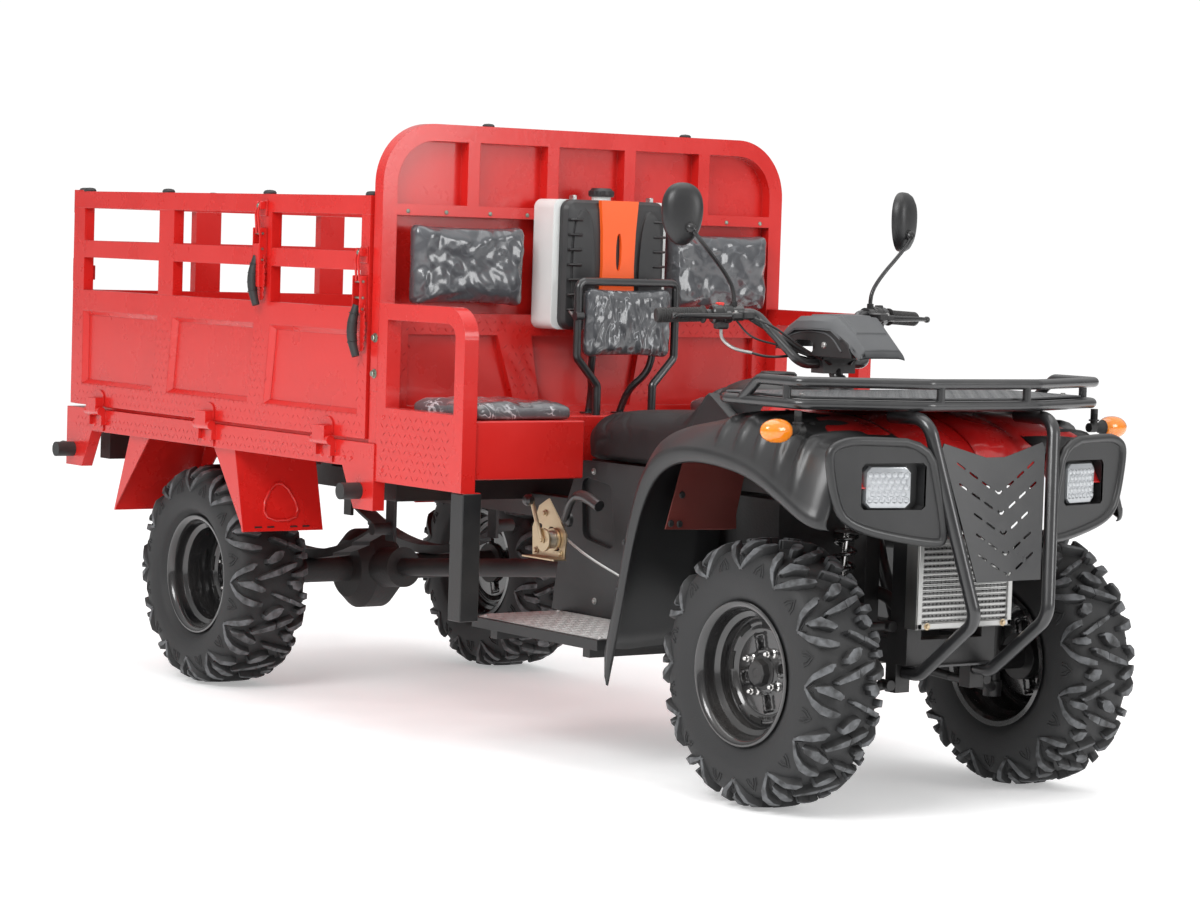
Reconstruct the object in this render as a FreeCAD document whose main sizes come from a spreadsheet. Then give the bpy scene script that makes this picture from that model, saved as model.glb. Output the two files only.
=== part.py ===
import FreeCAD, Part
import math
import os
import Sketcher
from FreeCAD import Placement, Rotation, Vector

os.makedirs("parts", exist_ok=True)
doc = FreeCAD.newDocument("utility_quad_bike")
sheet = doc.addObject("Spreadsheet::Sheet", "sizes")

# Driving dimensions, in millimetres and degrees. A setback is a distance behind the front axle,
# a lead is one ahead of it, and a height is above the ground.
driving = {
    "front_axle_x": "1367", "wheelbase": "2418", "front_track": "805", "rear_track": "987",
    "running_gap": "0.3", "cut_over": "2", "sheet_wall": "4", "part_gap": "6",
    # Tyres and rims
    "tyre_radius": "317.5", "front_tyre_width": "206", "rear_tyre_width": "238",
    "lug_height": "21", "lug_width": "27", "lug_root": "60", "lug_slant": "38", "lug_middle": "6",
    "bead_radius": "153", "rim_wall": "5", "rim_lip": "172", "rim_lip_out": "94",
    "rim_inner_out": "80", "rim_drop": "22", "rim_plate": "8", "hub_radius": "58",
    "front_disc_out": "14", "rear_disc_out": "-40", "rim_recess": "5", "hub_cap_radius": "34",
    "hub_cap_height": "26",
    # Main frame
    "rail_mid": "150", "rail_width": "44", "rail_height": "60", "rail_top": "630",
    "low_rail_top": "400", "nose_rail_mid": "118", "rail_front_lead": "180",
    "rail_step_setback": "1190", "rail_low_setback": "1060", "rail_neck_setback": "420",
    "seat_rail_top": "738", "seat_rail_size": "36", "seat_rail_mid": "105",
    # Front end
    "bumper_tube": "32", "bumper_top_lead": "292", "bumper_top_mid": "199",
    "bumper_bend_lead": "386", "bumper_bend_height": "467",
    "bumper_bend_mid": "113", "bumper_foot_lead": "198",
    "skid_rear_lead": "150", "skid_width": "250", "skid_wall": "5",
    "guard_top_height": "873", "guard_foot_height": "556", "guard_notch": "22", "guard_wall": "4",
    "guard_slot": "13", "lamp_panel_rim": "15",
    "lamp_panel_inner": "190", "lamp_panel_outer": "463", "lamp_panel_top": "884",
    "lamp_panel_foot": "690", "lamp_panel_lead": "283", "lamp_panel_wall": "22",
    "lamp_mid": "291", "lamp_height": "774", "lamp_size": "112", "lamp_depth": "46",
    "signal_mid": "533", "signal_lead": "150", "signal_height": "896", "signal_length": "82",
    "signal_size": "58", "signal_stalk": "18",
    # Fenders
    "fender_foot_setback": "523", "fender_length": "905", "fender_foot": "313",
    "fender_rise": "524", "fender_outer": "500", "fender_wall": "5",
    "fender_crown": "86", "fender_lip": "26", "wing_rear_setback": "315", "wing_front_lead": "195",
    "wing_outer": "394", "liner_foot": "612", "liner_front_setback": "352", "liner_step": "655",
    # Body work
    "hood_top": "930", "hood_foot": "740", "hood_lead": "272",
    "hood_setback": "120", "cowl_half": "150", "cowl_drop": "19", "cowl_setback": "575",
    "cowl_rear_top": "905", "column_hole": "92",
    "saddle_half": "170", "saddle_rear_setback": "1122",
    "saddle_top": "870", "saddle_nose_setback": "582", "saddle_nose_top": "990", "saddle_round": "24",
    "cover_wall": "18", "cover_recess": "12",
    "footboard_top": "332", "footboard_wall": "26", "footboard_outer": "500",
    "footboard_front_setback": "560", "footboard_rear_setback": "1150", "footboard_tread": "12",
    "footboard_notch": "72",
    "engine_front_setback": "330", "engine_rear_setback": "800", "engine_half": "124",
    "engine_top": "690",
    "radiator_foot": "430", "radiator_depth": "40", "radiator_height": "215",
    "radiator_right": "150", "radiator_left": "150", "radiator_core_inset": "16",
    # Rack over the nose
    "rack_tube": "25", "rack_half": "470", "rack_corner_lead": "152", "rack_front_lead": "262",
    "rack_front_half": "170", "rack_rear_setback": "150", "rack_low": "957", "rack_high": "1008",
    "rack_bend": "45", "rack_deck_wall": "4",
    # Steering
    "column_lean": "24", "column_top_height": "985", "column_foot_lead": "25.187",
    "column_tube": "34", "column_bearing": "66", "pitman_length": "63", "bar_tube": "24",
    "bar_rise": "45", "bar_middle_half": "105", "bar_bend_half": "165", "bar_bend_reach": "130",
    "bar_bend_rise": "165", "bar_end_half": "420", "bar_end_reach": "200", "bar_end_rise": "154",
    "clamp_size": "46", "clamp_half": "52", "grip_tube": "36", "switch_size": "46", "lever_tube": "12",
    "pod_length": "330", "pod_half": "92", "pod_rise": "63", "pod_tall": "102",
    "mirror_half": "360", "mirror_rise": "403", "mirror_reach": "182", "mirror_width": "106",
    "mirror_tall": "156", "mirror_depth": "34", "mirror_stem": "12",
    # Front suspension
    "kingpin_mid": "305", "kingpin_size": "36", "kingpin_top": "395", "kingpin_foot": "262",
    "arm_tube": "26", "upper_arm_pivot": "430", "lower_arm_pivot": "290", "arm_spread": "126",
    "arm_eye": "46", "arm_eye_wall": "38", "stub_size": "60", "steer_arm_length": "90",
    "steer_arm_size": "22", "tie_rod_size": "16", "tie_rod_height": "322",
    "shock_size": "56", "shock_rod": "18", "shock_top_height": "684", "shock_top_mid": "178",
    "shock_foot_mid": "222", "shock_eye": "30",
    # Rear axle
    "axle_tube": "76", "diff_radius": "118", "diff_width": "150", "axle_flange": "120",
    "axle_flange_wall": "14", "spring_width": "60", "leaf_wall": "9",
    "spring_half_span": "400", "spring_rise": "96", "spring_eye": "36", "hanger_wall": "10",
    "hanger_size": "64",
    "prop_tube": "52", "prop_front_height": "470",
    # Cargo bed
    "bed_half": "675", "bed_rear_setback": "3026", "sill_height": "66", "sill_foot": "702",
    "sill_width": "36", "floor_wall": "12", "sill_tail_foot": "592", "sill_tail_rear": "46",
    "sill_tail_length": "160", "sill_tail_slope": "60", "sill_front_tail": "96",
    "gate_wall": "32", "gate_clearance": "10", "gate_tall": "638", "gate_front_setback": "1382",
    "gate_frame": "42", "gate_top_rail": "50", "gate_rail": "50", "rail_one_rise": "491",
    "rail_two_rise": "343", "press_top_rise": "282", "press_foot_rise": "62", "press_depth": "16",
    "gate_post": "87", "rib_lean": "50", "hinge_pin": "10", "hinge_barrel": "26",
    "hinge_length": "60", "hinge_ear": "14", "hinge_out": "16", "hinge_drop": "3",
    "buffer_size": "44", "buffer_length": "58", "buffer_height": "640",
    "buffer_rear_setback": "3030", "buffer_front_setback": "1405",
    # Headboard, bench and tank
    "headboard_setback": "1334", "headboard_half": "668", "headboard_top": "1609",
    "headboard_depth": "40", "headboard_tube": "45", "headboard_round": "160",
    "headboard_mid_bar": "1387", "headboard_bar": "40", "headboard_sheet": "6",
    "headboard_beam": "1055", "headboard_beam_top": "1112",
    "rib_top_far": "295", "rib_top_near": "184", "rib_foot_far": "232", "rib_foot_near": "151",
    "headboard_post": "38", "headboard_low_window": "867",
    "guard_front_setback": "928", "guard_top": "1137", "guard_foot": "670",
    "guard_panel_top": "865", "guard_round": "80", "guard_inner": "628", "guard_tube": "43",
    "bench_deck": "851", "bench_foot": "702", "bench_front_setback": "934",
    "bench_wall": "28", "bench_notch_half": "205",
    "bench_notch_setback": "1140",
    "cushion_inner": "222", "cushion_outer": "620", "cushion_height": "50",
    "cushion_front_setback": "948", "back_cushion_inner": "215", "back_cushion_outer": "616",
    "back_cushion_foot": "1118", "back_cushion_top": "1362", "back_cushion_depth": "56",
    "tank_half": "188", "tank_foot": "1076", "tank_top": "1424", "tank_depth": "92",
    "tank_cover_wall": "40", "tank_strip_half": "62", "tank_strip_wall": "8",
    "tank_cap_size": "70", "tank_cap_height": "34",
    "post_size": "52", "post_foot": "345",
    "backrest_tube": "22", "backrest_setback": "1154", "backrest_foot_half": "92",
    "backrest_half": "162", "backrest_top": "1207", "backrest_bend": "40",
    "backrest_neck": "965", "backrest_pad_foot": "1002", "backrest_pad_wall": "44",
    # Mudguards of the rear wheels
    "flap_outer": "660", "flap_inner": "400", "flap_foot": "475", "flap_lead": "391",
    "flap_top_lead": "335", "flap_gusset": "118", "flap_back": "370", "flap_top_back": "281",
    # Hand brake
    "brake_plate_wall": "6", "brake_plate_mid": "300", "brake_lever_size": "24",
    "brake_front_setback": "974", "brake_rear_setback": "1135", "brake_foot": "485",
    "brake_top": "600", "brake_grip_setback": "812", "brake_grip_height": "640",
    "brake_arm": "30",
}


class Size:
    """A value of the sheet, or one worked out from it, with the formula that binds it."""

    def __init__(self, value, formula):
        self.value = float(value)
        self.formula = formula

    def _pair(self, other, sign, value):
        text = other.formula if isinstance(other, Size) else f"{other:.9f}"
        return Size(value, f"({self.formula} {sign} {text})")

    def __add__(self, other):
        return self._pair(other, "+", self.value + float(other))

    def __sub__(self, other):
        return self._pair(other, "-", self.value - float(other))

    def __mul__(self, other):
        return self._pair(other, "*", self.value * float(other))

    def __truediv__(self, other):
        return self._pair(other, "/", self.value / float(other))

    def __neg__(self):
        return Size(-self.value, f"(0 - {self.formula})")

    def __float__(self):
        return self.value


class Sizes:
    """The sheet's values by name."""


def fill_sheet(target):
    for row, (alias, text) in enumerate(driving.items(), start=1):
        cell = f"A{row}"
        sheet.set(cell, text)
        sheet.setAlias(cell, alias)
    doc.recompute()
    for alias in driving:
        setattr(target, alias, Size(float(sheet.get(alias)), f"sizes.{alias}"))


S = Sizes()
fill_sheet(S)
ZERO = Size(0, "0")
nodes = {}
rail_outer = S.rail_mid + S.rail_width / 2
cover_inner = rail_outer + S.running_gap
cover_outer = cover_inner + S.cover_wall
fender_inner = cover_outer + S.running_gap
seat_level = S.seat_rail_top + S.running_gap
spring_mid = rail_outer + S.hanger_wall + S.running_gap + S.spring_width / 2
deck_foot = S.rack_low + S.rack_tube / 2 + S.running_gap
bumper_top = S.rack_low - S.rack_tube / 2 - S.running_gap - S.bumper_tube / 2
gate_foot = S.sill_foot + S.sill_height + S.gate_clearance
gate_top = gate_foot + S.gate_tall
hinge_level = S.sill_foot + S.sill_height - S.hinge_drop

# The steering axis: it crosses the tie rod's level at its foot, and leans back to the handlebar.
column_lean = math.radians(float(S.column_lean))
column_top_setback = (S.column_top_height - S.tie_rod_height) * math.tan(column_lean) - S.column_foot_lead
drop_arm_foot = S.tie_rod_height + S.tie_rod_size / 2 + S.part_gap
column_length = (S.column_top_height - drop_arm_foot - S.steer_arm_size / 2) / math.cos(column_lean)
bar_height = S.column_top_height + S.bar_rise
bar_bend_height = S.column_top_height + S.bar_bend_rise
bar_end_height = S.column_top_height + S.bar_end_rise
pod_low = S.column_top_height + S.pod_rise
cowl_top = S.column_top_height - S.cowl_drop


def behind(setback):
    return S.front_axle_x - setback


def ahead(lead):
    return S.front_axle_x + lead


def keep(label, piece):
    """Names a finished sub-part, which writes its file."""
    piece.Label = label
    nodes[label] = piece
    return piece


def block(x, y, z):
    """A plain block between two values on each axis."""
    piece = doc.addObject("Part::Box", "block")
    for prop, axis, (low, high) in (("Length", "x", x), ("Width", "y", y), ("Height", "z", z)):
        piece.setExpression(prop, (high - low).formula)
        piece.setExpression(f"Placement.Base.{axis}", low.formula)
    return piece


def point(place):
    return Vector(*[float(v) for v in place])


def rod(start, end, diameter):
    """A round bar from one place to another."""
    piece = doc.addObject("Part::Cylinder", "rod")
    sides = [(b - a).formula for a, b in zip(start, end)]
    piece.setExpression("Radius", (diameter / 2).formula)
    piece.setExpression("Height", "sqrt(" + " + ".join(f"({s})^2" for s in sides) + ")")
    turn = Rotation(Vector(0, 0, 1), point(end) - point(start))
    piece.Placement = Placement(point(start), turn)
    for axis, value in zip("xyz", start):
        piece.setExpression(f"Placement.Base.{axis}", value.formula)
    return piece


def joined(pieces):
    """One solid from overlapping pieces."""
    if len(pieces) == 1:
        return pieces[0]
    piece = doc.addObject("Part::MultiFuse", "joined")
    piece.Shapes = pieces
    piece.Refine = True
    return piece


def without(base, tools):
    """A piece with other pieces cut out of it."""
    piece = doc.addObject("Part::Cut", "cut")
    piece.Base = base
    piece.Tool = joined(tools)
    return piece


def mirrored(source):
    """The same piece on the other side of the vehicle."""
    piece = doc.addObject("Part::Mirroring", "mirrored")
    piece.Source = source
    piece.Normal = Vector(0, 1, 0)
    return piece


def group(pieces):
    """Pieces kept as one sub-part."""
    piece = doc.addObject("Part::Compound", "group")
    piece.Links = pieces
    return piece


def both(source):
    return group([source, mirrored(source)])


def body_plane(body, role):
    return [f for f in body.Origin.OriginFeatures if f.Role == role][0]


def corner_arc(before, corner, after, radius):
    """The tangent arc that rounds a corner: its centre, its two ends and whether it turns left."""
    into = (before - corner).normalize()
    out = (after - corner).normalize()
    half = into.getAngle(out) / 2
    reach = radius / math.tan(half)
    middle = (into + out).normalize()
    centre = corner + middle * (radius / math.sin(half))
    left = (corner - before).cross(after - corner).z > 0
    return centre, corner + into * reach, corner + out * reach, left


def draw_outline(sketch, places):
    """Draws a closed outline. Each place is across, up and, for a rounded corner, its radius."""
    corners = [Vector(float(p[0]), float(p[1]), 0) for p in places]
    count = len(corners)
    starts, ends, arcs = [], [], {}
    for i, place in enumerate(places):
        starts.append(corners[i])
        ends.append(corners[i])
        if len(place) == 3:
            arc = corner_arc(corners[i - 1], corners[i], corners[(i + 1) % count], float(place[2]))
            arcs[i] = arc
            ends[i], starts[i] = arc[1], arc[2]
    lines = []
    for i in range(count):
        line = Part.LineSegment(starts[i], ends[(i + 1) % count])
        lines.append(sketch.addGeometry(line))
    for i, place in enumerate(places):
        coming, going = lines[i - 1], lines[i]
        if i not in arcs:
            sketch.addConstraint(Sketcher.Constraint("Coincident", coming, 2, going, 1))
            target = (going, 1)
        else:
            centre, first, last, left = arcs[i]
            low, high = (first, last) if left else (last, first)
            angles = [math.atan2(v.y - centre.y, v.x - centre.x) for v in (low, high)]
            if angles[1] < angles[0]:
                angles[1] += 2 * math.pi
            circle = Part.Circle(centre, Vector(0, 0, 1), float(place[2]))
            arc = sketch.addGeometry(Part.ArcOfCircle(circle, angles[0], angles[1]))
            enter, leave = (1, 2) if left else (2, 1)
            corner = sketch.addGeometry(Part.Point(corners[i]), True)
            for rule in (("Tangent", coming, 2, arc, enter), ("Tangent", arc, leave, going, 1),
                         ("PointOnObject", corner, 1, coming), ("PointOnObject", corner, 1, going)):
                sketch.addConstraint(Sketcher.Constraint(*rule))
            bound = sketch.addConstraint(Sketcher.Constraint("Radius", arc, float(place[2])))
            sketch.setExpression(f"Constraints[{bound}]", place[2].formula)
            target = (corner, 1)
        for kind, value in (("DistanceX", place[0]), ("DistanceY", place[1])):
            rule = Sketcher.Constraint(kind, -1, 1, *target, float(value))
            bound = sketch.addConstraint(rule)
            sketch.setExpression(f"Constraints[{bound}]", value.formula)


def sketch_on(body, role, places, level):
    """An outline on one of the body's own planes, moved along that plane's normal to a level."""
    sketch = body.newObject("Sketcher::SketchObject", "outline")
    sketch.AttachmentSupport = [(body_plane(body, role), "")]
    sketch.MapMode = "FlatFace"
    shift = -level if role == "XZ_Plane" else level
    sketch.setExpression("AttachmentOffset.Base.z", shift.formula)
    draw_outline(sketch, places)
    return sketch


def plate(role, places, low, high):
    """A body padded from an outline, between two levels of the axis that the plane faces."""
    body = doc.addObject("PartDesign::Body", "plate")
    pad = body.newObject("PartDesign::Pad", "pad")
    pad.Profile = sketch_on(body, role, places, low)
    pad.setExpression("Length", (high - low).formula)
    pad.Reversed = role == "XZ_Plane"
    body.Tip = pad
    return body


def recess(body, role, places, low, high):
    """Cuts an outline out of a body, between two levels."""
    pocket = body.newObject("PartDesign::Pocket", "pocket")
    pocket.Profile = sketch_on(body, role, places, low)
    pocket.setExpression("Length", (high - low).formula)
    pocket.Reversed = role != "XZ_Plane"
    body.Tip = pocket
    return pocket


def rectangle(low_x, high_x, low_y, high_y):
    return [(low_x, low_y), (high_x, low_y), (high_x, high_y), (low_x, high_y)]


def turned(places):
    """A body of revolution about the Y axis. Each place is along the axis, then outward."""
    body = doc.addObject("PartDesign::Body", "turned")
    sketch = sketch_on(body, "YZ_Plane", places, ZERO)
    solid = body.newObject("PartDesign::Revolution", "revolution")
    solid.Profile = sketch
    solid.ReferenceAxis = (sketch, ["H_Axis"])
    solid.Angle = 360
    body.Tip = solid
    return body


def place_at(piece, place):
    for axis, value in zip("xyz", place):
        piece.setExpression(f"Placement.Base.{axis}", value.formula)
    return piece


def bent_path(places, bend):
    """Straight runs joined by tangent arcs."""
    corners = [point(p) for p in places]
    edges = []
    last = corners[0]
    for before, corner, after in zip(corners, corners[1:], corners[2:]):
        into = (before - corner).normalize()
        out = (after - corner).normalize()
        half = into.getAngle(out) / 2
        reach = float(bend) / math.tan(half)
        first, second = corner + into * reach, corner + out * reach
        centre = corner + (into + out).normalize() * (float(bend) / math.sin(half))
        middle = centre + (corner - centre).normalize() * float(bend)
        if (first - last).Length > float(S.running_gap):
            edges.append(Part.LineSegment(last, first).toShape())
        edges.append(Part.Arc(first, middle, second).toShape())
        last = second
    edges.append(Part.LineSegment(last, corners[-1]).toShape())
    return Part.Wire(edges)


def tube(places, diameter, bend):
    """A bent round tube, through places in space."""
    path = bent_path(places, bend)
    start = path.Vertexes[0].Point
    way = point(places[1]) - point(places[0])
    ring = Part.Wire([Part.Circle(start, way, float(diameter) / 2).toShape()])
    piece = doc.addObject("Part::Feature", "tube")
    piece.Shape = path.makePipeShell([ring], True, False)
    return piece


def side_y(side, value):
    return value if side > 0 else -value


def strip(places, wall):
    """A band of even thickness under a line of places, closed as an outline."""
    line = [Vector(float(x), float(y), 0) for x, y in places]
    under = []
    for i, (x, y) in enumerate(places):
        way = (line[min(i + 1, len(line) - 1)] - line[max(i - 1, 0)]).normalize()
        under.append((x + wall * way.y, y - wall * way.x))
    return list(places) + under[::-1]


# Wheels: a lugged tyre on a dished rim

LUG_COUNT = 17
TYRE_FACETS = LUG_COUNT * 2


def tyre(width, turn):
    half = width / 2
    crown = S.tyre_radius - S.lug_height
    shoulder_share, sidewall_share = 0.72, 0.62
    bead_half = S.rim_inner_out
    bead = S.bead_radius / math.cos(math.pi / TYRE_FACETS)
    profile = [
        (-bead_half, bead), (bead_half, bead),
        (half, S.bead_radius + (crown - S.bead_radius) * sidewall_share),
        (half * shoulder_share, crown), (-half * shoulder_share, crown),
        (-half, S.bead_radius + (crown - S.bead_radius) * sidewall_share),
    ]
    tread = doc.addObject("Part::Feature", "tyre")
    tread.Shape = faceted(profile, TYRE_FACETS).multiFuse(tread_lugs(half, turn))
    return tread


def faceted(places, count):
    """A ring of flat facets about the Y axis. Each place is along the axis, then outward."""
    rings = []
    for i in range(count):
        angle = 2 * math.pi * i / count
        rings.append([Vector(float(r) * math.sin(angle), float(y), float(r) * math.cos(angle))
                      for y, r in places])
    faces = []
    for i, near in enumerate(rings):
        far = rings[(i + 1) % count]
        for k in range(len(places)):
            after = (k + 1) % len(places)
            corners = [near[k], near[after], far[after], far[k], near[k]]
            faces.append(Part.Face(Part.makePolygon(corners)))
    shell = Part.makeShell(faces)
    shell.sewShape()
    solid = Part.makeSolid(shell)
    if solid.Volume < 0:
        solid.reverse()
    return solid


def tread_lugs(half, turn):
    """Slanted bars from the middle of the tread over each shoulder, the two rows half a step apart."""
    slant = math.tan(math.radians(float(S.lug_slant)))
    inner, outer = float(S.lug_middle), float(half)
    run = (outer - inner) * slant * turn
    width = float(S.lug_width)
    reach = abs(run) / 2 + width / 2
    top = math.sqrt(float(S.tyre_radius) ** 2 - reach ** 2)
    depth = float(S.lug_root)
    step = 2 * math.pi / LUG_COUNT
    bars = []
    for row in (1, -1):
        corners = [(-run / 2 - width / 2, inner), (-run / 2 + width / 2, inner),
                   (run / 2 + width / 2, outer), (run / 2 - width / 2, outer)]
        floor = [Vector(x, y * row, top - depth) for x, y in corners]
        bar = Part.Face(Part.makePolygon(floor + floor[:1])).extrude(Vector(0, 0, depth))
        for i in range(LUG_COUNT):
            copy = bar.copy()
            angle = math.degrees(step * (i + (0.5 if row > 0 else 0)))
            copy.rotate(Vector(0, 0, 0), Vector(0, 1, 0), angle)
            bars.append(copy)
    return bars


def rim(disc_out):
    """A drop-centre barrel with its disc. The outer face looks along +Y."""
    wall, lip, bead = S.rim_wall, S.rim_lip, S.bead_radius - S.running_gap
    inner = bead - wall
    well = bead - S.rim_drop
    edge = S.rim_lip_out
    tyre_half = S.rim_inner_out + S.running_gap
    profile = [
        (-edge, inner), (-edge, lip), (-edge + wall, lip), (-tyre_half, bead),
        (-tyre_half / 2, bead), (-tyre_half / 3, well), (tyre_half / 3, well),
        (tyre_half / 2, bead), (tyre_half, bead), (edge - wall, lip), (edge, lip), (edge, inner),
        (tyre_half / 2, inner), (tyre_half / 3, well - wall), (disc_out + S.rim_plate, well - wall),
        (disc_out + S.rim_plate, ZERO), (disc_out, ZERO),
    ]
    if float(disc_out) < 0:
        profile.append((disc_out, inner))
    else:
        profile += [(disc_out, well - wall), (-tyre_half / 3, well - wall), (-tyre_half / 2, inner)]
    body = turned(profile)
    window_share = (0.52, 0.93)
    near, far = (well - wall) * window_share[0], (well - wall) * window_share[1]
    half = (well - wall) * 0.3
    recess(body, "XZ_Plane", [(-half, near), (half, near), (half * 1.1, far * 0.92),
                              (half * 0.5, far), (-half * 0.5, far), (-half * 1.1, far * 0.92)],
           disc_out + S.rim_plate - S.rim_recess, disc_out + S.rim_plate + S.cut_over)
    pocket = body.Tip
    pattern = body.newObject("PartDesign::PolarPattern", "spokes")
    pattern.Originals = [pocket]
    pattern.Axis = (body_plane(body, "Y_Axis"), [""])
    pattern.Angle = 360
    pattern.Occurrences = 4
    body.Tip = pattern
    cap = rod((ZERO, disc_out + S.rim_plate - S.cut_over, ZERO),
              (ZERO, disc_out + S.rim_plate + S.hub_cap_height, ZERO), S.hub_cap_radius * 2)
    return joined([body, cap])


def set_wheel(label, source, x, y, side):
    """Puts a wheel piece, drawn with its outer face to the left, at its place on one side."""
    piece = doc.addObject("Part::Compound", label)
    piece.Links = [source if side > 0 else mirrored(source)]
    place_at(piece, (x, y, S.tyre_radius))
    keep(label, piece)


def wheels():
    rear_x = behind(S.wheelbase)
    for end, x, track, width, disc in (
            ("front", S.front_axle_x, S.front_track, S.front_tyre_width, S.front_disc_out),
            ("rear", rear_x, S.rear_track, S.rear_tyre_width, S.rear_disc_out)):
        tread = tyre(width, 1)
        wheel_rim = rim(disc)
        for name, side in (("left", 1), ("right", -1)):
            y = side_y(side, track / 2)
            set_wheel(f"tyre_{end}_{name}", tread, x, y, side)
            set_wheel(f"rim_{end}_{name}", wheel_rim, x, y, side)


wheels()


# Main frame: two bent side rails, two seat rails and the bars between them

def main_frame():
    top, low, high = S.rail_top, S.low_rail_top, S.rail_height
    rear = behind(S.bed_rear_setback) + S.sill_width
    step, foot = behind(S.rail_step_setback), behind(S.rail_low_setback)
    front = ahead(S.rail_front_lead)
    nose = front - high
    neck = behind(S.rail_neck_setback)
    half = S.rail_width / 2
    inner, outer = S.rail_mid - half, S.rail_mid + half
    side = [
        (rear, top - high), (step, top - high), (foot - high / 2, low - high), (neck, low - high),
        (neck, low), (foot, low), (step + high / 2, top), (rear, top),
    ]
    # Ahead of the footboards the rails stand closer together, to leave room for the tyres.
    crown = S.hood_foot - S.sheet_wall
    nose_side = [(neck - high, low - high), (front, low - high), (front, crown), (nose, crown),
                 (nose, low), (neck - high, low)]
    near, far = S.nose_rail_mid - half, S.nose_rail_mid + half
    parts = [plate("XZ_Plane", side, inner, outer), plate("XZ_Plane", side, -outer, -inner),
             plate("XZ_Plane", nose_side, near, far), plate("XZ_Plane", nose_side, -far, -near)]
    for x, z in ((rear, top), (behind(S.headboard_setback) - high, top), (foot + high, low),
                 (neck - high, low)):
        parts.append(block((x, x + high), (-outer, outer), (z - high, z)))
    parts.append(block((nose, front), (-far, far), (low - high, low)))
    parts.append(block((nose, front), (-far, far), (crown - high / 2, crown)))
    # Seat rails and their posts
    seat_half, mid = S.seat_rail_size / 2, S.seat_rail_mid
    seat_rear = behind(S.saddle_rear_setback)
    seat_foot = S.seat_rail_top - S.seat_rail_size
    for y in ((mid - seat_half, mid + seat_half), (-mid - seat_half, -mid + seat_half)):
        parts.append(block((seat_rear, nose + high / 2), y, (seat_foot, S.seat_rail_top)))
        parts.append(block((seat_rear, seat_rear + S.seat_rail_size), y, (top - high, S.seat_rail_top)))
    parts.append(block((seat_rear, seat_rear + S.seat_rail_size), (-outer, outer), (top - high, top)))
    # Cross bars that carry the footboards
    board = S.footboard_top - S.footboard_wall
    reach = S.footboard_outer - S.rail_width
    for x in (behind(S.footboard_rear_setback) + high, behind(S.footboard_front_setback) - high * 2):
        parts.append(block((x, x + high / 2), (-reach, reach), (board - high / 2, board)))
        for y in ((inner, outer), (-outer, -inner)):
            parts.append(block((x, x + high / 2), y, (board - high / 4, low - high / 2)))
    # Bearers under the cargo bed
    wheel_x = behind(S.wheelbase)
    wide = S.bed_half - S.sill_width * 2
    for x, y in ((rear, wide), (behind(S.headboard_setback) - high, wide), (wheel_x, outer)):
        parts.append(block((x, x + high), (-y, y), (top - high / 4, S.sill_foot)))
    # Brackets of the front arms and towers of the front dampers
    pivot, tower = S.arm_eye * 0.4, (low - half, S.seat_rail_top - S.sheet_wall)
    reach = (S.lower_arm_pivot - pivot, S.upper_arm_pivot + pivot)
    for y in ((near, far), (-far, -near)):
        for x in (S.front_axle_x - S.arm_spread, S.front_axle_x + S.arm_spread):
            parts.append(block((x - pivot, x + pivot), y, reach))
        parts.append(block((S.front_axle_x - half, S.front_axle_x + half), y, tower))
    return joined(parts)




def column_point(down):
    """A place on the steering axis, this far below the top bearing."""
    along, drop = down * math.sin(column_lean), down * math.cos(column_lean)
    return (behind(column_top_setback) + along, ZERO, S.column_top_height - drop)


def column_bearings():
    """The two blocks that the stem turns in, between the seat rails and between the nose rails."""
    pieces = []
    clear = S.column_tube + S.running_gap * 2
    bore = rod(column_point(column_length + S.cut_over), column_point(ZERO), clear)
    half = S.column_bearing / 2
    wall = S.seat_rail_size * 0.4
    for level, reach in ((S.seat_rail_top - S.seat_rail_size / 2, S.seat_rail_mid),
                         (S.low_rail_top - wall, S.nose_rail_mid)):
        x = behind(column_top_setback) + (S.column_top_height - level) * math.tan(column_lean)
        bearing = block((x - half, x + half), (-reach, reach), (level - wall, level + wall))
        pieces.append(without(bearing, [bore]))
    return pieces


keep("chassis_frame", joined([main_frame()] + column_bearings()))


# Front end: bumper, guard, lamps and indicators

def front_bumper():
    top, bend = S.bumper_top_lead, S.bumper_bend_lead
    foot = S.low_rail_top - S.rail_height - S.skid_wall - S.bumper_tube * 0.46
    route = [
        (ahead(top) - S.bumper_tube * 4, S.bumper_top_mid, bumper_top),
        (ahead(top), S.bumper_top_mid, bumper_top),
        (ahead(bend), S.bumper_bend_mid, S.bumper_bend_height),
        (ahead(S.bumper_foot_lead), S.bumper_bend_mid, foot),
        (ahead(S.skid_rear_lead), S.bumper_bend_mid, foot),
    ]
    pipe = tube(route, S.bumper_tube, S.bumper_tube * 1.6)
    skid = block((ahead(S.skid_rear_lead), ahead(S.bumper_foot_lead)),
                 (-S.skid_width / 2, S.skid_width / 2),
                 (S.low_rail_top - S.rail_height - S.skid_wall, S.low_rail_top - S.rail_height))
    cross = rod((ahead(bend), -S.bumper_bend_mid, S.bumper_bend_height + S.bumper_tube),
                (ahead(bend), S.bumper_bend_mid, S.bumper_bend_height + S.bumper_tube), S.bumper_tube * 0.8)
    return joined([pipe, mirrored(pipe), skid, cross])


keep("front_bumper", front_bumper())


def slanted(piece, foot_x, foot_z, top_x, top_z):
    """Leans a piece that was drawn upright in the YZ plane, about its foot."""
    lean = math.degrees(math.atan2(float(top_x) - float(foot_x), float(top_z) - float(foot_z)))
    piece.Placement = Placement(Vector(float(foot_x), 0, float(foot_z)), Rotation(Vector(0, 1, 0), lean))
    return piece


def bumper_lean(height):
    """How far a bumper tube has come down from its top to this height, as a share."""
    return (bumper_top - height).value / (bumper_top - S.bumper_bend_height).value


GUARD_ROWS = 6


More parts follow.
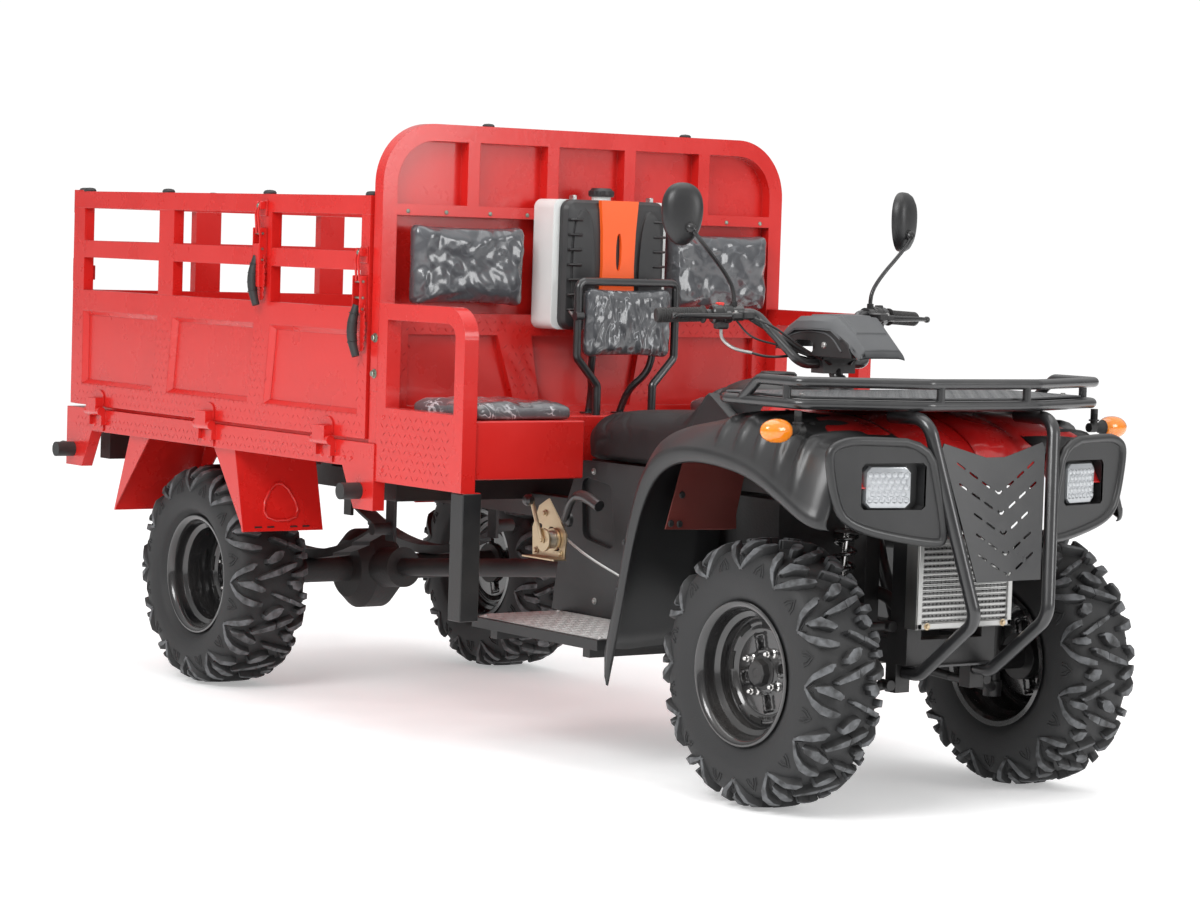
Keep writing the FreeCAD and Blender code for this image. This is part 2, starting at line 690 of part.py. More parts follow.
def front_guard():
    """The sheet guard between the bumper's tubes, with rows of chevron slots."""
    high, low = S.guard_top_height, S.guard_foot_height
    run = S.bumper_bend_lead - S.bumper_top_lead
    near_x, far_x = [ahead(S.bumper_top_lead) + run * bumper_lean(z) for z in (low, high)]
    lean = math.atan2(float(near_x - far_x), float(high - low))
    rise = (high - low) / math.cos(lean)
    clear = S.bumper_tube / 2 + S.guard_wall / 4
    spread = S.bumper_top_mid - S.bumper_bend_mid
    top, foot = [S.bumper_top_mid - spread * bumper_lean(z) - clear for z in (high, low)]
    # The top edge dips between its two raised corners.
    notch, dip = S.guard_notch, rise - S.guard_notch
    outline = [(-foot, ZERO), (foot, ZERO), (top, rise), (top - notch / 2, rise), (top - notch * 1.6, dip),
               (-top + notch * 1.6, dip), (-top + notch / 2, rise), (-top, rise)]
    sheet_body = plate("YZ_Plane", outline, -S.guard_wall / 2, S.guard_wall / 2)
    slot = S.guard_slot
    pitch = rise * 0.8 / GUARD_ROWS
    for row in range(GUARD_ROWS):
        z = rise * 0.05 + pitch * row
        wide = foot * 0.66 + (top - foot) * (row / GUARD_ROWS)
        drop = pitch * 0.55
        for sign in (1, -1):
            near, far = slot * 0.6 * sign, wide * sign
            recess(sheet_body, "YZ_Plane",
                   [(near, z), (far, z + drop), (far, z + drop + slot), (near, z + slot)],
                   -S.guard_wall, S.guard_wall)
    return slanted(sheet_body, near_x, low, far_x, high)


keep("front_guard", front_guard())


def lamp_panel():
    """A black panel in a raised rim, with an opening for its lamp."""
    inner, outer = S.lamp_panel_inner, S.lamp_panel_outer
    foot, top = S.lamp_panel_foot, S.lamp_panel_top
    rim_round = S.rack_tube * 1.6
    wide = outer - inner
    shape = [(inner, foot + wide * 0.16, rim_round), (outer - wide * 0.3, foot, rim_round),
             (outer, foot + wide * 0.3, rim_round), (outer, top - wide * 0.1, rim_round),
             (inner, top, rim_round)]
    front = ahead(S.lamp_panel_lead)
    low = front - S.lamp_panel_wall
    panel = plate("YZ_Plane", shape, low, front)
    rim, soft = S.lamp_panel_rim, S.lamp_panel_rim * 1.4
    face = [(inner + rim, foot + wide * 0.16 + rim, soft), (outer - wide * 0.32, foot + rim, soft),
            (outer - rim, foot + wide * 0.32, soft), (outer - rim, top - wide * 0.1 - rim, soft),
            (inner + rim, top - rim, soft)]
    recess(panel, "YZ_Plane", face, front - S.lamp_panel_wall / 2, front + S.cut_over)
    half = S.lamp_size / 2 + S.running_gap
    opening = rectangle(S.lamp_mid - half - rim, S.lamp_mid + half, S.lamp_height - half, S.lamp_height + half)
    recess(panel, "YZ_Plane", opening, low - S.cut_over, front + S.cut_over)
    return panel


def lamp():
    """A square lamp: a housing with a stepped clear front and a mounting boss behind."""
    half = S.lamp_size / 2
    rear = ahead(S.lamp_panel_lead) - S.lamp_panel_wall
    front = rear + S.lamp_depth
    places = rectangle(S.lamp_mid - half, S.lamp_mid + half, S.lamp_height - half, S.lamp_height + half)
    housing = plate("YZ_Plane", [p + (half / 5,) for p in places], rear, front)
    lens = half * 0.84
    recess(housing, "YZ_Plane", rectangle(S.lamp_mid - lens, S.lamp_mid + lens, S.lamp_height - lens,
                                          S.lamp_height + lens), front - S.lamp_depth / 8, front + S.cut_over)
    return housing


def signal():
    """An oval indicator on a short stalk that points outward from the rack's side."""
    half = S.signal_size / 2
    x, z = ahead(S.signal_lead), S.signal_height
    length = S.signal_length / 2
    oval = rectangle(S.signal_mid - length, S.signal_mid + length, z - half, z + half)
    lens = plate("YZ_Plane", [p + (half * 0.9,) for p in oval], x - half, x + half)
    stalk_y = S.rack_half
    rack_under = S.rack_low - S.rack_tube / 2 - S.running_gap
    arm = rod((x, stalk_y, z), (x, S.signal_mid - length + S.cut_over, z), S.signal_stalk)
    post = rod((x, stalk_y, z - S.signal_stalk / 2), (x, stalk_y, rack_under), S.signal_stalk)
    return joined([lens, arm, post])


keep("lamp_panels", both(lamp_panel()))
keep("lamps", both(lamp()))
keep("indicators", both(signal()))


# Front fenders: a swept strip from the frame out to the flare, closed by a rolled lip

flare_shares = [(0, 0), (0.046, 0.292), (0.091, 0.626), (0.129, 0.817), (0.18, 0.926),
                (0.249, 0.979), (0.344, 1), (0.472, 0.987), (0.597, 0.948), (0.722, 0.851),
                (0.804, 0.775), (0.884, 0.721), (1, 0.708)]
crown_rise_shares = [0, 0.05, 0.15, 0.3, 0.45, 0.5, 0.62, 0.85, 1.15, 1.7, 1.75, 1.45, 0.6]


def flare_line(rise):
    base_x, base_z = behind(S.fender_foot_setback), S.fender_foot
    line = []
    for (along, up), lift in zip(flare_shares, crown_rise_shares):
        line.append((base_x + S.fender_length * along, base_z + S.fender_rise * up + rise * lift))
    return line


def loft(sections):
    """A solid through closed outlines in XZ, each at its own distance from the middle."""
    wires = []
    for y, outline in sections:
        corners = [Vector(float(x), float(y), float(z)) for x, z in outline]
        wires.append(Part.makePolygon(corners + corners[:1]))
    piece = doc.addObject("Part::Feature", "loft")
    piece.Shape = Part.makeLoft(wires, True, True)
    return piece


def fender():
    wall = S.fender_wall
    outer, crown = flare_line(ZERO), flare_line(S.fender_crown)
    edge = S.fender_outer
    top = loft([(fender_inner, strip(crown, wall)), (edge - S.fender_lip * 2, strip(crown, wall)),
                (edge, strip(outer, wall))])
    lip = plate("XZ_Plane", strip(outer, S.fender_lip), edge - wall, edge)
    # The lamp panel stands in front of the inner part.
    panel = ahead(S.lamp_panel_lead) - S.lamp_panel_wall - S.running_gap
    space = block((panel, panel + S.fender_length), (ZERO, S.lamp_panel_outer + S.running_gap),
                  (S.fender_foot, S.rack_low))
    return without(joined([top, lip]), [space])


keep("fender_left", fender())
keep("fender_right", mirrored(nodes["fender_left"]))


# Body work between the fenders: hood, cowl, saddle and side covers

def nose_cover():
    """The painted cover between the fenders: high in the middle, falling to the front."""
    rear, front = behind(S.hood_setback), ahead(S.hood_lead)
    top, foot = S.hood_top, S.hood_foot
    drop = (top - foot) * 0.4
    nose = S.bumper_tube * 3
    side = [(rear, foot), (front - nose, foot), (front - nose / 2, top - drop * 1.8),
            (front - nose / 2, top - drop), (front - nose, top - drop / 2), (rear + nose, top), (rear, top)]
    return plate("XZ_Plane", side, -cover_outer, cover_outer)


def hood_wing():
    """The painted skin that lies on the fender beside the nose, wider towards the front."""
    wall = S.fender_wall
    skin = [(x, z + wall * 1.6) for x, z in flare_line(S.fender_crown)]
    wing = loft([(fender_inner, strip(skin, wall)), (S.wing_outer, strip(skin, wall))])
    rear, corner = behind(S.wing_rear_setback), ahead(S.wing_front_lead)
    front = ahead(S.lamp_panel_lead) - S.lamp_panel_wall - S.running_gap
    outside = [(rear, fender_inner), (corner, S.wing_outer - S.cut_over), (front, S.wing_outer - S.cut_over),
               (front, ZERO), (front + S.fender_length, ZERO), (front + S.fender_length, S.fender_outer),
               (rear - S.fender_length, S.fender_outer), (rear - S.fender_length, ZERO), (rear, ZERO)]
    return without(wing, [plate("XY_Plane", outside, ZERO, S.rack_high)])


def arch_liner():
    """The painted sheet behind the fender's rear leg, cut away above the steered tyre."""
    rear, front = behind(S.fender_foot_setback), behind(S.hood_setback) - S.running_gap
    step, top = behind(S.liner_front_setback), seat_level
    side = [(rear, S.liner_foot), (step, S.liner_foot), (step + S.fender_lip, S.liner_step),
            (front, S.liner_step), (front, top), (rear, top)]
    return plate("XZ_Plane", side, cover_outer - S.cover_wall / 2, cover_outer)


def hood():
    side_pieces = [hood_wing(), arch_liner()]
    return group([nose_cover()] + side_pieces + [mirrored(piece) for piece in side_pieces])


def cowl():
    """The tank cover ahead of the saddle, with a hole for the steering column."""
    rear, front = behind(S.cowl_setback), behind(S.hood_setback) - S.running_gap
    mid = behind(column_top_setback)
    foot = seat_level
    side = [(rear, foot), (front, foot), (front, S.hood_top), (mid, cowl_top),
            (rear + S.column_hole / 2, cowl_top), (rear, S.cowl_rear_top)]
    shoulder = S.saddle_top
    body = joined([plate("XZ_Plane", side, -S.cowl_half, S.cowl_half),
                   block((rear, front), (-cover_outer, cover_outer), (foot, shoulder))])
    hole = rod(column_point(column_length), column_point(-column_length / 2), S.column_hole)
    return without(body, [hole])


def saddle():
    rear, front = behind(S.saddle_rear_setback), behind(S.saddle_nose_setback)
    foot, top, nose = seat_level, S.saddle_top, S.saddle_nose_top
    long = front - rear
    soft = S.saddle_round
    side = [(rear + soft / 2, foot), (front, foot), (front, nose), (front - long * 0.09, nose - soft, soft),
            (front - long * 0.26, top + soft * 1.4, soft * 3), (rear + long * 0.42, top, soft * 4),
            (rear + long * 0.1, top - soft / 2, soft * 2), (rear, foot + (top - foot) * 0.35, soft)]
    return plate("XZ_Plane", side, -S.saddle_half, S.saddle_half)


def side_cover():
    """The moulded cover below the saddle, with a rounded opening above a flat lower panel."""
    rear, front = behind(S.saddle_rear_setback), behind(S.fender_foot_setback)
    top, foot = S.seat_rail_top - S.running_gap, S.footboard_top + S.running_gap
    wide, tall = front - rear, top - foot
    inner, outer = cover_inner, cover_outer
    side = [(rear - wide * 0.12, foot), (front, foot), (front, top), (rear + wide * 0.06, top, tall * 0.05),
            (rear - wide * 0.04, top - tall * 0.32)]
    cover = plate("XZ_Plane", side, inner, outer)
    cut = S.cover_recess
    round_corner = tall * 0.06
    window = [(rear + wide * 0.1, top - tall * 0.5), (rear + wide * 0.34, top - tall * 0.56),
              (rear + wide * 0.3, top - tall * 0.14), (rear + wide * 0.08, top - tall * 0.1)]
    recess(cover, "XZ_Plane", [p + (round_corner,) for p in window], outer - cut, outer + S.cut_over)
    return cover


keep("hood", hood())
keep("cowl", cowl())
keep("saddle", saddle())
keep("side_covers", both(side_cover()))


TREAD_COUNT = 12


def footboard():
    """A board with a folded edge and raised treads."""
    rear, front = behind(S.footboard_rear_setback), behind(S.footboard_front_setback)
    inner, outer = rail_outer + S.part_gap, S.footboard_outer
    top = S.footboard_top
    notch = S.footboard_notch
    board = plate("XY_Plane", [(rear, inner), (front, inner), (front, outer), (rear + notch / 2, outer),
                               (rear, outer - notch)], top - S.footboard_wall, top)
    tread = S.footboard_tread
    pitch = (front - rear - notch) / TREAD_COUNT
    for i in range(TREAD_COUNT):
        x = rear + tread * 4 + pitch * i
        recess(board, "XY_Plane", rectangle(x, x + pitch * 0.45, inner + tread * 2, outer - tread * 2),
               top - S.sheet_wall / 2, top + S.cut_over)
    return board


keep("footboards", both(footboard()))
keep("engine", block((behind(S.engine_rear_setback), behind(S.engine_front_setback)),
                     (-S.engine_half, S.engine_half), (S.low_rail_top + S.running_gap, S.engine_top)))

FIN_COUNT = 14


def radiator():
    """The cooler ahead of the frame, with rows of fins in a plain rim."""
    low = ahead(S.rail_front_lead) + S.running_gap
    foot = S.radiator_foot
    frame = plate("YZ_Plane", rectangle(-S.radiator_right, S.radiator_left, foot, foot + S.radiator_height),
                  low, low + S.radiator_depth)
    inset = S.radiator_core_inset
    pitch = (S.radiator_height - inset * 2) / FIN_COUNT
    for i in range(FIN_COUNT):
        z = foot + inset + pitch * i
        gap = rectangle(-S.radiator_right + inset, S.radiator_left - inset, z, z + pitch * 0.5)
        recess(frame, "YZ_Plane", gap, low + S.radiator_depth * 0.7, low + S.radiator_depth + S.cut_over)
    return frame


keep("radiator", radiator())


# Rack over the nose: a low loop, a raised loop and a tread plate

def rack():
    half, front_half = S.rack_half, S.rack_front_half
    rear, corner, front = behind(S.rack_rear_setback), ahead(S.rack_corner_lead), ahead(S.rack_front_lead)
    low, high = S.rack_low, S.rack_high
    bend = S.rack_bend
    low_route = [(rear, -front_half, low), (rear, -half, low), (corner, -half, low),
                 (front, -front_half, low), (front, front_half, low), (corner, half, low),
                 (rear, half, low), (rear, front_half, low)]
    start, climb = behind(S.rack_rear_setback) + S.rack_bend * 2, S.rack_bend * 1.4
    high_route = [(start, -half, low), (start + climb, -half, high), (corner, -half, high),
                  (front, -front_half, high), (front, front_half, high), (corner, half, high),
                  (start + climb, half, high), (start, half, low)]
    pieces = [tube(low_route, S.rack_tube, bend), tube(high_route, S.rack_tube, bend * 0.6)]
    pieces.append(rod((rear, -front_half, low), (rear, front_half, low), S.rack_tube))
    for x in (rear * 0.66 + front * 0.34, rear * 0.33 + front * 0.67):
        pieces.append(rod((x, -half, low), (x, half, low), S.rack_tube))
    for sign in (1, -1):
        for x, y in ((front, front_half * 0.8 * sign), (corner - bend, half * sign)):
            pieces.append(rod((x, y, low), (x, y, high), S.rack_tube * 0.8))
    return joined(pieces)


def rack_deck():
    """The chequer plate that lies on the low loop."""
    rear, corner, front = behind(S.rack_rear_setback), ahead(S.rack_corner_lead), ahead(S.rack_front_lead)
    half, front_half = S.rack_half, S.rack_front_half
    inset = S.rack_tube
    outline = [(rear, -half + inset), (corner - inset, -half + inset),
               (front - inset, -front_half + inset), (front - inset, front_half - inset),
               (corner - inset, half - inset), (rear, half - inset)]
    return plate("XY_Plane", outline, deck_foot, deck_foot + S.rack_deck_wall)


keep("front_rack", rack())
keep("rack_deck", rack_deck())


# Rear axle, its springs and shaft

def rear_axle():
    x, z = behind(S.wheelbase), S.tyre_radius
    reach = S.rear_track / 2 + S.rear_disc_out - S.running_gap
    pieces = [rod((x, -reach, z), (x, reach, z), S.axle_tube)]
    for sign in (1, -1):
        pieces.append(rod((x, (reach - S.axle_flange_wall) * sign, z), (x, reach * sign, z), S.axle_flange))
    half, shoulder = S.diff_width / 2, S.diff_radius * 0.72
    case = turned([(-half, ZERO), (half, ZERO), (half, shoulder), (half / 2, S.diff_radius),
                   (-half / 2, S.diff_radius), (-half, shoulder)])
    place_at(case, (x, ZERO, z))
    nose = rod((x, ZERO, z), (x + S.diff_radius * 1.7, ZERO, z + S.diff_radius * 0.17), S.diff_radius)
    return joined(pieces + [case, nose])


leaf_end_shares = (0, 0.48, 0.74, 1)


def leaf_outline(x, top, half, rise, wall):
    """The bowed stack from the side: three leaves in the middle, then two, then one."""
    def level(share, leaves):
        return (x + half * share, top + rise * share ** 2 - wall * leaves)
    right = []
    for i, (near, far) in enumerate(zip(leaf_end_shares, leaf_end_shares[1:])):
        leaves = len(leaf_end_shares) - 1 - i
        right += [level(near, leaves), level((near + far) / 2, leaves), level(far, leaves)]
    under = [(x * 2 - px, pz) for px, pz in reversed(right[1:])] + right
    shares = [k / 8 for k in range(8, -9, -1)]
    return under + [level(share, 0) for share in shares]


def leaf_spring():
    """A stack of bowed leaves, each shorter than the one above, with an eye at both ends."""
    wall, width = S.leaf_wall, S.spring_width / 2
    x, half = behind(S.wheelbase), S.spring_half_span
    near, far = spring_mid - width, spring_mid + width
    top = S.tyre_radius + S.axle_tube / 2 + wall * (len(leaf_end_shares) - 1)
    pieces = [plate("XZ_Plane", leaf_outline(x, top, half, S.spring_rise, wall), near, far)]
    eye_z = top + S.spring_rise - wall / 2
    for end in (x - half, x + half):
        pieces.append(rod((end, near - S.hanger_wall, eye_z), (end, far, eye_z), S.spring_eye))
        pieces.append(block((end - S.hanger_size / 3, end + S.hanger_size / 3),
                            (near - S.hanger_wall, near), (eye_z - S.spring_eye, S.rail_top)))
    return joined(pieces)


keep("rear_axle", rear_axle())
keep("rear_springs", both(leaf_spring()))
shaft_rear = (behind(S.wheelbase) + S.diff_radius * 1.7 + S.running_gap, ZERO,
              S.tyre_radius + S.diff_radius * 0.17)
shaft_front = (behind(S.engine_rear_setback) - S.prop_tube / 20, ZERO, S.prop_front_height)
keep("prop_shaft", rod(shaft_rear, shaft_front, S.prop_tube))


# Cargo bed: floor, sills and the three folding gates

def bed_floor():
    rear, front = behind(S.bed_rear_setback) - S.sill_tail_rear, behind(S.headboard_setback)
    half, foot = S.bed_half - S.sill_width, S.sill_foot
    floor = plate("XY_Plane", rectangle(rear, front, -half, half), foot, foot + S.sill_height)
    rim_in = S.sill_width
    tray = rectangle(rear + S.sill_tail_rear + rim_in, front - rim_in, -half + rim_in, half - rim_in)
    recess(floor, "XY_Plane", tray, foot + S.floor_wall, foot + S.sill_height + S.cut_over)
    return floor


def bed_sill():
    """The side sill with a foot at each end, and the hinge ears of its gate."""
    rear, front = behind(S.bed_rear_setback) - S.sill_tail_rear, behind(S.headboard_setback)
    top, foot, tail = S.sill_foot + S.sill_height, S.sill_foot, S.sill_tail_foot
    length, slope = S.sill_tail_length, S.sill_tail_slope
    side = [(rear, top), (rear, tail), (rear + length - slope, tail), (rear + length, foot),
            (front - S.sill_front_tail - slope, foot), (front - S.sill_front_tail, tail), (front, tail),
            (front, top)]
    return plate("XZ_Plane", side, S.bed_half - S.sill_width + S.running_gap, S.bed_half)


hinge_shares = (0.097, 0.498, 0.886)


def hinge_places():
    rear, front = behind(S.bed_rear_setback), behind(S.gate_front_setback)
    return [rear + (front - rear) * share for share in hinge_shares]


def side_hinges():
    """Ears and pins on the outside of the sill."""
    y = S.bed_half + S.hinge_out
    z = hinge_level
    pieces = []
    for x in hinge_places():
        half = S.hinge_length / 2
        pin = [rod((x - half - S.hinge_ear, y, z), (x + half + S.hinge_ear, y, z), S.hinge_pin)]
        for low in (x - half - S.hinge_ear, x + half):
            pin.append(rod((low, y, z), (low + S.hinge_ear, y, z), S.hinge_barrel))
            pin.append(block((low, low + S.hinge_ear), (S.bed_half, y), (z - S.hinge_barrel * 1.6, z)))
        pieces.append(joined(pin))
    return pieces


def tail_hinges():
    """Ears and pins on the rear beam."""
    x = behind(S.bed_rear_setback) - S.sill_tail_rear
    z = hinge_level
    pieces = []
    for y in tail_hinge_places():
        half = S.hinge_length / 2
        px, reach = x - S.hinge_out, half + S.hinge_ear
        pieces.append(rod((px, y - reach, z), (px, y + reach, z), S.hinge_pin))
        for low in (y - half - S.hinge_ear, y + half):
            pieces.append(rod((px, low, z), (px, low + S.hinge_ear, z), S.hinge_barrel))
            pieces.append(block((px, x + S.cut_over), (low, low + S.hinge_ear), (z - S.hinge_barrel * 1.6, z)))
    return pieces


def tail_hinge_places():
    half = S.bed_half - S.part_gap
    return [-half * 0.7, ZERO, half * 0.7]


keep("bed_floor", joined([bed_floor()] + tail_hinges()))
sill = bed_sill()
keep("bed_sills", both(joined([sill] + side_hinges())))


GATE_BAYS = 3


def gate_bays(low_end, high_end):
    """The two ends of each bay between a gate's posts."""
    clear = high_end - low_end - S.gate_frame * 2
    bay = (clear - S.gate_post * (GATE_BAYS - 1)) / GATE_BAYS
    lefts = [low_end + S.gate_frame + (bay + S.gate_post) * i for i in range(GATE_BAYS)]
    return [(left, left + bay) for left in lefts]


def gate_panel(role, low_end, high_end, level_in, level_out, press_in, press_out):
    """The pressed lower panel of a gate: recesses between leaning ribs, cut between two levels."""
    panel_top = gate_foot + S.rail_two_rise
    panel = plate(role, rectangle(low_end, high_end, gate_foot, panel_top), level_in, level_out)
    low, high = gate_foot + S.press_foot_rise, gate_foot + S.press_top_rise
    bays = gate_bays(low_end, high_end)
    for bay in bays:
        left, right = bay
        low_left = left if bay is bays[0] else left - S.rib_lean / 2
        low_right = right if bay is bays[-1] else right - S.rib_lean / 2
        press = [(low_left, low), (low_right, low), (right, high), (left, high)]
        recess(panel, role, press, press_in, press_out)
    return panel


def gate_ladder(role, low_end, high_end, level_in, level_out):
    """The square tubes welded on the panel: posts, a top rail, and a rail between the posts."""
    seam = S.running_gap
    low, high = gate_foot + S.rail_two_rise + seam, gate_top - S.gate_top_rail - seam
    rail = gate_foot + S.rail_one_rise
    bays = gate_bays(low_end, high_end)
    edges = [low_end] + [end for bay in bays for end in bay] + [high_end]
    outlines = [rectangle(low_end, high_end, gate_top - S.gate_top_rail, gate_top)]
    outlines += [rectangle(left, right, low, high) for left, right in zip(edges[::2], edges[1::2])]
    outlines += [rectangle(left + seam, right - seam, rail - S.gate_rail, rail) for left, right in bays]
    return [plate(role, outline, level_in, level_out) for outline in outlines]


def side_gate():
    rear, front = behind(S.bed_rear_setback), behind(S.gate_front_setback)
    inner, outer = S.bed_half - S.gate_wall, S.bed_half
    panel = gate_panel("XZ_Plane", rear, front, inner, outer, outer - S.press_depth, outer + S.cut_over)
    y, z = S.bed_half + S.hinge_out, hinge_level
    leaf_top = gate_foot + S.hinge_barrel
    barrels, pins = [], []
    for x in hinge_places():
        half = S.hinge_length / 2 - S.running_gap
        ends = (x - half, x + half)
        barrels.append(rod((ends[0], y, z), (ends[1], y, z), S.hinge_barrel))
        barrels.append(block(ends, (outer + S.part_gap, y + S.hinge_barrel / 2), (z, leaf_top)))
        barrels.append(block(ends, (outer - S.cut_over, y), (gate_foot, leaf_top)))
        pins.append(rod((ends[0] - S.cut_over, y, z), (ends[1] + S.cut_over, y, z),
                        S.hinge_pin + S.running_gap * 2))
    hinged = without(joined([panel] + barrels), pins)
    return group([hinged] + gate_ladder("XZ_Plane", rear, front, inner, outer))


keep("gate_left", side_gate())
keep("gate_right", mirrored(nodes["gate_left"]))


def tail_gate():
    low = behind(S.bed_rear_setback) - S.part_gap - S.gate_wall
    half = S.bed_half - S.part_gap
    panel = gate_panel("YZ_Plane", -half, half, low, low + S.gate_wall, low - S.cut_over, low + S.press_depth)
    x, z = behind(S.bed_rear_setback) - S.sill_tail_rear - S.hinge_out, hinge_level
    leaf_top = gate_foot + S.hinge_barrel
    barrels, pins = [], []
    for y in tail_hinge_places():
        reach = S.hinge_length / 2 - S.running_gap
        ends = (y - reach, y + reach)
        barrels.append(rod((x, ends[0], z), (x, ends[1], z), S.hinge_barrel))
        barrels.append(block((x - S.hinge_barrel / 2, x + S.hinge_out - S.part_gap), ends, (z, leaf_top)))
        barrels.append(block((x, low + S.cut_over), ends, (gate_foot, leaf_top)))
        pins.append(rod((x, ends[0] - S.cut_over, z), (x, ends[1] + S.cut_over, z),
                        S.hinge_pin + S.running_gap * 2))
    hinged = without(joined([panel] + barrels), pins)
    return group([hinged] + gate_ladder("YZ_Plane", -half, half, low, low + S.gate_wall))


keep("tail_gate", tail_gate())


def buffers():
    pieces = []
    y, z, long = S.bed_half, S.buffer_height, S.buffer_length
    for setback in (S.buffer_rear_setback, S.buffer_front_setback):
        x = behind(setback)
        pieces.append(rod((x, y, z), (x, y + long, z), S.buffer_size))
    rear, mid = behind(S.bed_rear_setback) - S.sill_tail_rear, S.bed_half - S.sill_width / 2
    pieces.append(rod((rear - long, mid, z), (rear, mid, z), S.sill_width))
    return pieces


bump = buffers()
keep("buffers", group(bump + [mirrored(b) for b in bump]))


# Headboard, bench, cushions and tank

HEADBOARD_BAYS = 5


def headboard():
    """The tall panel behind the bench: a tube frame with posts, sheet bays and two leaning ribs."""
    front = behind(S.headboard_setback)
    rear = front - S.headboard_depth
    half, top, foot = S.headboard_half, S.headboard_top, S.sill_foot + S.sill_height
    tube_wide, post = S.headboard_tube, S.headboard_post
    board = plate("YZ_Plane", [(-half, foot), (half, foot), (half, top, S.headboard_round),
                               (-half, top, S.headboard_round)], rear, front)
    bay_half = half - tube_wide
    bay = (bay_half * 2 - post * (HEADBOARD_BAYS - 1)) / HEADBOARD_BAYS
    round_in = S.headboard_round - tube_wide
    for i in range(HEADBOARD_BAYS):
        left = -bay_half + (bay + post) * i
        base, ceiling = S.headboard_mid_bar + S.headboard_bar / 4, top - tube_wide
        window = rectangle(left, left + bay, base, ceiling)
        if i == 0:
            window[3] += (round_in,)
        if i == HEADBOARD_BAYS - 1:
            window[2] += (round_in,)
        recess(board, "YZ_Plane", window, rear + S.headboard_sheet, front + S.cut_over)
    recess(board, "YZ_Plane", rectangle(-bay_half, bay_half, S.headboard_beam_top,
                                        S.headboard_mid_bar - S.headboard_bar / 2),
           rear + S.headboard_sheet, front + S.cut_over)
    # Two ribs lean in towards the middle below the beam.
    low, high = S.headboard_low_window, S.headboard_beam
    edge = half - tube_wide - S.headboard_tube
    for sign in (1, -1):
        recess(board, "YZ_Plane",
               [(edge * sign, low), (S.rib_foot_far * sign, low), (S.rib_top_far * sign, high),
                (edge * sign, high)],
               front - S.headboard_depth / 2, front + S.cut_over)
    recess(board, "YZ_Plane",
           [(-S.rib_foot_near, low), (S.rib_foot_near, low), (S.rib_top_near, high), (-S.rib_top_near, high)],
           front - S.headboard_depth / 2, front + S.cut_over)
    return board


def bench():
    rear, front = behind(S.headboard_setback) + S.running_gap, behind(S.bench_front_setback)
    half, notch = S.guard_inner - S.running_gap, S.bench_notch_half
    deep = behind(S.bench_notch_setback)
    plan = [(rear, -half), (front, -half), (front, -notch), (deep, -notch), (deep, notch), (front, notch),
            (front, half), (rear, half)]
    box = plate("XY_Plane", plan, S.bench_foot, S.bench_deck)
    wall = S.bench_wall
    inner = [(rear + wall, -half + wall), (front - wall, -half + wall), (front - wall, -notch - wall),
             (deep - wall, -notch - wall), (deep - wall, notch + wall), (front - wall, notch + wall),
             (front - wall, half - wall), (rear + wall, half - wall)]
    recess(box, "XY_Plane", inner, S.bench_foot - S.cut_over, S.bench_deck - wall)
    return box


def bench_guard():
    rear, front = behind(S.headboard_setback) + S.running_gap, behind(S.guard_front_setback)
    foot, top, wide = S.guard_foot, S.guard_top, S.guard_tube
    round_out = S.guard_round
    side = [(rear, foot), (front, foot), (front, top, round_out), (rear, top)]
    guard = plate("XZ_Plane", side, S.guard_inner, S.guard_inner + wide)
    window = [(rear + wide, S.guard_panel_top), (front - wide, S.guard_panel_top),
              (front - wide, top - wide, round_out - wide), (rear + wide, top - wide)]
    recess(guard, "XZ_Plane", window, S.guard_inner - S.cut_over, S.guard_inner + wide + S.cut_over)
    post = S.post_size
    leg_y = S.guard_inner - post / 3
    leg = block((front - post, front), (leg_y, leg_y + post), (S.post_foot, foot))
    return joined([guard, leg])


keep("headboard", headboard())
keep("bench", bench())
keep("bench_guards", both(bench_guard()))


def soft_block(x, y, z, edge):
    """A cushion with rounded upright edges."""
    return plate("XY_Plane", [p + (edge,) for p in rectangle(*x, *y)], *z)


cushion = soft_block((behind(S.headboard_setback) + S.headboard_tube, behind(S.cushion_front_setback)),
                     (S.cushion_inner, S.cushion_outer),
                     (S.bench_deck + S.running_gap, S.bench_deck + S.cushion_height), S.cushion_height / 2)
keep("bench_cushions", both(cushion))
board_face = behind(S.headboard_setback)
back_outline = rectangle(S.back_cushion_inner, S.back_cushion_outer, S.back_cushion_foot, S.back_cushion_top)
back_cushion = plate("YZ_Plane", [p + (S.saddle_round,) for p in back_outline],
                     board_face - S.headboard_depth + S.headboard_sheet + S.running_gap,
                     board_face + S.back_cushion_depth)
keep("back_cushions", both(back_cushion))


def tank():
    rear = board_face + S.running_gap
    outline = rectangle(-S.tank_half, S.tank_half, S.tank_foot, S.tank_top)
    return plate("YZ_Plane", [p + (S.saddle_round,) for p in outline], rear, rear + S.tank_depth)


TANK_GROOVES = 4


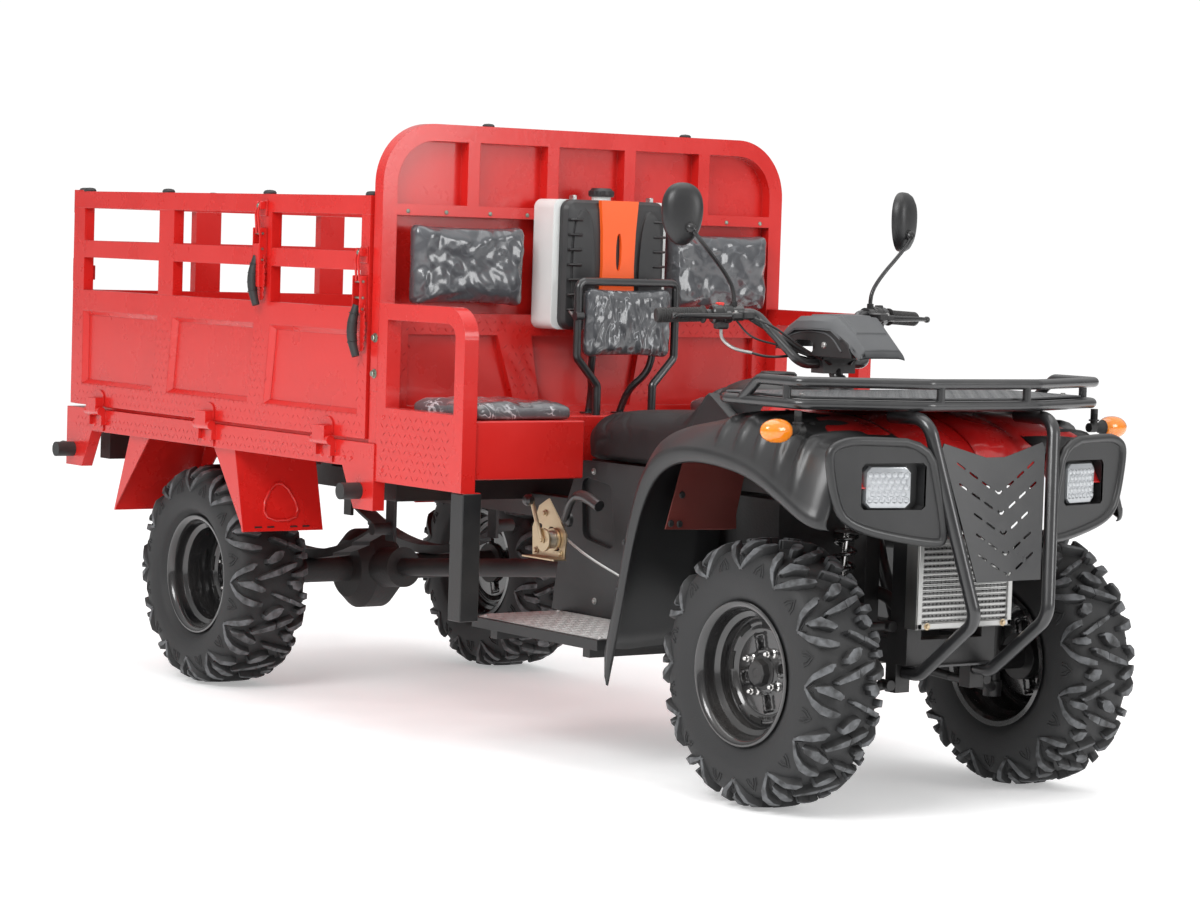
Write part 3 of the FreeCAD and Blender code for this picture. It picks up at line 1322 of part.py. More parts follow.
def tank_cover():
    """The moulded cover in front of the tank: grooves each side of a raised strip with a sight slot."""
    low = board_face + S.tank_depth + S.running_gap * 2
    front = low + S.tank_cover_wall
    half, foot, top = S.tank_half - S.tank_cover_wall / 2, S.tank_foot, S.tank_top
    outline = [p + (S.saddle_round,) for p in rectangle(-half, half, foot, top)]
    cover = plate("YZ_Plane", outline, low, front)
    edge, groove = S.tank_strip_half, S.tank_strip_wall
    pitch = (top - foot) / (TANK_GROOVES + 1)
    for i in range(TANK_GROOVES):
        z = foot + pitch * (i + 1)
        for sign in (1, -1):
            near, far = edge * 1.3 * sign, half * 0.88 * sign
            slot = [(near, z - groove), (far, z - groove), (far, z + groove), (near, z + groove)]
            recess(cover, "YZ_Plane", slot, front - groove, front + S.cut_over)
    raised = plate("YZ_Plane", rectangle(-edge, edge, foot + groove, top - groove), front - S.cut_over,
                   front + groove)
    middle, sight = foot + (top - foot) * 0.58, (top - foot) * 0.16
    recess(raised, "YZ_Plane", rectangle(-groove, groove, middle - sight, middle + sight), front,
           front + groove + S.cut_over)
    return joined([cover, raised])


keep("tank", tank())
keep("tank_cover", tank_cover())
tank_x = board_face + S.tank_depth / 2
keep("tank_cap", rod((tank_x, ZERO, S.tank_top + S.running_gap), (tank_x, ZERO, S.tank_top + S.tank_cap_height),
                     S.tank_cap_size))


def backrest_frame():
    """The bent loop behind the saddle."""
    x, foot = behind(S.backrest_setback), S.bench_deck
    low, high = foot + S.backrest_bend * 2, S.backrest_neck + S.backrest_bend
    near, far, top = S.backrest_foot_half, S.backrest_half, S.backrest_top
    route = [(x, -near, foot), (x, -near, low), (x, -far, high), (x, -far, top),
             (x, far, top), (x, far, high), (x, near, low), (x, near, foot)]
    return tube(route, S.backrest_tube, S.backrest_bend / 2)


keep("backrest_frame", backrest_frame())


def backrest_pad():
    """The pad that fills the loop."""
    x = behind(S.backrest_setback)
    clear = S.backrest_tube / 2 + S.running_gap
    half, top = S.backrest_half - clear, S.backrest_top - clear
    outline = [p + (S.backrest_tube,) for p in rectangle(-half, half, S.backrest_pad_foot, top)]
    return plate("YZ_Plane", outline, x - S.backrest_pad_wall / 2, x + S.backrest_pad_wall / 2)


keep("backrest_pad", backrest_pad())


# Mudguards of the rear wheels: a splayed flap with side gussets, ahead of and behind each tyre

def mudguard(lead, top_lead, gusset, sign):
    x = behind(S.wheelbase)
    wall = S.sheet_wall
    top, foot = S.sill_foot, S.flap_foot
    edge, high = x + lead * sign, x + top_lead * sign
    inner, outer = S.flap_inner, S.flap_outer
    thick = wall * 2 * sign
    face = plate("XZ_Plane", [(high, top), (edge, foot), (edge - thick, foot), (high - thick, top)], inner, outer)
    pieces = [face]
    for level in (inner, outer - wall):
        side = [(high, top), (edge, foot), (high - gusset * sign, top)]
        pieces.append(plate("XZ_Plane", side, level, level + wall))
    return joined(pieces)


guards = [mudguard(S.flap_lead, S.flap_top_lead, S.flap_gusset, 1),
          mudguard(S.flap_back, S.flap_top_back, S.flap_gusset, -1)]
keep("mudguards", group(guards + [mirrored(g) for g in guards]))


# Steering: stem and bar turn together; the knuckles and the tie rods follow

def steering_bar():
    top = column_point(-S.bar_rise / math.cos(column_lean))
    low = column_point(column_length)
    stem = rod(low, top, S.column_tube)
    clamp = block((top[0] - S.clamp_size / 2, top[0] + S.clamp_size / 2), (-S.clamp_half, S.clamp_half),
                  (bar_height - S.clamp_size / 2, pod_low - S.running_gap))
    half = [(top[0], ZERO, bar_height), (top[0], S.bar_middle_half, bar_height), grip_share(0),
            grip_share(0.5)]
    bar = tube(half, S.bar_tube, S.bar_tube * 1.5)
    pitman = block((low[0] - S.pitman_length - S.steer_arm_size / 2, low[0] + S.column_tube / 2),
                   (-S.steer_arm_size / 2, S.steer_arm_size / 2),
                   (drop_arm_foot, drop_arm_foot + S.steer_arm_size))
    return joined([stem, clamp, bar, mirrored(bar), pitman])


def grip_share(share):
    """A place along the straight outer part of the bar."""
    start = (behind(column_top_setback + S.bar_bend_reach), S.bar_bend_half, bar_bend_height)
    end = (behind(column_top_setback + S.bar_end_reach), S.bar_end_half, bar_end_height)
    return tuple(a + (b - a) * share for a, b in zip(start, end))


def grip():
    return rod(grip_share(0.5), grip_share(1), S.grip_tube)


def bar_control():
    """A switch block round the bar, with its lever."""
    near, far = grip_share(0.26), grip_share(0.47)
    half = S.switch_size / 2
    middle = grip_share(0.36)
    housing = block((middle[0] - half, middle[0] + half), (near[1], far[1]),
                    (middle[2] - half, middle[2] + half))
    lever_in = (middle[0] + half - S.lever_tube / 2, middle[1], middle[2])
    lever_bend = (middle[0] + half * 2.4, middle[1] + half, middle[2] - half / 3)
    tip = grip_share(0.96)
    lever_tip = (tip[0] + half * 2.6, tip[1], tip[2] - half / 2)
    lever = tube([lever_in, lever_bend, lever_tip], S.lever_tube, S.lever_tube * 1.5)
    hole = rod(grip_share(0.2), grip_share(0.499), S.bar_tube + S.running_gap * 2)
    return without(joined([housing, lever]), [hole])


def mirror():
    """An oval head on a bent stem that stands on the bar."""
    base = grip_share(0.23)
    head_x, head_y = behind(column_top_setback + S.mirror_reach), S.mirror_half
    head_z = S.column_top_height + S.mirror_rise
    foot_z = base[2] + S.bar_tube / 2 + S.running_gap
    wide, tall = S.mirror_width / 2, S.mirror_tall / 2
    route = [(base[0], base[1], foot_z), (base[0], base[1], foot_z + S.switch_size),
             (head_x, head_y, head_z - tall / 2), (head_x, head_y, head_z)]
    stem = tube(route, S.mirror_stem, S.mirror_stem * 1.5)
    # The head is an upright oval, narrower below.
    low_wide, corner = wide * 0.84, wide * 0.78
    foot_level, top_level = head_z - tall, head_z + tall
    oval = [(head_y - low_wide, foot_level, corner), (head_y + low_wide, foot_level, corner),
            (head_y + wide, top_level, corner), (head_y - wide, top_level, corner)]
    head = plate("YZ_Plane", oval, head_x - S.mirror_depth / 2, head_x + S.mirror_depth / 2)
    return joined([stem, head])


def pod():
    """The instrument cover over the bar."""
    middle, low, tall, long = behind(column_top_setback), pod_low, S.pod_tall, S.pod_length
    rear, front = middle - long / 2, middle + long / 2
    side = [(rear + long * 0.1, low), (front - long * 0.1, low), (front, low + tall * 0.14),
            (front - long * 0.36, low + tall), (front - long * 0.66, low + tall), (rear, low + tall * 0.3)]
    return plate("XZ_Plane", side, -S.pod_half, S.pod_half)


keep("handlebar", steering_bar())
keep("grips", both(grip()))
keep("bar_controls", both(bar_control()))
keep("mirrors", both(mirror()))
keep("instrument_pod", pod())


def knuckle():
    """The upright with its kingpin, stub axle and steering arm."""
    x, y, z = S.front_axle_x, S.kingpin_mid, S.tyre_radius
    pin = rod((x, y, S.kingpin_foot), (x, y, S.kingpin_top), S.kingpin_size)
    end = S.front_track / 2 + S.front_disc_out - S.running_gap
    stub = rod((x, y, z), (x, end, z), S.stub_size)
    hub = rod((x, end - S.stub_size / 2, z), (x, end, z), S.hub_radius * 2)
    low = S.tie_rod_height + S.tie_rod_size / 2 + S.running_gap
    size = S.steer_arm_size
    arm = block((x - S.steer_arm_length - size / 2, x), (y - size * 1.1, y - size * 0.1), (low, low + size))
    return joined([pin, stub, hub, arm])


keep("knuckle_left", knuckle())
keep("knuckle_right", mirrored(nodes["knuckle_left"]))


def track_rod():
    """The rod between the steering arms, with a plate in its middle for the drop arm."""
    x, z = S.front_axle_x - S.steer_arm_length, S.tie_rod_height
    reach = S.kingpin_mid - S.steer_arm_size * 0.6
    half = S.tie_rod_size / 2
    centre = block((x, x + S.steer_arm_size * 2), (-S.steer_arm_size, S.steer_arm_size), (z - half, z + half))
    return joined([rod((x, -reach, z), (x, reach, z), S.tie_rod_size), centre])


keep("track_rod", track_rod())


def arm(inner_z, eye_low, cross):
    """A wishbone: two tubes from the frame to one eye at the kingpin."""
    x, y = S.front_axle_x, S.kingpin_mid
    pivot_y = S.nose_rail_mid + S.rail_width / 2 + S.running_gap + S.arm_tube / 2
    eye_mid = eye_low + S.arm_eye_wall / 2
    pieces = [rod((x, y, eye_low), (x, y, eye_low + S.arm_eye_wall), S.arm_eye)]
    width = S.arm_eye * 0.4
    for sign in (1, -1):
        px = x + S.arm_spread * sign
        pieces.append(rod((px - width, pivot_y, inner_z), (px + width, pivot_y, inner_z), S.arm_tube))
        pieces.append(rod((px, pivot_y, inner_z), (x, y, eye_mid), S.arm_tube * 0.86))
    if cross:
        share = (S.shock_foot_mid - pivot_y).value / (y - pivot_y).value
        reach, bar_y = S.arm_spread * (1 - share), S.shock_foot_mid
        bar_z = shock_bar_z(inner_z, eye_mid, share)
        pieces.append(rod((x - reach, bar_y, bar_z), (x + reach, bar_y, bar_z), S.arm_tube * 0.8))
    return joined(pieces)


def shock_bar_z(inner_z, eye_mid, share):
    return inner_z + (eye_mid - inner_z) * share


lower_eye = S.kingpin_foot - S.running_gap - S.arm_eye_wall
upper_arm = arm(S.upper_arm_pivot, S.kingpin_top + S.running_gap, False)
lower_arm = arm(S.lower_arm_pivot, lower_eye, True)
keep("front_arms", group([upper_arm, lower_arm, mirrored(upper_arm), mirrored(lower_arm)]))


COIL_TURNS = 8
coil_shares = (0.16, 0.7)


def shock():
    """A damper inside its coil, here as stacked rings, between the lower arm and the tower."""
    pivot_y = S.nose_rail_mid + S.rail_width / 2 + S.running_gap + S.arm_tube / 2
    share = (S.shock_foot_mid - pivot_y).value / (S.kingpin_mid - pivot_y).value
    bar_z = shock_bar_z(S.lower_arm_pivot, lower_eye + S.arm_eye_wall / 2, share)
    x = S.front_axle_x
    foot = (x, S.shock_foot_mid, bar_z + S.arm_tube * 0.4 + S.running_gap + S.shock_eye / 2)
    top = (x, S.shock_top_mid, S.shock_top_height)
    def along(share_up):
        return tuple(a + (b - a) * share_up for a, b in zip(foot, top))
    eye = S.shock_eye / 2
    pieces = [rod((x - eye, foot[1], foot[2]), (x + eye, foot[1], foot[2]), S.shock_eye),
              rod(foot, top, S.shock_rod * 1.6)]
    for i in range(COIL_TURNS):
        low = coil_shares[0] + coil_shares[1] * i / COIL_TURNS
        pieces.append(rod(along(low), along(low + coil_shares[1] / COIL_TURNS / 2), S.shock_size))
    inner = S.nose_rail_mid + S.rail_width / 2 + S.running_gap
    pieces.append(rod((x, inner, top[2]), (x, top[1] + S.shock_eye / 2, top[2]), S.shock_eye))
    return joined(pieces)


keep("front_shocks", both(shock()))


# Hand brake on the right, beside the saddle

def brake_bracket():
    rear, front = behind(S.brake_rear_setback), behind(S.brake_front_setback)
    y = -S.brake_plate_mid
    foot, top = S.brake_foot, S.brake_top
    wide = front - rear
    outline = [(rear, foot), (front, foot), (front, top - wide * 0.3), (rear + wide * 0.5, top + wide * 0.3),
               (rear, top)]
    sheet_part = plate("XZ_Plane", outline, y, y + S.brake_plate_wall)
    mid_x, mid_z = rear + wide / 2, foot + (top - foot) / 3
    arm_part = rod((mid_x, y + S.brake_plate_wall / 2, mid_z), (mid_x, -cover_outer - S.running_gap, mid_z),
                   S.brake_arm)
    return joined([sheet_part, arm_part])


def brake_lever():
    y = -S.brake_plate_mid - S.running_gap - S.brake_lever_size / 2
    rear, front = behind(S.brake_rear_setback), behind(S.brake_front_setback)
    start = (rear + S.brake_lever_size, y, S.brake_top - S.brake_lever_size / 2)
    middle = (rear + (front - rear) * 0.5, y, S.brake_top + S.brake_lever_size * 2)
    tip = (behind(S.brake_grip_setback), y, S.brake_grip_height)
    return tube([start, middle, tip], S.brake_lever_size, S.brake_lever_size * 1.5)


keep("hand_brake", group([brake_bracket(), brake_lever()]))

doc.recompute()
faults = [obj.Name for obj in doc.Objects if "Invalid" in obj.State or "Error" in obj.State]
faults += [label for label, piece in nodes.items() if piece.Shape.isNull() or not piece.Shape.isValid()]
if faults:
    raise RuntimeError(f"faulty shapes: {faults}")
for label, piece in nodes.items():
    piece.Shape.exportStep(f"parts/{label}.step")
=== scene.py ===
from math import atan2, copysign, cos, exp, hypot, pi, radians, sin

import bpy
from mathutils import Matrix, Vector, geometry, noise


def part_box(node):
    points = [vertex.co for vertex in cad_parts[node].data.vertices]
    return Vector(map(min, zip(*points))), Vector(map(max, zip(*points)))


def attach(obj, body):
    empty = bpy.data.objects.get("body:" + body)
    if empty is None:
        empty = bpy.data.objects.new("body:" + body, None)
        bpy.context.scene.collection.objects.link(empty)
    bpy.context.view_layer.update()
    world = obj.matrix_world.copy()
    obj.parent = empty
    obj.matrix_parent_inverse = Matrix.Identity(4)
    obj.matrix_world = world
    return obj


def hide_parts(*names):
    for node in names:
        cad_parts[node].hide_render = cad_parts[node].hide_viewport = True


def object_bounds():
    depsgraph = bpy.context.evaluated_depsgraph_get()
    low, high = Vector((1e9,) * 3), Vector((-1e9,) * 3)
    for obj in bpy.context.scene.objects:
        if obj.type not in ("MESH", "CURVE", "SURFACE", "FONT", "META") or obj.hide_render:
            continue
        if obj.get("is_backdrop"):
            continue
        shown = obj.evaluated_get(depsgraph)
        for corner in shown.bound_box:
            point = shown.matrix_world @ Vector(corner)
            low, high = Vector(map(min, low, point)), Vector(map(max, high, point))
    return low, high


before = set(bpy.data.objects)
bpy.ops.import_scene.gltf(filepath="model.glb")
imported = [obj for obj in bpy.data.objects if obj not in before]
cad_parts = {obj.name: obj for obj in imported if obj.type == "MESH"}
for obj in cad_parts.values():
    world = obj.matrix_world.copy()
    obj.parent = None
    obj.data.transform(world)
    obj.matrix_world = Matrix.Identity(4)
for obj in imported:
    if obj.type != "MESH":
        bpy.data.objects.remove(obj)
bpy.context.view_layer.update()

# Tyres. Four knobbly off-road tyres of black rubber, moulded in one with V-shaped lugs that run
# from the middle of the tread over the shoulders. They hold themselves on the rims by their beads.

PITCHES, BEAD = 12, 0.1545


class Blank:
    """The points and faces of one piece while it is being made."""

    def __init__(self):
        self.points, self.faces, self.finishes = [], [], []

    def face(self, corners, finish=0):
        self.faces.append(tuple(corners))
        self.finishes.append(finish)

    def skin(self, rings, finish=0, closed=True, ends=True, loop=False):
        """Covers a row of equal rings of points."""
        first, count, rows = len(self.points), len(rings[0]), len(rings)
        for ring in rings:
            self.points += [Vector(p) for p in ring]
        for i in range(rows if loop else rows - 1):
            for k in range(count if closed else count - 1):
                near, far = first + i * count, first + (i + 1) % rows * count
                after = (k + 1) % count
                self.face((near + k, near + after, far + after, far + k), finish)
        if ends and closed and not loop:
            self.face([first + k for k in range(count)][::-1], finish)
            self.face([first + (rows - 1) * count + k for k in range(count)], finish)

    def turned(self, profile, start, way, steps=32, finish=0, closed=False):
        """Turns a profile of (along, outward) about a line that starts at a place."""
        way = Vector(way).normalized()
        side = way.orthogonal().normalized()
        other = way.cross(side)
        start = Vector(start)
        rings = []
        for i in range(steps):
            angle = 2 * pi * i / steps
            out = side * cos(angle) + other * sin(angle)
            rings.append([start + way * a + out * r for a, r in profile])
        self.skin(rings, finish, closed=closed, ends=False, loop=True)

    def pipe(self, route, radius, finish=0, sides=12, loop=False):
        """A round tube along a route of places. The radius may be one value or one for each place."""
        route = [Vector(p) for p in route]
        count = len(route)
        radii = radius if isinstance(radius, (list, tuple)) else [radius] * count
        rings, side = [], None
        for i, place in enumerate(route):
            before = route[i - 1] if loop or i else place
            after = route[(i + 1) % count] if loop or i < count - 1 else place
            way = (after - before).normalized()
            side = way.orthogonal() if side is None else side - way * side.dot(way)
            side.normalize()
            other = way.cross(side)
            angles = [2 * pi * k / sides for k in range(sides)]
            rings.append([place + (side * cos(a) + other * sin(a)) * radii[i] for a in angles])
        self.skin(rings, finish, loop=loop)

    def block(self, low, high, r=0.0, finish=0):
        """A block between two opposite corners, with its edges taken off by r."""
        low, high = (Vector([pick(pair) for pair in zip(low, high)]) for pick in (min, max))
        middle, half = (low + high) / 2, (high - low) / 2
        rings = []
        for z, inset in ((-half.z, r), (-half.z + r, 0), (half.z - r, 0), (half.z, r)):
            x, y = half.x - inset, half.y - inset
            cut = r if inset == 0 else r * 0.4
            ring = [(x, -y + cut), (x, y - cut), (x - cut, y), (-x + cut, y), (-x, y - cut), (-x, -y + cut),
                    (-x + cut, -y), (x - cut, -y)]
            rings.append([Vector((px, py, z)) for px, py in ring])
        if r == 0:
            rings = [[Vector((sx * half.x, sy * half.y, z))
                      for sx, sy in ((1, -1), (1, 1), (-1, 1), (-1, -1))] for z in (-half.z, half.z)]
        self.skin([[middle + p for p in ring] for ring in rings], finish)

    def plate(self, outline, holes, thick, place, finish=0):
        """A flat plate with holes. place turns (across, up, through) into a place in space."""
        loops = [outline] + list(holes)
        first, flat = len(self.points), [p for line in loops for p in line]
        count = len(flat)
        for through in (0.0, thick):
            self.points += [place(a, u, through) for a, u in flat]
        lines = [[Vector((a, u, 0)) for a, u in line] for line in loops]
        for tri in geometry.tessellate_polygon(lines):
            self.face([first + i for i in tri], finish)
            self.face([first + count + i for i in reversed(tri)], finish)
        start = first
        for line in loops:
            for k in range(len(line)):
                a, b = start + k, start + (k + 1) % len(line)
                self.face((a, b, b + count, a + count), finish)
            start += len(line)

    def bolt(self, place, way, size=0.012, finish=0, sides=6, tall=0.6):
        """A bolt head on its washer."""
        place, way = Vector(place), Vector(way).normalized()
        r, h = size / 2, size * tall
        self.turned([(0, 0), (0, r * 1.45), (size * 0.12, r * 1.45), (size * 0.14, r * 1.05),
                     (size * 0.14, 0)], place, way, 16, finish)
        self.turned([(size * 0.13, r), (h * 0.85, r), (h, r * 0.8), (h, 0)], place, way, sides, finish)

    def rivets(self, places, way, size, finish=0):
        """Low domed heads in one row or scattered, all facing the same way."""
        for place in places:
            self.turned([(0, size / 2), (size * 0.16, size * 0.46), (size * 0.28, size * 0.26),
                         (size * 0.32, 0)], place, way, 10, finish)

    def shaped(self, name, finishes, worn=()):
        """The piece with its mesh and finishes, in the scene. The worn points get a scuff value of 1."""
        mesh = bpy.data.meshes.new(name)
        mesh.from_pydata([tuple(p) for p in self.points], [], self.faces)
        for finish in finishes:
            mesh.materials.append(finish)
        mesh.polygons.foreach_set("material_index", self.finishes)
        if worn:
            scuff = mesh.attributes.new("scuff", "FLOAT", "POINT")
            for i in worn:
                scuff.data[i].value = 1.0
        piece = bpy.data.objects.new(name, mesh)
        bpy.context.scene.collection.objects.link(piece)
        return piece

    def made(self, name, finishes, body, slot, replaced=(), sharp=34, place=(0, 0, 0), worn=(), closed=True):
        """The finished piece, in place and riding on its body."""
        piece = self.shaped(name, finishes, worn)
        piece.location = place
        mesh = piece.data
        if closed:
            face_outward(mesh)
        mesh.shade_smooth()
        mesh.set_sharp_from_angle(angle=radians(sharp))
        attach(piece, body)
        if replaced:
            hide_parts(*replaced)
        return piece


def face_outward(mesh):
    """Turns every closed shell of a mesh right side out, and joins points that share a place."""
    import bmesh
    work = bmesh.new()
    work.from_mesh(mesh)
    bmesh.ops.remove_doubles(work, verts=work.verts, dist=1e-6)
    bmesh.ops.recalc_face_normals(work, faces=work.faces)
    work.to_mesh(mesh)
    work.free()


def softened(line, rounds=2, closed=False):
    """Cuts the corners of a line until it is smooth."""
    line = [Vector(p) for p in line]
    for _ in range(rounds):
        pairs = list(zip(line, line[1:])) + ([(line[-1], line[0])] if closed else [])
        cut = [] if closed else [line[0]]
        for a, b in pairs:
            cut += [a.lerp(b, 0.25), a.lerp(b, 0.75)]
        line = cut if closed else cut[:1] + cut[2:-1] + [line[-1]]
    return line


def rounded(line, rounds=2, closed=True):
    """A flat line of (across, up) with its corners cut."""
    return [(p.x, p.y) for p in softened([(a, u, 0) for a, u in line], rounds, closed)]


def wired(tree, kind, inputs=None, **settings):
    """A shader node with its settings, and values or links in its inputs."""
    made = tree.nodes.new("ShaderNode" + kind)
    for key, value in settings.items():
        setattr(made, key, value)
    for key, value in (inputs or {}).items():
        if isinstance(value, bpy.types.NodeSocket):
            tree.links.new(value, made.inputs[key])
        else:
            made.inputs[key].default_value = value
    return made


def maths(tree, operation, *values, clamp=False):
    """One step of arithmetic over the surface."""
    return wired(tree, "Math", dict(enumerate(values)), operation=operation, use_clamp=clamp).outputs[0]


def mapped(tree, value, low, high, to_low=0.0, to_high=1.0, smooth=False):
    """A value stretched from one range to another, straight or with soft ends."""
    inputs = {"Value": value, "From Min": low, "From Max": high, "To Min": to_low, "To Max": to_high}
    ends = "SMOOTHSTEP" if smooth else "LINEAR"
    return wired(tree, "MapRange", inputs, interpolation_type=ends).outputs["Result"]


def clouds(tree, place, size, detail, **more):
    """Soft random patches."""
    return wired(tree, "TexNoise", {"Vector": place, "Scale": size, "Detail": detail, **more}).outputs["Fac"]


def mixed(tree, share, first, second):
    """Two colours mixed by a share."""
    return wired(tree, "Mix", {0: share, 6: first, 7: second}, data_type="RGBA").outputs[2]


def effect(name, takes, gives):
    """An empty shader effect with named inputs and outputs."""
    tree = bpy.data.node_groups.new(name, "ShaderNodeTree")
    for label, value in takes.items():
        kind = "NodeSocketColor" if isinstance(value, tuple) else "NodeSocketFloat"
        tree.interface.new_socket(label, in_out="INPUT", socket_type=kind).default_value = value
    for label in gives:
        kind = {"Base Color": "NodeSocketColor", "Normal": "NodeSocketVector"}.get(label, "NodeSocketFloat")
        tree.interface.new_socket(label, in_out="OUTPUT", socket_type=kind)
    return tree, tree.nodes.new("NodeGroupInput").outputs, tree.nodes.new("NodeGroupOutput").inputs


def surface_effect():
    """A surface with soft edges, fine grain, uneven gloss and dust that lies on what faces up."""
    tree, given, out = effect("surface", {
        "Colour": (0.5, 0.5, 0.5, 1.0), "Dust Colour": (0.3, 0.27, 0.24, 1.0), "Dust": 0.1, "Gloss Loss": 0.3,
        "Mottle": 0.1, "Soft Edge": 0.002, "Grain Size": 400.0, "Grain Depth": 0.0001},
        ("Base Color", "Roughness", "Normal"))
    place = wired(tree, "TexCoord").outputs["Object"]
    facing = wired(tree, "NewGeometry").outputs["Normal"]
    bevel = wired(tree, "Bevel", {"Radius": given["Soft Edge"]}, samples=4).outputs["Normal"]
    grain = clouds(tree, place, given["Grain Size"], 2.0)
    bump = wired(tree, "Bump", {"Height": grain, "Distance": given["Grain Depth"],
                                "Normal": bevel}).outputs["Normal"]
    cloud = clouds(tree, place, 5.0, 6.0, Roughness=0.62)
    upward = wired(tree, "SeparateXYZ", {"Vector": facing}).outputs["Z"]
    lie = mapped(tree, upward, -0.2, 1.0, 0.25, 1.0)
    patch = mapped(tree, cloud, 0.35, 0.7)
    dust = maths(tree, "MULTIPLY", lie, given["Dust"])
    dust = maths(tree, "MULTIPLY", dust, patch, clamp=True)
    shade = mapped(tree, patch, 0.0, 1.0, 0.94, 1.03)
    paint = wired(tree, "VectorMath", {0: given["Colour"], "Scale": shade},
                  operation="SCALE").outputs["Vector"]
    spread = maths(tree, "MULTIPLY", patch, given["Mottle"])
    rough = maths(tree, "ADD", spread, given["Gloss Loss"])
    rough = maths(tree, "MULTIPLY_ADD", dust, 0.35, rough, clamp=True)
    for label, socket in (("Base Color", mixed(tree, dust, paint, given["Dust Colour"])),
                          ("Roughness", rough), ("Normal", bump)):
        tree.links.new(socket, out[label])
    return tree


SURFACE = surface_effect()


def covered(name, group_tree, values, sockets):
    """A material: one effect with its own values, and the shader's constant sockets."""
    material = bpy.data.materials.new(name)
    material.use_nodes = True
    tree = material.node_tree
    shader = tree.nodes["Principled BSDF"]
    for key, value in sockets.items():
        shader.inputs[key].default_value = value
    group = wired(tree, "Group", node_tree=group_tree)
    for key, value in values.items():
        socket = group.inputs[key.replace("_", " ").title()]
        socket.default_value = (*value, 1.0) if isinstance(value, tuple) else value
    for label in ("Base Color", "Roughness", "Normal"):
        tree.links.new(group.outputs[label], shader.inputs[label])
    return material


def finish(name, colour, gloss_loss, metallic=0.0, coat=(0.0, 0.03), sockets=None, **values):
    """A finish over the surface effect, with its clear coat as (weight, roughness)."""
    return covered(name, SURFACE, {"colour": colour, "gloss_loss": gloss_loss, **values}, {
        "Metallic": metallic, "Coat Weight": coat[0], "Coat Roughness": coat[1], **(sockets or {})})


def worn_rubber():
    """Black rubber whose lug tops are scuffed to grey."""
    material = finish("tyre_rubber", (0.018, 0.0185, 0.0195), 0.58, mottle=0.12, dust=0.16, soft_edge=0.0012,
                      dust_colour=(0.085, 0.078, 0.07), grain_size=260.0, grain_depth=0.0005)
    tree = material.node_tree
    shader = tree.nodes["Principled BSDF"]
    base = shader.inputs["Base Color"].links[0].from_socket
    raised = wired(tree, "Attribute", attribute_name="scuff").outputs["Fac"]
    place = wired(tree, "TexCoord").outputs["Object"]
    cloud = clouds(tree, place, 38.0, 5.0)
    patch = mapped(tree, cloud, 0.32, 0.66)
    amount = maths(tree, "MULTIPLY", raised, patch)
    tree.links.new(mixed(tree, amount, base, (0.13, 0.135, 0.142, 1.0)), shader.inputs["Base Color"])
    return material


def carcass(half):
    """The tyre's section from the middle of the tread to the bead: places of (across, outward)."""
    wide = half - 0.08
    share = wide / 0.023
    line = [(0, 0.2965), (0.04, 0.2955), (0.062, 0.2925), (0.076, 0.2885), (0.0865, 0.281), (0.0935, 0.27),
            (0.098, 0.256), (0.1005, 0.238), (0.1005, 0.22), (0.098, 0.203), (0.0945, 0.189), (0.0895, 0.178),
            (0.0845, 0.17), (0.0815, 0.161), (0.08, 0.1532)]
    line = [(y * (half / 0.103) if r > 0.18 else y if y <= 0.08 else 0.08 + (y - 0.08) * share ** 0.5, r)
            for y, r in line]
    return rounded(line, 2, False)


class Section:
    """Finds a place on the tyre's section by its distance from the middle, along the surface."""

    def __init__(self, half):
        self.line = carcass(half)
        self.reach = [0.0]
        for (ay, ar), (by, br) in zip(self.line, self.line[1:]):
            self.reach.append(self.reach[-1] + hypot(by - ay, br - ar))

    def place(self, along, lift):
        side = 1 if along >= 0 else -1
        along = abs(along)
        i = max(k for k in range(len(self.reach) - 1) if self.reach[k] <= along)
        share = (along - self.reach[i]) / (self.reach[i + 1] - self.reach[i])
        (ay, ar), (by, br) = self.line[i], self.line[i + 1]
        y, r = ay + (by - ay) * share, ar + (br - ar) * share
        long = hypot(by - ay, br - ar)
        ny, nr = -(br - ar) / long, (by - ay) / long
        return side * (y + ny * lift), r + nr * lift


def lug_height(along):
    """The lugs are full height on the tread and sink into the sidewall."""
    along = abs(along)
    if along < 0.078:
        return 0.0205
    return 0.0205 - 0.0165 * min(1.0, (along - 0.078) / 0.042)


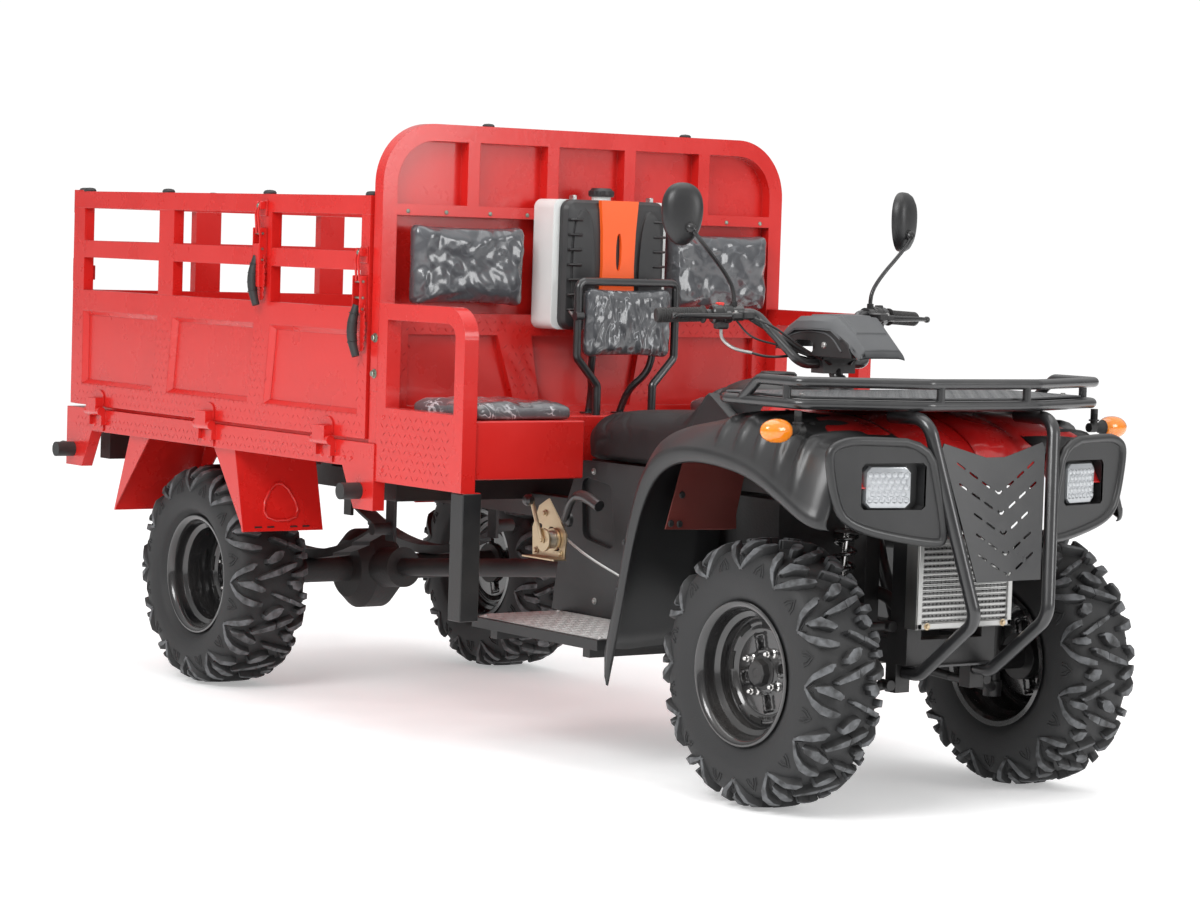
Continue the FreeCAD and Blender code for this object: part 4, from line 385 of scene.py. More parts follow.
# Each lug is a row of stations: millimetres from the middle, then its two edges in degrees.
LUGS = [
    [(54, 2.2, 3.4), (50, 1.8, 3.9), (20, 3.2, 6.2), (-2, 4.3, 7.8), (-6, 4.6, 8.0)],
    [(-10, 4.9, 8.4), (-14, 5.2, 8.8), (-32, 6.8, 9.9), (-48, 8.3, 10.8), (-51, 9.6, 10.8)],
    [(10, -6.4, -5.2), (6, -7.1, -5.1), (-12, -8.6, -6.4), (-30, -10.2, -7.8)],
    [(-34, -10.6, -8.2), (-50, -12.1, -9.6), (-66, -13.4, -11.2), (-72, -13.0, -11.8)],
    [(28, 10.6, 13.0), (20, 10.2, 14.4), (6, 11.0, 16.6), (-6, 12.0, 17.2), (-15, 14.0, 17.2),
     (-19, 15.8, 16.8)],
    [(-35, -1.2, 1.0), (-40, -3.2, 1.2), (-56, -4.4, 1.3), (-66, -3.0, -0.9)],
    [(95, 0.2, 1.2), (90, -1.2, 1.4), (68, -3.0, 1.8), (60, -3.6, 0.4), (46, -4.7, -1.0), (37, -3.9, -2.3)],
    [(-92, 13.8, 15.9), (-86, 12.9, 16.0), (-68, 12.2, 15.9), (-60, 12.8, 14.9)],
    [(126, -0.6, 1.5), (112, 1.7, 4.8), (99, 3.8, 7.2), (84, 5.7, 9.3), (66, 7.6, 11.2), (58, 9.5, 11.0)],
    [(126, -1.6, 0.5), (112, -4.8, -1.4), (99, -8.0, -4.3), (84, -10.8, -6.6), (66, -12.2, -8.4),
     (42, -12.0, -10.0)],
    [(-126, 14.4, 16.5), (-112, 16.7, 19.8), (-99, 18.8, 22.2), (-84, 20.2, 23.6), (-72, 21.2, 24.0)],
    [(-126, 13.4, 15.5), (-112, 10.2, 13.6), (-99, 7.0, 10.4), (-84, 4.2, 7.8), (-66, 2.9, 6.4),
     (-46, 3.0, 5.0)],
]
# The thin double ridges of the sidewalls: open V shapes between the feet of the lugs.
RIDGES = [
    [(128, 11.0), (114, 11.9), (99, 15.0), (114, 18.1), (128, 19.0)],
    [(128, 12.9), (118, 13.4), (108, 15.0), (118, 16.6), (128, 17.1)],
    [(109, 3.9), (128, -0.2), (109, -3.9)],
    [(102, 2.1), (117, -0.2), (102, -2.1)],
]


def lug(blank, section, stations, turn, scale, tops):
    """One bevelled lug that follows the tyre's section."""
    last = len(stations) - 1
    rings = []
    for i, (along, low, high) in enumerate(stations):
        along = along * scale / 1000
        height = lug_height(along / scale)
        ends = [(1, height, 0)]
        if i in (0, last):
            ends = [(0, -0.0035, 1), (0, height - 0.0016, 0.4)] + ends
        for inner, top, spread in (ends if i == 0 else ends[::-1]):
            step = 0.0022 if inner and i in (0, last) else 0
            end = -1 if i == 0 else 1
            shift = copysign(1, stations[last][0] - stations[0][0]) * end
            place = along + shift * (spread * 0.003 - step)
            ring = []
            for edge, sign in ((low, -1), (high, 1)):
                steps = ((-0.0035, 1.6), (top - 0.0016 if inner else top, 0.1), (top, -1.3))
                for lift, out in (steps if sign < 0 else steps[::-1]):
                    y, r = section.place(place, min(lift, top))
                    angle = radians(edge + turn) + sign * out * 0.001 / r
                    ring.append((r * cos(angle), y, r * sin(angle)))
            rings.append(ring)
    start = len(blank.points)
    blank.skin(rings)
    flat = [start + i * 6 + k for i in range(len(rings)) for k in (2, 3)]
    tops.update(flat[2:-2])


def ridge(blank, section, stations, turn, scale):
    """A thin raised line that follows the tyre's section."""
    rings = []
    for i, (along, angle) in enumerate(stations):
        before, after = stations[max(i - 1, 0)], stations[min(i + 1, len(stations) - 1)]
        way = Vector(((after[1] - before[1]) * 4.6, after[0] - before[0])).normalized()
        across = Vector((-way.y, way.x))
        ring = []
        for out, lift in ((-2.6, -0.002), (-1.3, 0.0028), (1.3, 0.0028), (2.6, -0.002)):
            y, r = section.place((along * scale + across.y * out) / 1000, lift)
            spot = radians(angle + turn + across.x * out / 4.6)
            ring.append((r * cos(spot), y, r * sin(spot)))
        rings.append(ring)
    blank.skin(rings)


rubber = worn_rubber()
CORNERS = ("front_left", "front_right", "rear_left", "rear_right")
for corner in CORNERS:
    half = 0.103 if "front" in corner else 0.119
    low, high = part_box("tyre_" + corner)
    centre = (low + high) / 2
    side = 1 if centre.y > 0 else -1
    section = Section(half)
    scale = half / 0.103
    blank, tops = Blank(), set()
    profile = section.line + [(0.076, BEAD), (0.0, BEAD)]
    blank.turned(profile + [(-y, r) for y, r in profile[-2:0:-1]], (0, 0, 0), (0, 1, 0), 108, closed=True)
    for pitch in range(PITCHES):
        turn = 360 / PITCHES * pitch
        for stations in LUGS:
            lug(blank, section, stations, turn, scale, tops)
        for stations in RIDGES:
            ridge(blank, section, stations, turn, scale)
            ridge(blank, section, [(-a, angle + 15) for a, angle in stations], turn, scale)
    blank.points = [Vector((p.x, p.y * side, p.z)) for p in blank.points]
    blank.made("tread_" + corner, [rubber], "wheel_" + corner, "tyre", ("tyre_" + corner,), 40, centre, tops)

# Rims. Each is a drop-centre barrel rolled from steel with a pressed disc welded inside, sprayed
# gloss black. Four studs hold it to its hub, and a black plastic cap covers the hub's nut.

rim_paint = finish("rim_enamel", (0.009, 0.009, 0.01), 0.16, soft_edge=0.0015,
                   grain_size=90.0, grain_depth=0.00012, coat=(0.8, 0.08))
chrome = finish("stud_chrome", (0.62, 0.61, 0.6), 0.17, 1.0, mottle=0.12, dust=0.05, soft_edge=0.0008)
cap_plastic = finish("cap_plastic", (0.016, 0.016, 0.017), 0.38, dust=0.12, soft_edge=0.0015,
                     grain_size=500.0)
# A near-black finish of painted shade, laid where slots in the rims and mudguards would show shade behind
# them.
shadow = finish("painted_slot_shade", (0.004, 0.004, 0.004), 0.8, mottle=0.05)

BARREL = [
    (0.093, 0.1716), (0.095, 0.17), (0.0955, 0.166), (0.094, 0.161), (0.0895, 0.156), (0.083, 0.152),
    (0.07, 0.1495), (0.06, 0.1485), (0.0535, 0.146), (0.05, 0.14), (0.046, 0.1335), (0.039, 0.1308),
    (-0.03, 0.1308), (-0.04, 0.134), (-0.046, 0.144), (-0.054, 0.1488), (-0.084, 0.15),
    (-0.092, 0.157), (-0.094, 0.17), (-0.091, 0.1705), (-0.0885, 0.16), (-0.081, 0.1528),
    (0.081, 0.1528), (0.0885, 0.16), (0.0905, 0.17)]
SPOKE_TURN = radians(14)


def smooth_step(value, low, high):
    share = min(1.0, max(0.0, (value - low) / (high - low)))
    return share * share * (3 - 2 * share)


def disc_lift(r, angle):
    """How far the pressed disc stands out at a place: a rolled edge, a domed middle, four recesses."""
    lift = 0.01 * smooth_step(r, 0.1, 0.116) - 0.004 * smooth_step(r, 0.12, 0.128)
    lift += 0.008 * (1 - smooth_step(r, 0.04, 0.06))
    quarter = (angle - SPOKE_TURN) % (pi / 2)
    quarter = min(quarter, pi / 2 - quarter)
    across = abs(r * sin(quarter))
    along = r * cos(quarter)
    inside = smooth_step(along, 0.047, 0.052) * (1 - smooth_step(along, 0.09, 0.095))
    lift += inside * 0.0035 * (1 - smooth_step(across, 0.017, 0.022))
    lift -= inside * 0.0105 * (1 - smooth_step(across, 0.0075, 0.0105)) * smooth_step(along, 0.054, 0.057) \
        * (1 - smooth_step(along, 0.084, 0.088))
    return lift


for corner in CORNERS:
    disc = 0.022 if "front" in corner else -0.032
    low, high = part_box("rim_" + corner)
    centre = (low + high) / 2
    centre.y = sum(c.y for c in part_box("tyre_" + corner)) / 2
    side = 1 if centre.y > 0 else -1
    blank = Blank()
    blank.turned(BARREL, (0, 0, 0), (0, 1, 0), 96, closed=True)
    steps = 160
    rings = []
    for r in [0.03 + 0.0025 * i for i in range(40)] + [0.1315]:
        ring = []
        for k in range(steps):
            angle = 2 * pi * k / steps
            ring.append(Vector((r * cos(angle), disc + disc_lift(r, angle) - 0.006, r * sin(angle))))
        rings.append(ring)
    back = [[p - Vector((0, 0.004, 0)) for p in ring] for ring in reversed(rings)]
    blank.skin(rings + back, ends=False, loop=True)
    # Vent slots near the disc's edge are near-black strips laid on the disc, painted shade for the wheel's
    # dark inside.
    for k in range(8):
        middle = pi / 8 + k * pi / 4 + SPOKE_TURN
        arc = [middle + radians(a) for a in (-11, -8, -4, 0, 4, 8, 11)]
        blank.skin([[(r * cos(a), disc + out, r * sin(a)) for a in arc]
                    for r, out in ((0.1205, 0.0056), (0.1085, 0.0052))], 2, closed=False)
    cap_foot = disc - 0.002
    blank.turned([(0, 0.041), (0.006, 0.041), (0.008, 0.035), (0.008, 0)], (0, cap_foot, 0), (0, 1, 0), 48, 3)
    blank.turned([(0.006, 0.0345), (0.024, 0.03), (0.0275, 0.0265), (0.0275, 0.012), (0.0255, 0.01),
                  (0.0255, 0)], (0, cap_foot, 0), (0, 1, 0), 8, 3)
    for k in range(4):
        angle = SPOKE_TURN + pi / 4 + k * pi / 2
        foot = Vector((0.055 * cos(angle), disc - 0.006, 0.055 * sin(angle)))
        blank.turned([(0, 0.0125), (0.004, 0.0122), (0.007, 0.0085), (0.007, 0)], foot, (0, 1, 0), 20, 1)
        blank.turned([(0.006, 0.0092), (0.018, 0.0092), (0.0195, 0.0078), (0.0195, 0.005)], foot, (0, 1, 0),
                     6, 1)
        blank.turned([(0.018, 0.0055), (0.027, 0.0055), (0.0285, 0.004), (0.0285, 0)], foot, (0, 1, 0), 14, 1)
    blank.points = [Vector((centre.x + p.x, centre.y + p.y * side, centre.z + p.z)) for p in blank.points]
    blank.made("steel_rim_" + corner, [rim_paint, chrome, shadow, cap_plastic], "wheel_" + corner,
               "rim_black", ("rim_" + corner,), sharp=28)

# Frame, rear axle, springs and shaft. The frame is welded from black-painted square tube; the cast
# axle case with its tubes hangs on two leaf springs, and an open shaft drives it.

frame_paint = finish("frame_enamel", (0.012, 0.012, 0.013), 0.34, mottle=0.16, dust=0.22, soft_edge=0.003,
                     dust_colour=(0.16, 0.14, 0.12), grain_size=160.0, grain_depth=0.0003)
axle_paint = finish("axle_paint", (0.02, 0.02, 0.021), 0.5, mottle=0.18, dust=0.3, soft_edge=0.003,
                    dust_colour=(0.17, 0.15, 0.13), grain_size=120.0, grain_depth=0.0009)
spring_steel = finish("spring_steel", (0.026, 0.026, 0.028), 0.42, 0.35, mottle=0.2, dust=0.3,
                      grain_size=200.0, grain_depth=0.0004)


def dress(material, *labels):
    """Gives CAD nodes their finish."""
    for label in labels:
        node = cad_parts[label]
        node.data.materials.clear()
        node.data.materials.append(material)


dress(frame_paint, "chassis_frame")
dress(axle_paint, "rear_axle", "engine")
dress(spring_steel, "rear_springs", "prop_shaft")

# Front suspension. Tubular wishbones carry the uprights; a coil over each damper holds the nose up.
# The arms are painted black, the dampers' rods are chromed and the coils are sprayed gloss black.

dress(frame_paint, "front_arms", "knuckle_left", "knuckle_right")
SIDES = ((1, "left"), (-1, "right"))
AXLE = sum(c.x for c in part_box("tyre_front_left")) / 2


def at(x, y, z):
    """A place measured from the front axle, the middle of the vehicle and the ground."""
    return Vector((AXLE + x, y, z))


def once(side, label):
    """One CAD node holds both pieces of a pair, so only the left one replaces it."""
    return (label,) if side > 0 else ()


tie_rod_zinc = finish("tie_rod_zinc", (0.34, 0.33, 0.31), 0.3, 1.0, mottle=0.2, dust=0.2, soft_edge=0.0015)
dress(tie_rod_zinc, "track_rod")
for side, label in SIDES:
    foot, top = at(0, 0.222 * side, 0.282), at(0, 0.178 * side, 0.684)
    way = top - foot
    blank = Blank()
    for eye in (foot, top):
        blank.turned([(-0.012, 0), (-0.012, 0.015), (0.012, 0.015), (0.012, 0)], eye, (1, 0, 0), 20, 0)
    long = way.length
    blank.turned([(0.01, 0.012), (0.03, 0.019), (long * 0.42, 0.019), (long * 0.42, 0.012),
                  (long * 0.44, 0.0075), (long - 0.03, 0.0075), (long - 0.02, 0.013), (long - 0.01, 0.013)],
                 foot, way, 20, 1)
    blank.turned([(0.052, 0.0), (0.052, 0.03), (0.058, 0.031), (0.06, 0.019)], foot, way, 28, 0)
    blank.turned([(long - 0.046, 0.008), (long - 0.044, 0.031), (long - 0.038, 0.03), (long - 0.034, 0.01)],
                 foot, way, 28, 0)
    axis = way.normalized()
    first = axis.orthogonal().normalized()
    second = axis.cross(first)
    turns, steps = 8.0, 150
    coil = []
    for k in range(steps + 1):
        angle = 2 * pi * turns * k / steps
        along = 0.062 + (long - 0.112) * k / steps
        coil.append(foot + axis * along + (first * cos(angle) + second * sin(angle)) * 0.0255)
    blank.pipe(coil, 0.0048, 2, 8)
    blank.made("coil_damper_" + label, [frame_paint, chrome, rim_paint], "chassis", "axle_steel",
               once(side, "front_shocks"))

# Bumper and guard. A bent tube each side runs from under the rack to a cross plate below; a sheet
# guard with rows of dashed slots is welded between them. All of it is satin black.

satin_black = finish("satin_black", (0.012, 0.0124, 0.0138), 0.26, dust=0.12,
                     dust_colour=(0.2, 0.19, 0.18), grain_size=240.0,
                     coat=(0.5, 0.12))
dress(satin_black, "front_bumper")
guard_low, guard_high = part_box("front_guard")
GUARD_SLOT = 0.0055


def capsule(ax, ay, bx, by, wide):
    """The outline of a slot with round ends."""
    a, b = Vector((ax, ay)), Vector((bx, by))
    way = (b - a).normalized() * wide / 2
    side = Vector((-way.y, way.x))
    return [tuple(p) for p in (a + side, a - way + side * 0.4, a - way - side * 0.4, a - side, b - side,
                               b + way - side * 0.4, b + way + side * 0.4, b + side)]


tall = hypot(guard_high.x - guard_low.x, guard_high.z - guard_low.z)
lean = atan2(guard_high.x - guard_low.x, guard_high.z - guard_low.z)
top_half, foot_half = 0.163, 0.101


def on_guard(across, up, through):
    """A place on the guard's sloping sheet."""
    return Vector((guard_high.x - up * sin(lean) - through * cos(lean), across,
                   guard_low.z + up * cos(lean) - through * sin(lean)))


outline = [(-foot_half, 0), (foot_half, 0), (top_half, tall - 0.012), (top_half - 0.008, tall),
           (top_half * 0.28, tall - 0.03), (top_half * 0.18, tall - 0.034), (-top_half * 0.18, tall - 0.034),
           (-top_half * 0.28, tall - 0.03), (-top_half + 0.008, tall), (-top_half, tall - 0.012)]
slots = []
for row in range(5):
    apex = tall - 0.122 - 0.048 * row
    slots.append([(-0.012, apex + 0.008), (-0.004, apex + 0.001), (0.004, apex + 0.001),
                  (0.012, apex + 0.008), (0.009, apex + 0.012), (0.003, apex + 0.006),
                  (-0.003, apex + 0.006), (-0.009, apex + 0.012)])
    for near in (0.028, 0.064, 0.1):
        far, rise = near + 0.02, apex + near * 0.62
        if far > foot_half + (top_half - foot_half) * rise / tall - 0.014:
            continue
        for sign in (1, -1):
            slots.append(capsule(near * sign, rise, far * sign, rise + 0.0124, GUARD_SLOT))
blank = Blank()
blank.plate(outline, slots, 0.003, on_guard)
blank.made("slotted_guard", [satin_black], "chassis", "frame_black", ("front_guard",), sharp=30)

# Lamps and their panels. A flat plastic panel in a thick tubular rim stands each side of the guard;
# through its opening looks a square lamp whose clear lens is moulded in rows of hexagonal bumps.

moulded_black = finish("moulded_black", (0.012, 0.0123, 0.0132), 0.34, mottle=0.14, dust=0.09,
                       dust_colour=(0.19, 0.18, 0.17), grain_size=420.0, grain_depth=0.00016,
                       coat=(0.25, 0.2))
lamp_lens = finish("lamp_lens", (0.46, 0.48, 0.5), 0.12, 0.35, mottle=0.04, dust=0.02, soft_edge=0.001,
                   coat=(1.0, 0.03), sockets={"Specular IOR Level": 0.8})
PANEL = [(0.214, 0.874), (0.372, 0.88), (0.422, 0.878), (0.46, 0.862), (0.464, 0.832), (0.447, 0.745),
         (0.422, 0.696), (0.345, 0.668), (0.19, 0.642), (0.164, 0.652), (0.186, 0.76)]
LAMP_Y, LAMP_Z = 0.304, 0.772
PANEL_FRONT, PANEL_SWEEP = at(0.326, 0, 0).x, 0.2277


def box_line(left, right, low, high):
    """The four corners of an upright rectangle."""
    return [(left, low), (right, low), (right, high), (left, high)]


def swept(across):
    """How far forward a lamp panel stands: it is swept back toward its outer side."""
    return PANEL_FRONT + (0.2 - across) * PANEL_SWEEP


for side, label in SIDES:
    blank = Blank()
    hole = [(0.228, 0.722), (0.374, 0.722), (0.382, 0.73), (0.382, 0.818), (0.374, 0.828), (0.228, 0.83),
            (0.219, 0.822), (0.219, 0.73)]

    def on_panel(across, up, through):
        return Vector((swept(across) - 0.006 - through, across * side, up))
    border = rounded(PANEL)
    blank.plate(border, [hole], 0.006, on_panel)
    blank.pipe([(swept(y) - 0.008, y * side, z) for y, z in border], 0.011, 0, 12, loop=True)
    blank.skin([[(swept(y) - 0.006 - d, y * side, z) for y, z in hole] for d in (0.0, 0.034)], ends=False)
    blank.plate(box_line(0.212, 0.39, 0.714, 0.838), [], 0.003,
                lambda a, u, t: Vector((swept(a) - 0.04 - t, a * side, u)))
    blank.made("lamp_panel_" + label, [moulded_black], "chassis", "moulded_black",
               once(side, "lamp_panels"), sharp=40)
    lamp = Blank()
    wide, tall_half, corner_cut = 0.058, 0.049, 0.013
    corner = [(wide, -tall_half + corner_cut), (wide, tall_half - corner_cut),
              (wide - corner_cut, tall_half), (-wide + corner_cut, tall_half),
              (-wide, tall_half - corner_cut), (-wide, -tall_half + corner_cut),
              (-wide + corner_cut, -tall_half), (wide - corner_cut, -tall_half)]
    rings = []
    for depth, shrink in ((-0.05, 0.8), (-0.02, 1.0), (0.004, 1.0), (0.01, 0.955), (0.0105, 0.9)):
        rings.append([(swept(LAMP_Y + a * shrink) - 0.03 + depth, (LAMP_Y + a * shrink) * side,
                       LAMP_Z + u * shrink) for a, u in corner])
    lamp.skin(rings)
    pitch = 0.0155
    for row in range(-3, 4):
        for col in range(-4, 5):
            a = col * pitch + (pitch / 2 if row % 2 else 0)
            u = row * pitch * 0.93
            if abs(a) > wide - 0.008 or abs(u) > tall_half - 0.006:
                continue
            centre = Vector((swept(LAMP_Y + a) - 0.0202, (LAMP_Y + a) * side, LAMP_Z + u))
            lamp.turned([(0, 0.0078), (0.002, 0.0072), (0.0038, 0.0045), (0.0045, 0.0)], centre,
                        (1, PANEL_SWEEP * side, 0), 6, 0)
    lamp.made("lamp_" + label, [lamp_lens], "chassis", "lamp_clear", once(side, "lamps"), sharp=20)

# Indicators. An oval lens of amber plastic on a black rubber stalk hangs from the rack each side. A
# short post goes up from the stalk through the tube, and a nut holds it.

amber = finish("amber_lens", (0.85, 0.24, 0.01), 0.12, mottle=0.05, dust=0.02, soft_edge=0.001,
               coat=(1.0, 0.03),
               sockets={"Subsurface Weight": 0.25, "Subsurface Radius": (0.02, 0.008, 0.002)})
soft_rubber = finish("soft_rubber", (0.014, 0.014, 0.0145), 0.55, dust=0.12, soft_edge=0.0015,
                     grain_size=500.0, grain_depth=0.0002)
signal = at(0.15, 0.533, 0.896)
for side, label in SIDES:
    centre = Vector((signal.x, signal.y * side, signal.z))
    blank = Blank()
    way = Vector((0, side, 0))
    profile = [(-0.041, 0.0), (-0.04, 0.01), (-0.034, 0.019), (-0.02, 0.0265), (0.0, 0.0285), (0.02, 0.0255),
               (0.034, 0.018), (0.04, 0.009), (0.0415, 0.0)]
    blank.turned(rounded(profile, 2, False), centre, way, 40, 0)
    blank.turned([(-0.064, 0.008), (-0.05, 0.0105), (-0.047, 0.013), (-0.038, 0.015), (-0.033, 0.019)],
                 centre, way, 24, 1)
    blank.turned([(-0.08, 0.0), (-0.08, 0.0115), (-0.06, 0.0115), (-0.06, 0.0)], centre, way, 20, 1)
    post = Vector((centre.x, 0.47 * side, centre.z))
    blank.pipe([post, post + Vector((0, 0, 0.046))], 0.009, 1, 14)
    blank.made("indicator_" + label, [amber, soft_rubber], "chassis", "amber", once(side, "indicators"),
               sharp=50)

# Fenders. A broad flare of moulded satin-black plastic sweeps over each front wheel, with a rolled lip
# and pressed ribs across its crown, and is screwed to the frame along its inner edge.

FLARE = [(-0.523, 0.313), (-0.481, 0.466), (-0.441, 0.641), (-0.406, 0.741), (-0.36, 0.798), (-0.298, 0.826),
         (-0.212, 0.837), (-0.096, 0.83), (0.017, 0.81), (0.13, 0.759), (0.205, 0.719), (0.245, 0.704),
         (0.258, 0.699)]
CROWN = [(-0.523, 0.313), (-0.49, 0.48), (-0.462, 0.655), (-0.44, 0.765), (-0.4, 0.838), (-0.322, 0.872),
         (-0.22, 0.892), (-0.09, 0.916), (0.03, 0.914), (0.115, 0.895), (0.19, 0.868), (0.24, 0.848),
         (0.268, 0.836)]
LIP = [0.085, 0.085, 0.083, 0.072, 0.05, 0.036, 0.03, 0.028, 0.028, 0.027, 0.025, 0.022, 0.02]
REACH = [0.5] * 10 + [0.498, 0.486, 0.462]
RIBS = (-0.115, -0.045, 0.025, 0.095, 0.16)


def fender_rows():
    """Rows of places from the inner edge over the crown to the rolled lip, one for each station."""
    rows = []
    inner = 0.195
    for (fx, fz), (cx, cz), lip, out in zip(FLARE, CROWN, LIP, REACH):
        row = [
            (cx, inner, cz + 0.006), (cx, 0.3, cz + 0.006), (cx, 0.38, cz + 0.003), (cx, 0.425, cz - 0.001),
            (cx + (fx - cx) * 0.12, out - 0.048, cz + (fz - cz) * 0.14),
            (cx + (fx - cx) * 0.52, out - 0.022, cz + (fz - cz) * 0.56), (fx, out - 0.003, fz + 0.002),
            (fx, out + 0.0005, fz - 0.003), (fx, out - 0.0005, fz - lip), (fx, out - 0.008, fz - lip - 0.003)]
        rows.append([(min(x, swept(y) - AXLE - 0.014), y, z) for x, y, z in row])
    return rows


def station_smooth(rows, rounds=2):
    """Smooths between the stations, so that the sweep has no corners."""
    columns = [softened([row[k] for row in rows], rounds) for k in range(len(rows[0]))]
    return [[column[i] for column in columns] for i in range(len(columns[0]))]


def walled(piece, thick, way):
    """Gives an open skin the thickness of its moulding."""
    wall = piece.modifiers.new("wall", "SOLIDIFY")
    wall.thickness, wall.offset = thick, way


for side, label in SIDES:
    blank = Blank()
    rows = station_smooth(fender_rows(), 4)
    rings = []
    for row in rows:
        ring = []
        for x, y, z in softened(row, 1):
            rib = sum(exp(-((x - middle) / 0.011) ** 2) for middle in RIBS)
            fade = smooth_step(y, 0.265, 0.33) * (1 - smooth_step(y, 0.474, 0.494))
            outward = 0.0065 * rib * fade * smooth_step(y, 0.4, 0.45)
            ring.append(at(x, (y + outward) * side, z + 0.0085 * rib * fade))
        rings.append(ring)
    blank.skin(rings, closed=False)
    flare = blank.made("flare_" + label, [moulded_black], "chassis", "moulded_black", ("fender_" + label,),
                       180, closed=False)
    walled(flare, 0.004, -side)

# Hood. One red moulding covers the nose between the fenders and spreads over their crowns as far as
# the lamp panels; a red sheet behind each wheel closes the arch. Both are held by small black clips.

hood_red = finish("hood_red", (0.52, 0.008, 0.008), 0.24, mottle=0.08, dust=0.05, soft_edge=0.004,
                  grain_size=120.0, coat=(0.5, 0.08))
liner_red = finish("arch_liner", (0.17, 0.028, 0.022), 0.5, mottle=0.16, dust=0.45,
                   dust_colour=(0.13, 0.09, 0.075), grain_size=260.0, grain_depth=0.0003)
HOOD_LINE = [(-0.318, 0.962), (-0.25, 0.962), (-0.18, 0.951), (-0.14, 0.938), (-0.06, 0.936), (0.04, 0.931),
             (0.12, 0.914), (0.19, 0.884), (0.235, 0.85), (0.262, 0.806), (0.268, 0.77)]


def between(table, x):
    """The height of a line of places at a station."""
    for (ax, az), (bx, bz) in zip(table, table[1:]):
        if ax <= x <= bx:
            return az + (bz - az) * (x - ax) / (bx - ax)
    return table[0][1] if x < table[0][0] else table[-1][1]


def hood_row(x, top, side):
    """Places from the middle of the hood to the edge of its wing at one station."""
    crown = between(CROWN, x) + 0.0105
    edge = 0.208 + 0.184 * min(1.0, max(0.0, (x + 0.315) / 0.51))
    shoulder = max(crown, top - 0.02)
    nose = smooth_step(x, 0.2, 0.262)
    wing = crown - 0.075 * nose
    return [at(x, y * side, z) for y, z in (
        (0.0, top), (0.07, top), (0.13, top - 0.003), (0.165, top - 0.01), (0.186, shoulder - 0.006),
        (0.202, max(wing, shoulder - 0.026)), (0.212, wing + 0.001), (edge - 0.012, wing),
        (edge, wing - 0.003), (edge + 0.001, wing - 0.011))]


clip_black = finish("clip_black", (0.012, 0.012, 0.013), 0.4, soft_edge=0.001)
blank = Blank()
for side in (1, -1):
    blank.skin(station_smooth([hood_row(x, top, side) for x, top in HOOD_LINE], 2), closed=False)
walled(blank.made("hood_shell", [hood_red], "chassis", "body_red", ("hood",), 180, closed=False), 0.003, -1)
for side, label in SIDES:
    blank = Blank()
    outline = [(0.196, 0.615), (0.232, 0.613), (0.44, 0.622), (0.395, 0.8), (0.348, 0.815), (0.3, 0.815),
               (0.18, 0.76), (0.2, 0.65)]

    def on_liner(a, u, t):
        return at(-0.405 + t + 0.03 * smooth_step(a, 0.372, 0.4) + 0.06 * (u - 0.7), a * side, u)
    blank.plate(outline, [], 0.003, on_liner)
    fold = [(0.375, 0.619), (0.386, 0.619), (0.362, 0.812), (0.352, 0.812)]
    blank.plate(fold, [], 0.007, on_liner)
    for y, z in ((0.425, 0.636), (0.398, 0.634), (0.34, 0.632), (0.394, 0.705)):
        blank.turned([(0, 0.009), (0.003, 0.0085), (0.0045, 0.006), (0.0045, 0)], on_liner(y, z, 0.003),
                     (1, 0, 0), 12, 1)
    blank.made("arch_liner_" + label, [liner_red, clip_black], "chassis", "body_red", sharp=30)

# Fender screws. Black-coated steel screws with domed heads and washers hold each flare: a row along
# the crown goes into the hood, and three down the rear foot go into its stay.

screw_steel = finish("screw_steel", (0.45, 0.45, 0.44), 0.32, 1.0, mottle=0.2, dust=0.15, soft_edge=0.0008)
blank = Blank()
for side in (1, -1):
    for x, y in ((-0.3, 0.235), (-0.06, 0.33), (0.11, 0.395), (0.235, 0.416)):
        z = between(CROWN, x) + (0.012 if y < 0.4 else 0.0065)
        blank.bolt(at(x, y * side, z), (0.1, 0, 1), 0.011, 0, 8, 0.4)
    for x, z in ((-0.52, 0.36), (-0.497, 0.47), (-0.476, 0.585)):
        blank.bolt(at(x + 0.014, 0.5008 * side, z), (0, side, 0), 0.01, 0, 8, 0.3)
blank.made("fender_screws", [clip_black], "chassis", "moulded_black", sharp=40)

# Cowl. A black fuel-tank cover rises behind the steering column, with a ringed cap. A grained shroud
# each side joins the nose of the saddle to the hood.

cowl_grain = finish("cowl_grain", (0.016, 0.0165, 0.0175), 0.45, soft_edge=0.004,
                    dust_colour=(0.16, 0.15, 0.14), grain_size=700.0, grain_depth=0.0003)
cowl_smooth = finish("cowl_smooth", (0.014, 0.0145, 0.0155), 0.32, mottle=0.08, dust=0.08, soft_edge=0.004)


def dome(half, low, top, foot, count, blunt, crown):
    """The section of a domed form: places over its crown, then its two feet."""
    angles = [pi * (k + 0.5) / count for k in range(count)]
    return [(half * copysign(abs(cos(a)) ** blunt, cos(a)), low + (top - low) * sin(a) ** crown)
            for a in angles] + [(-half, foot), (half, foot)]


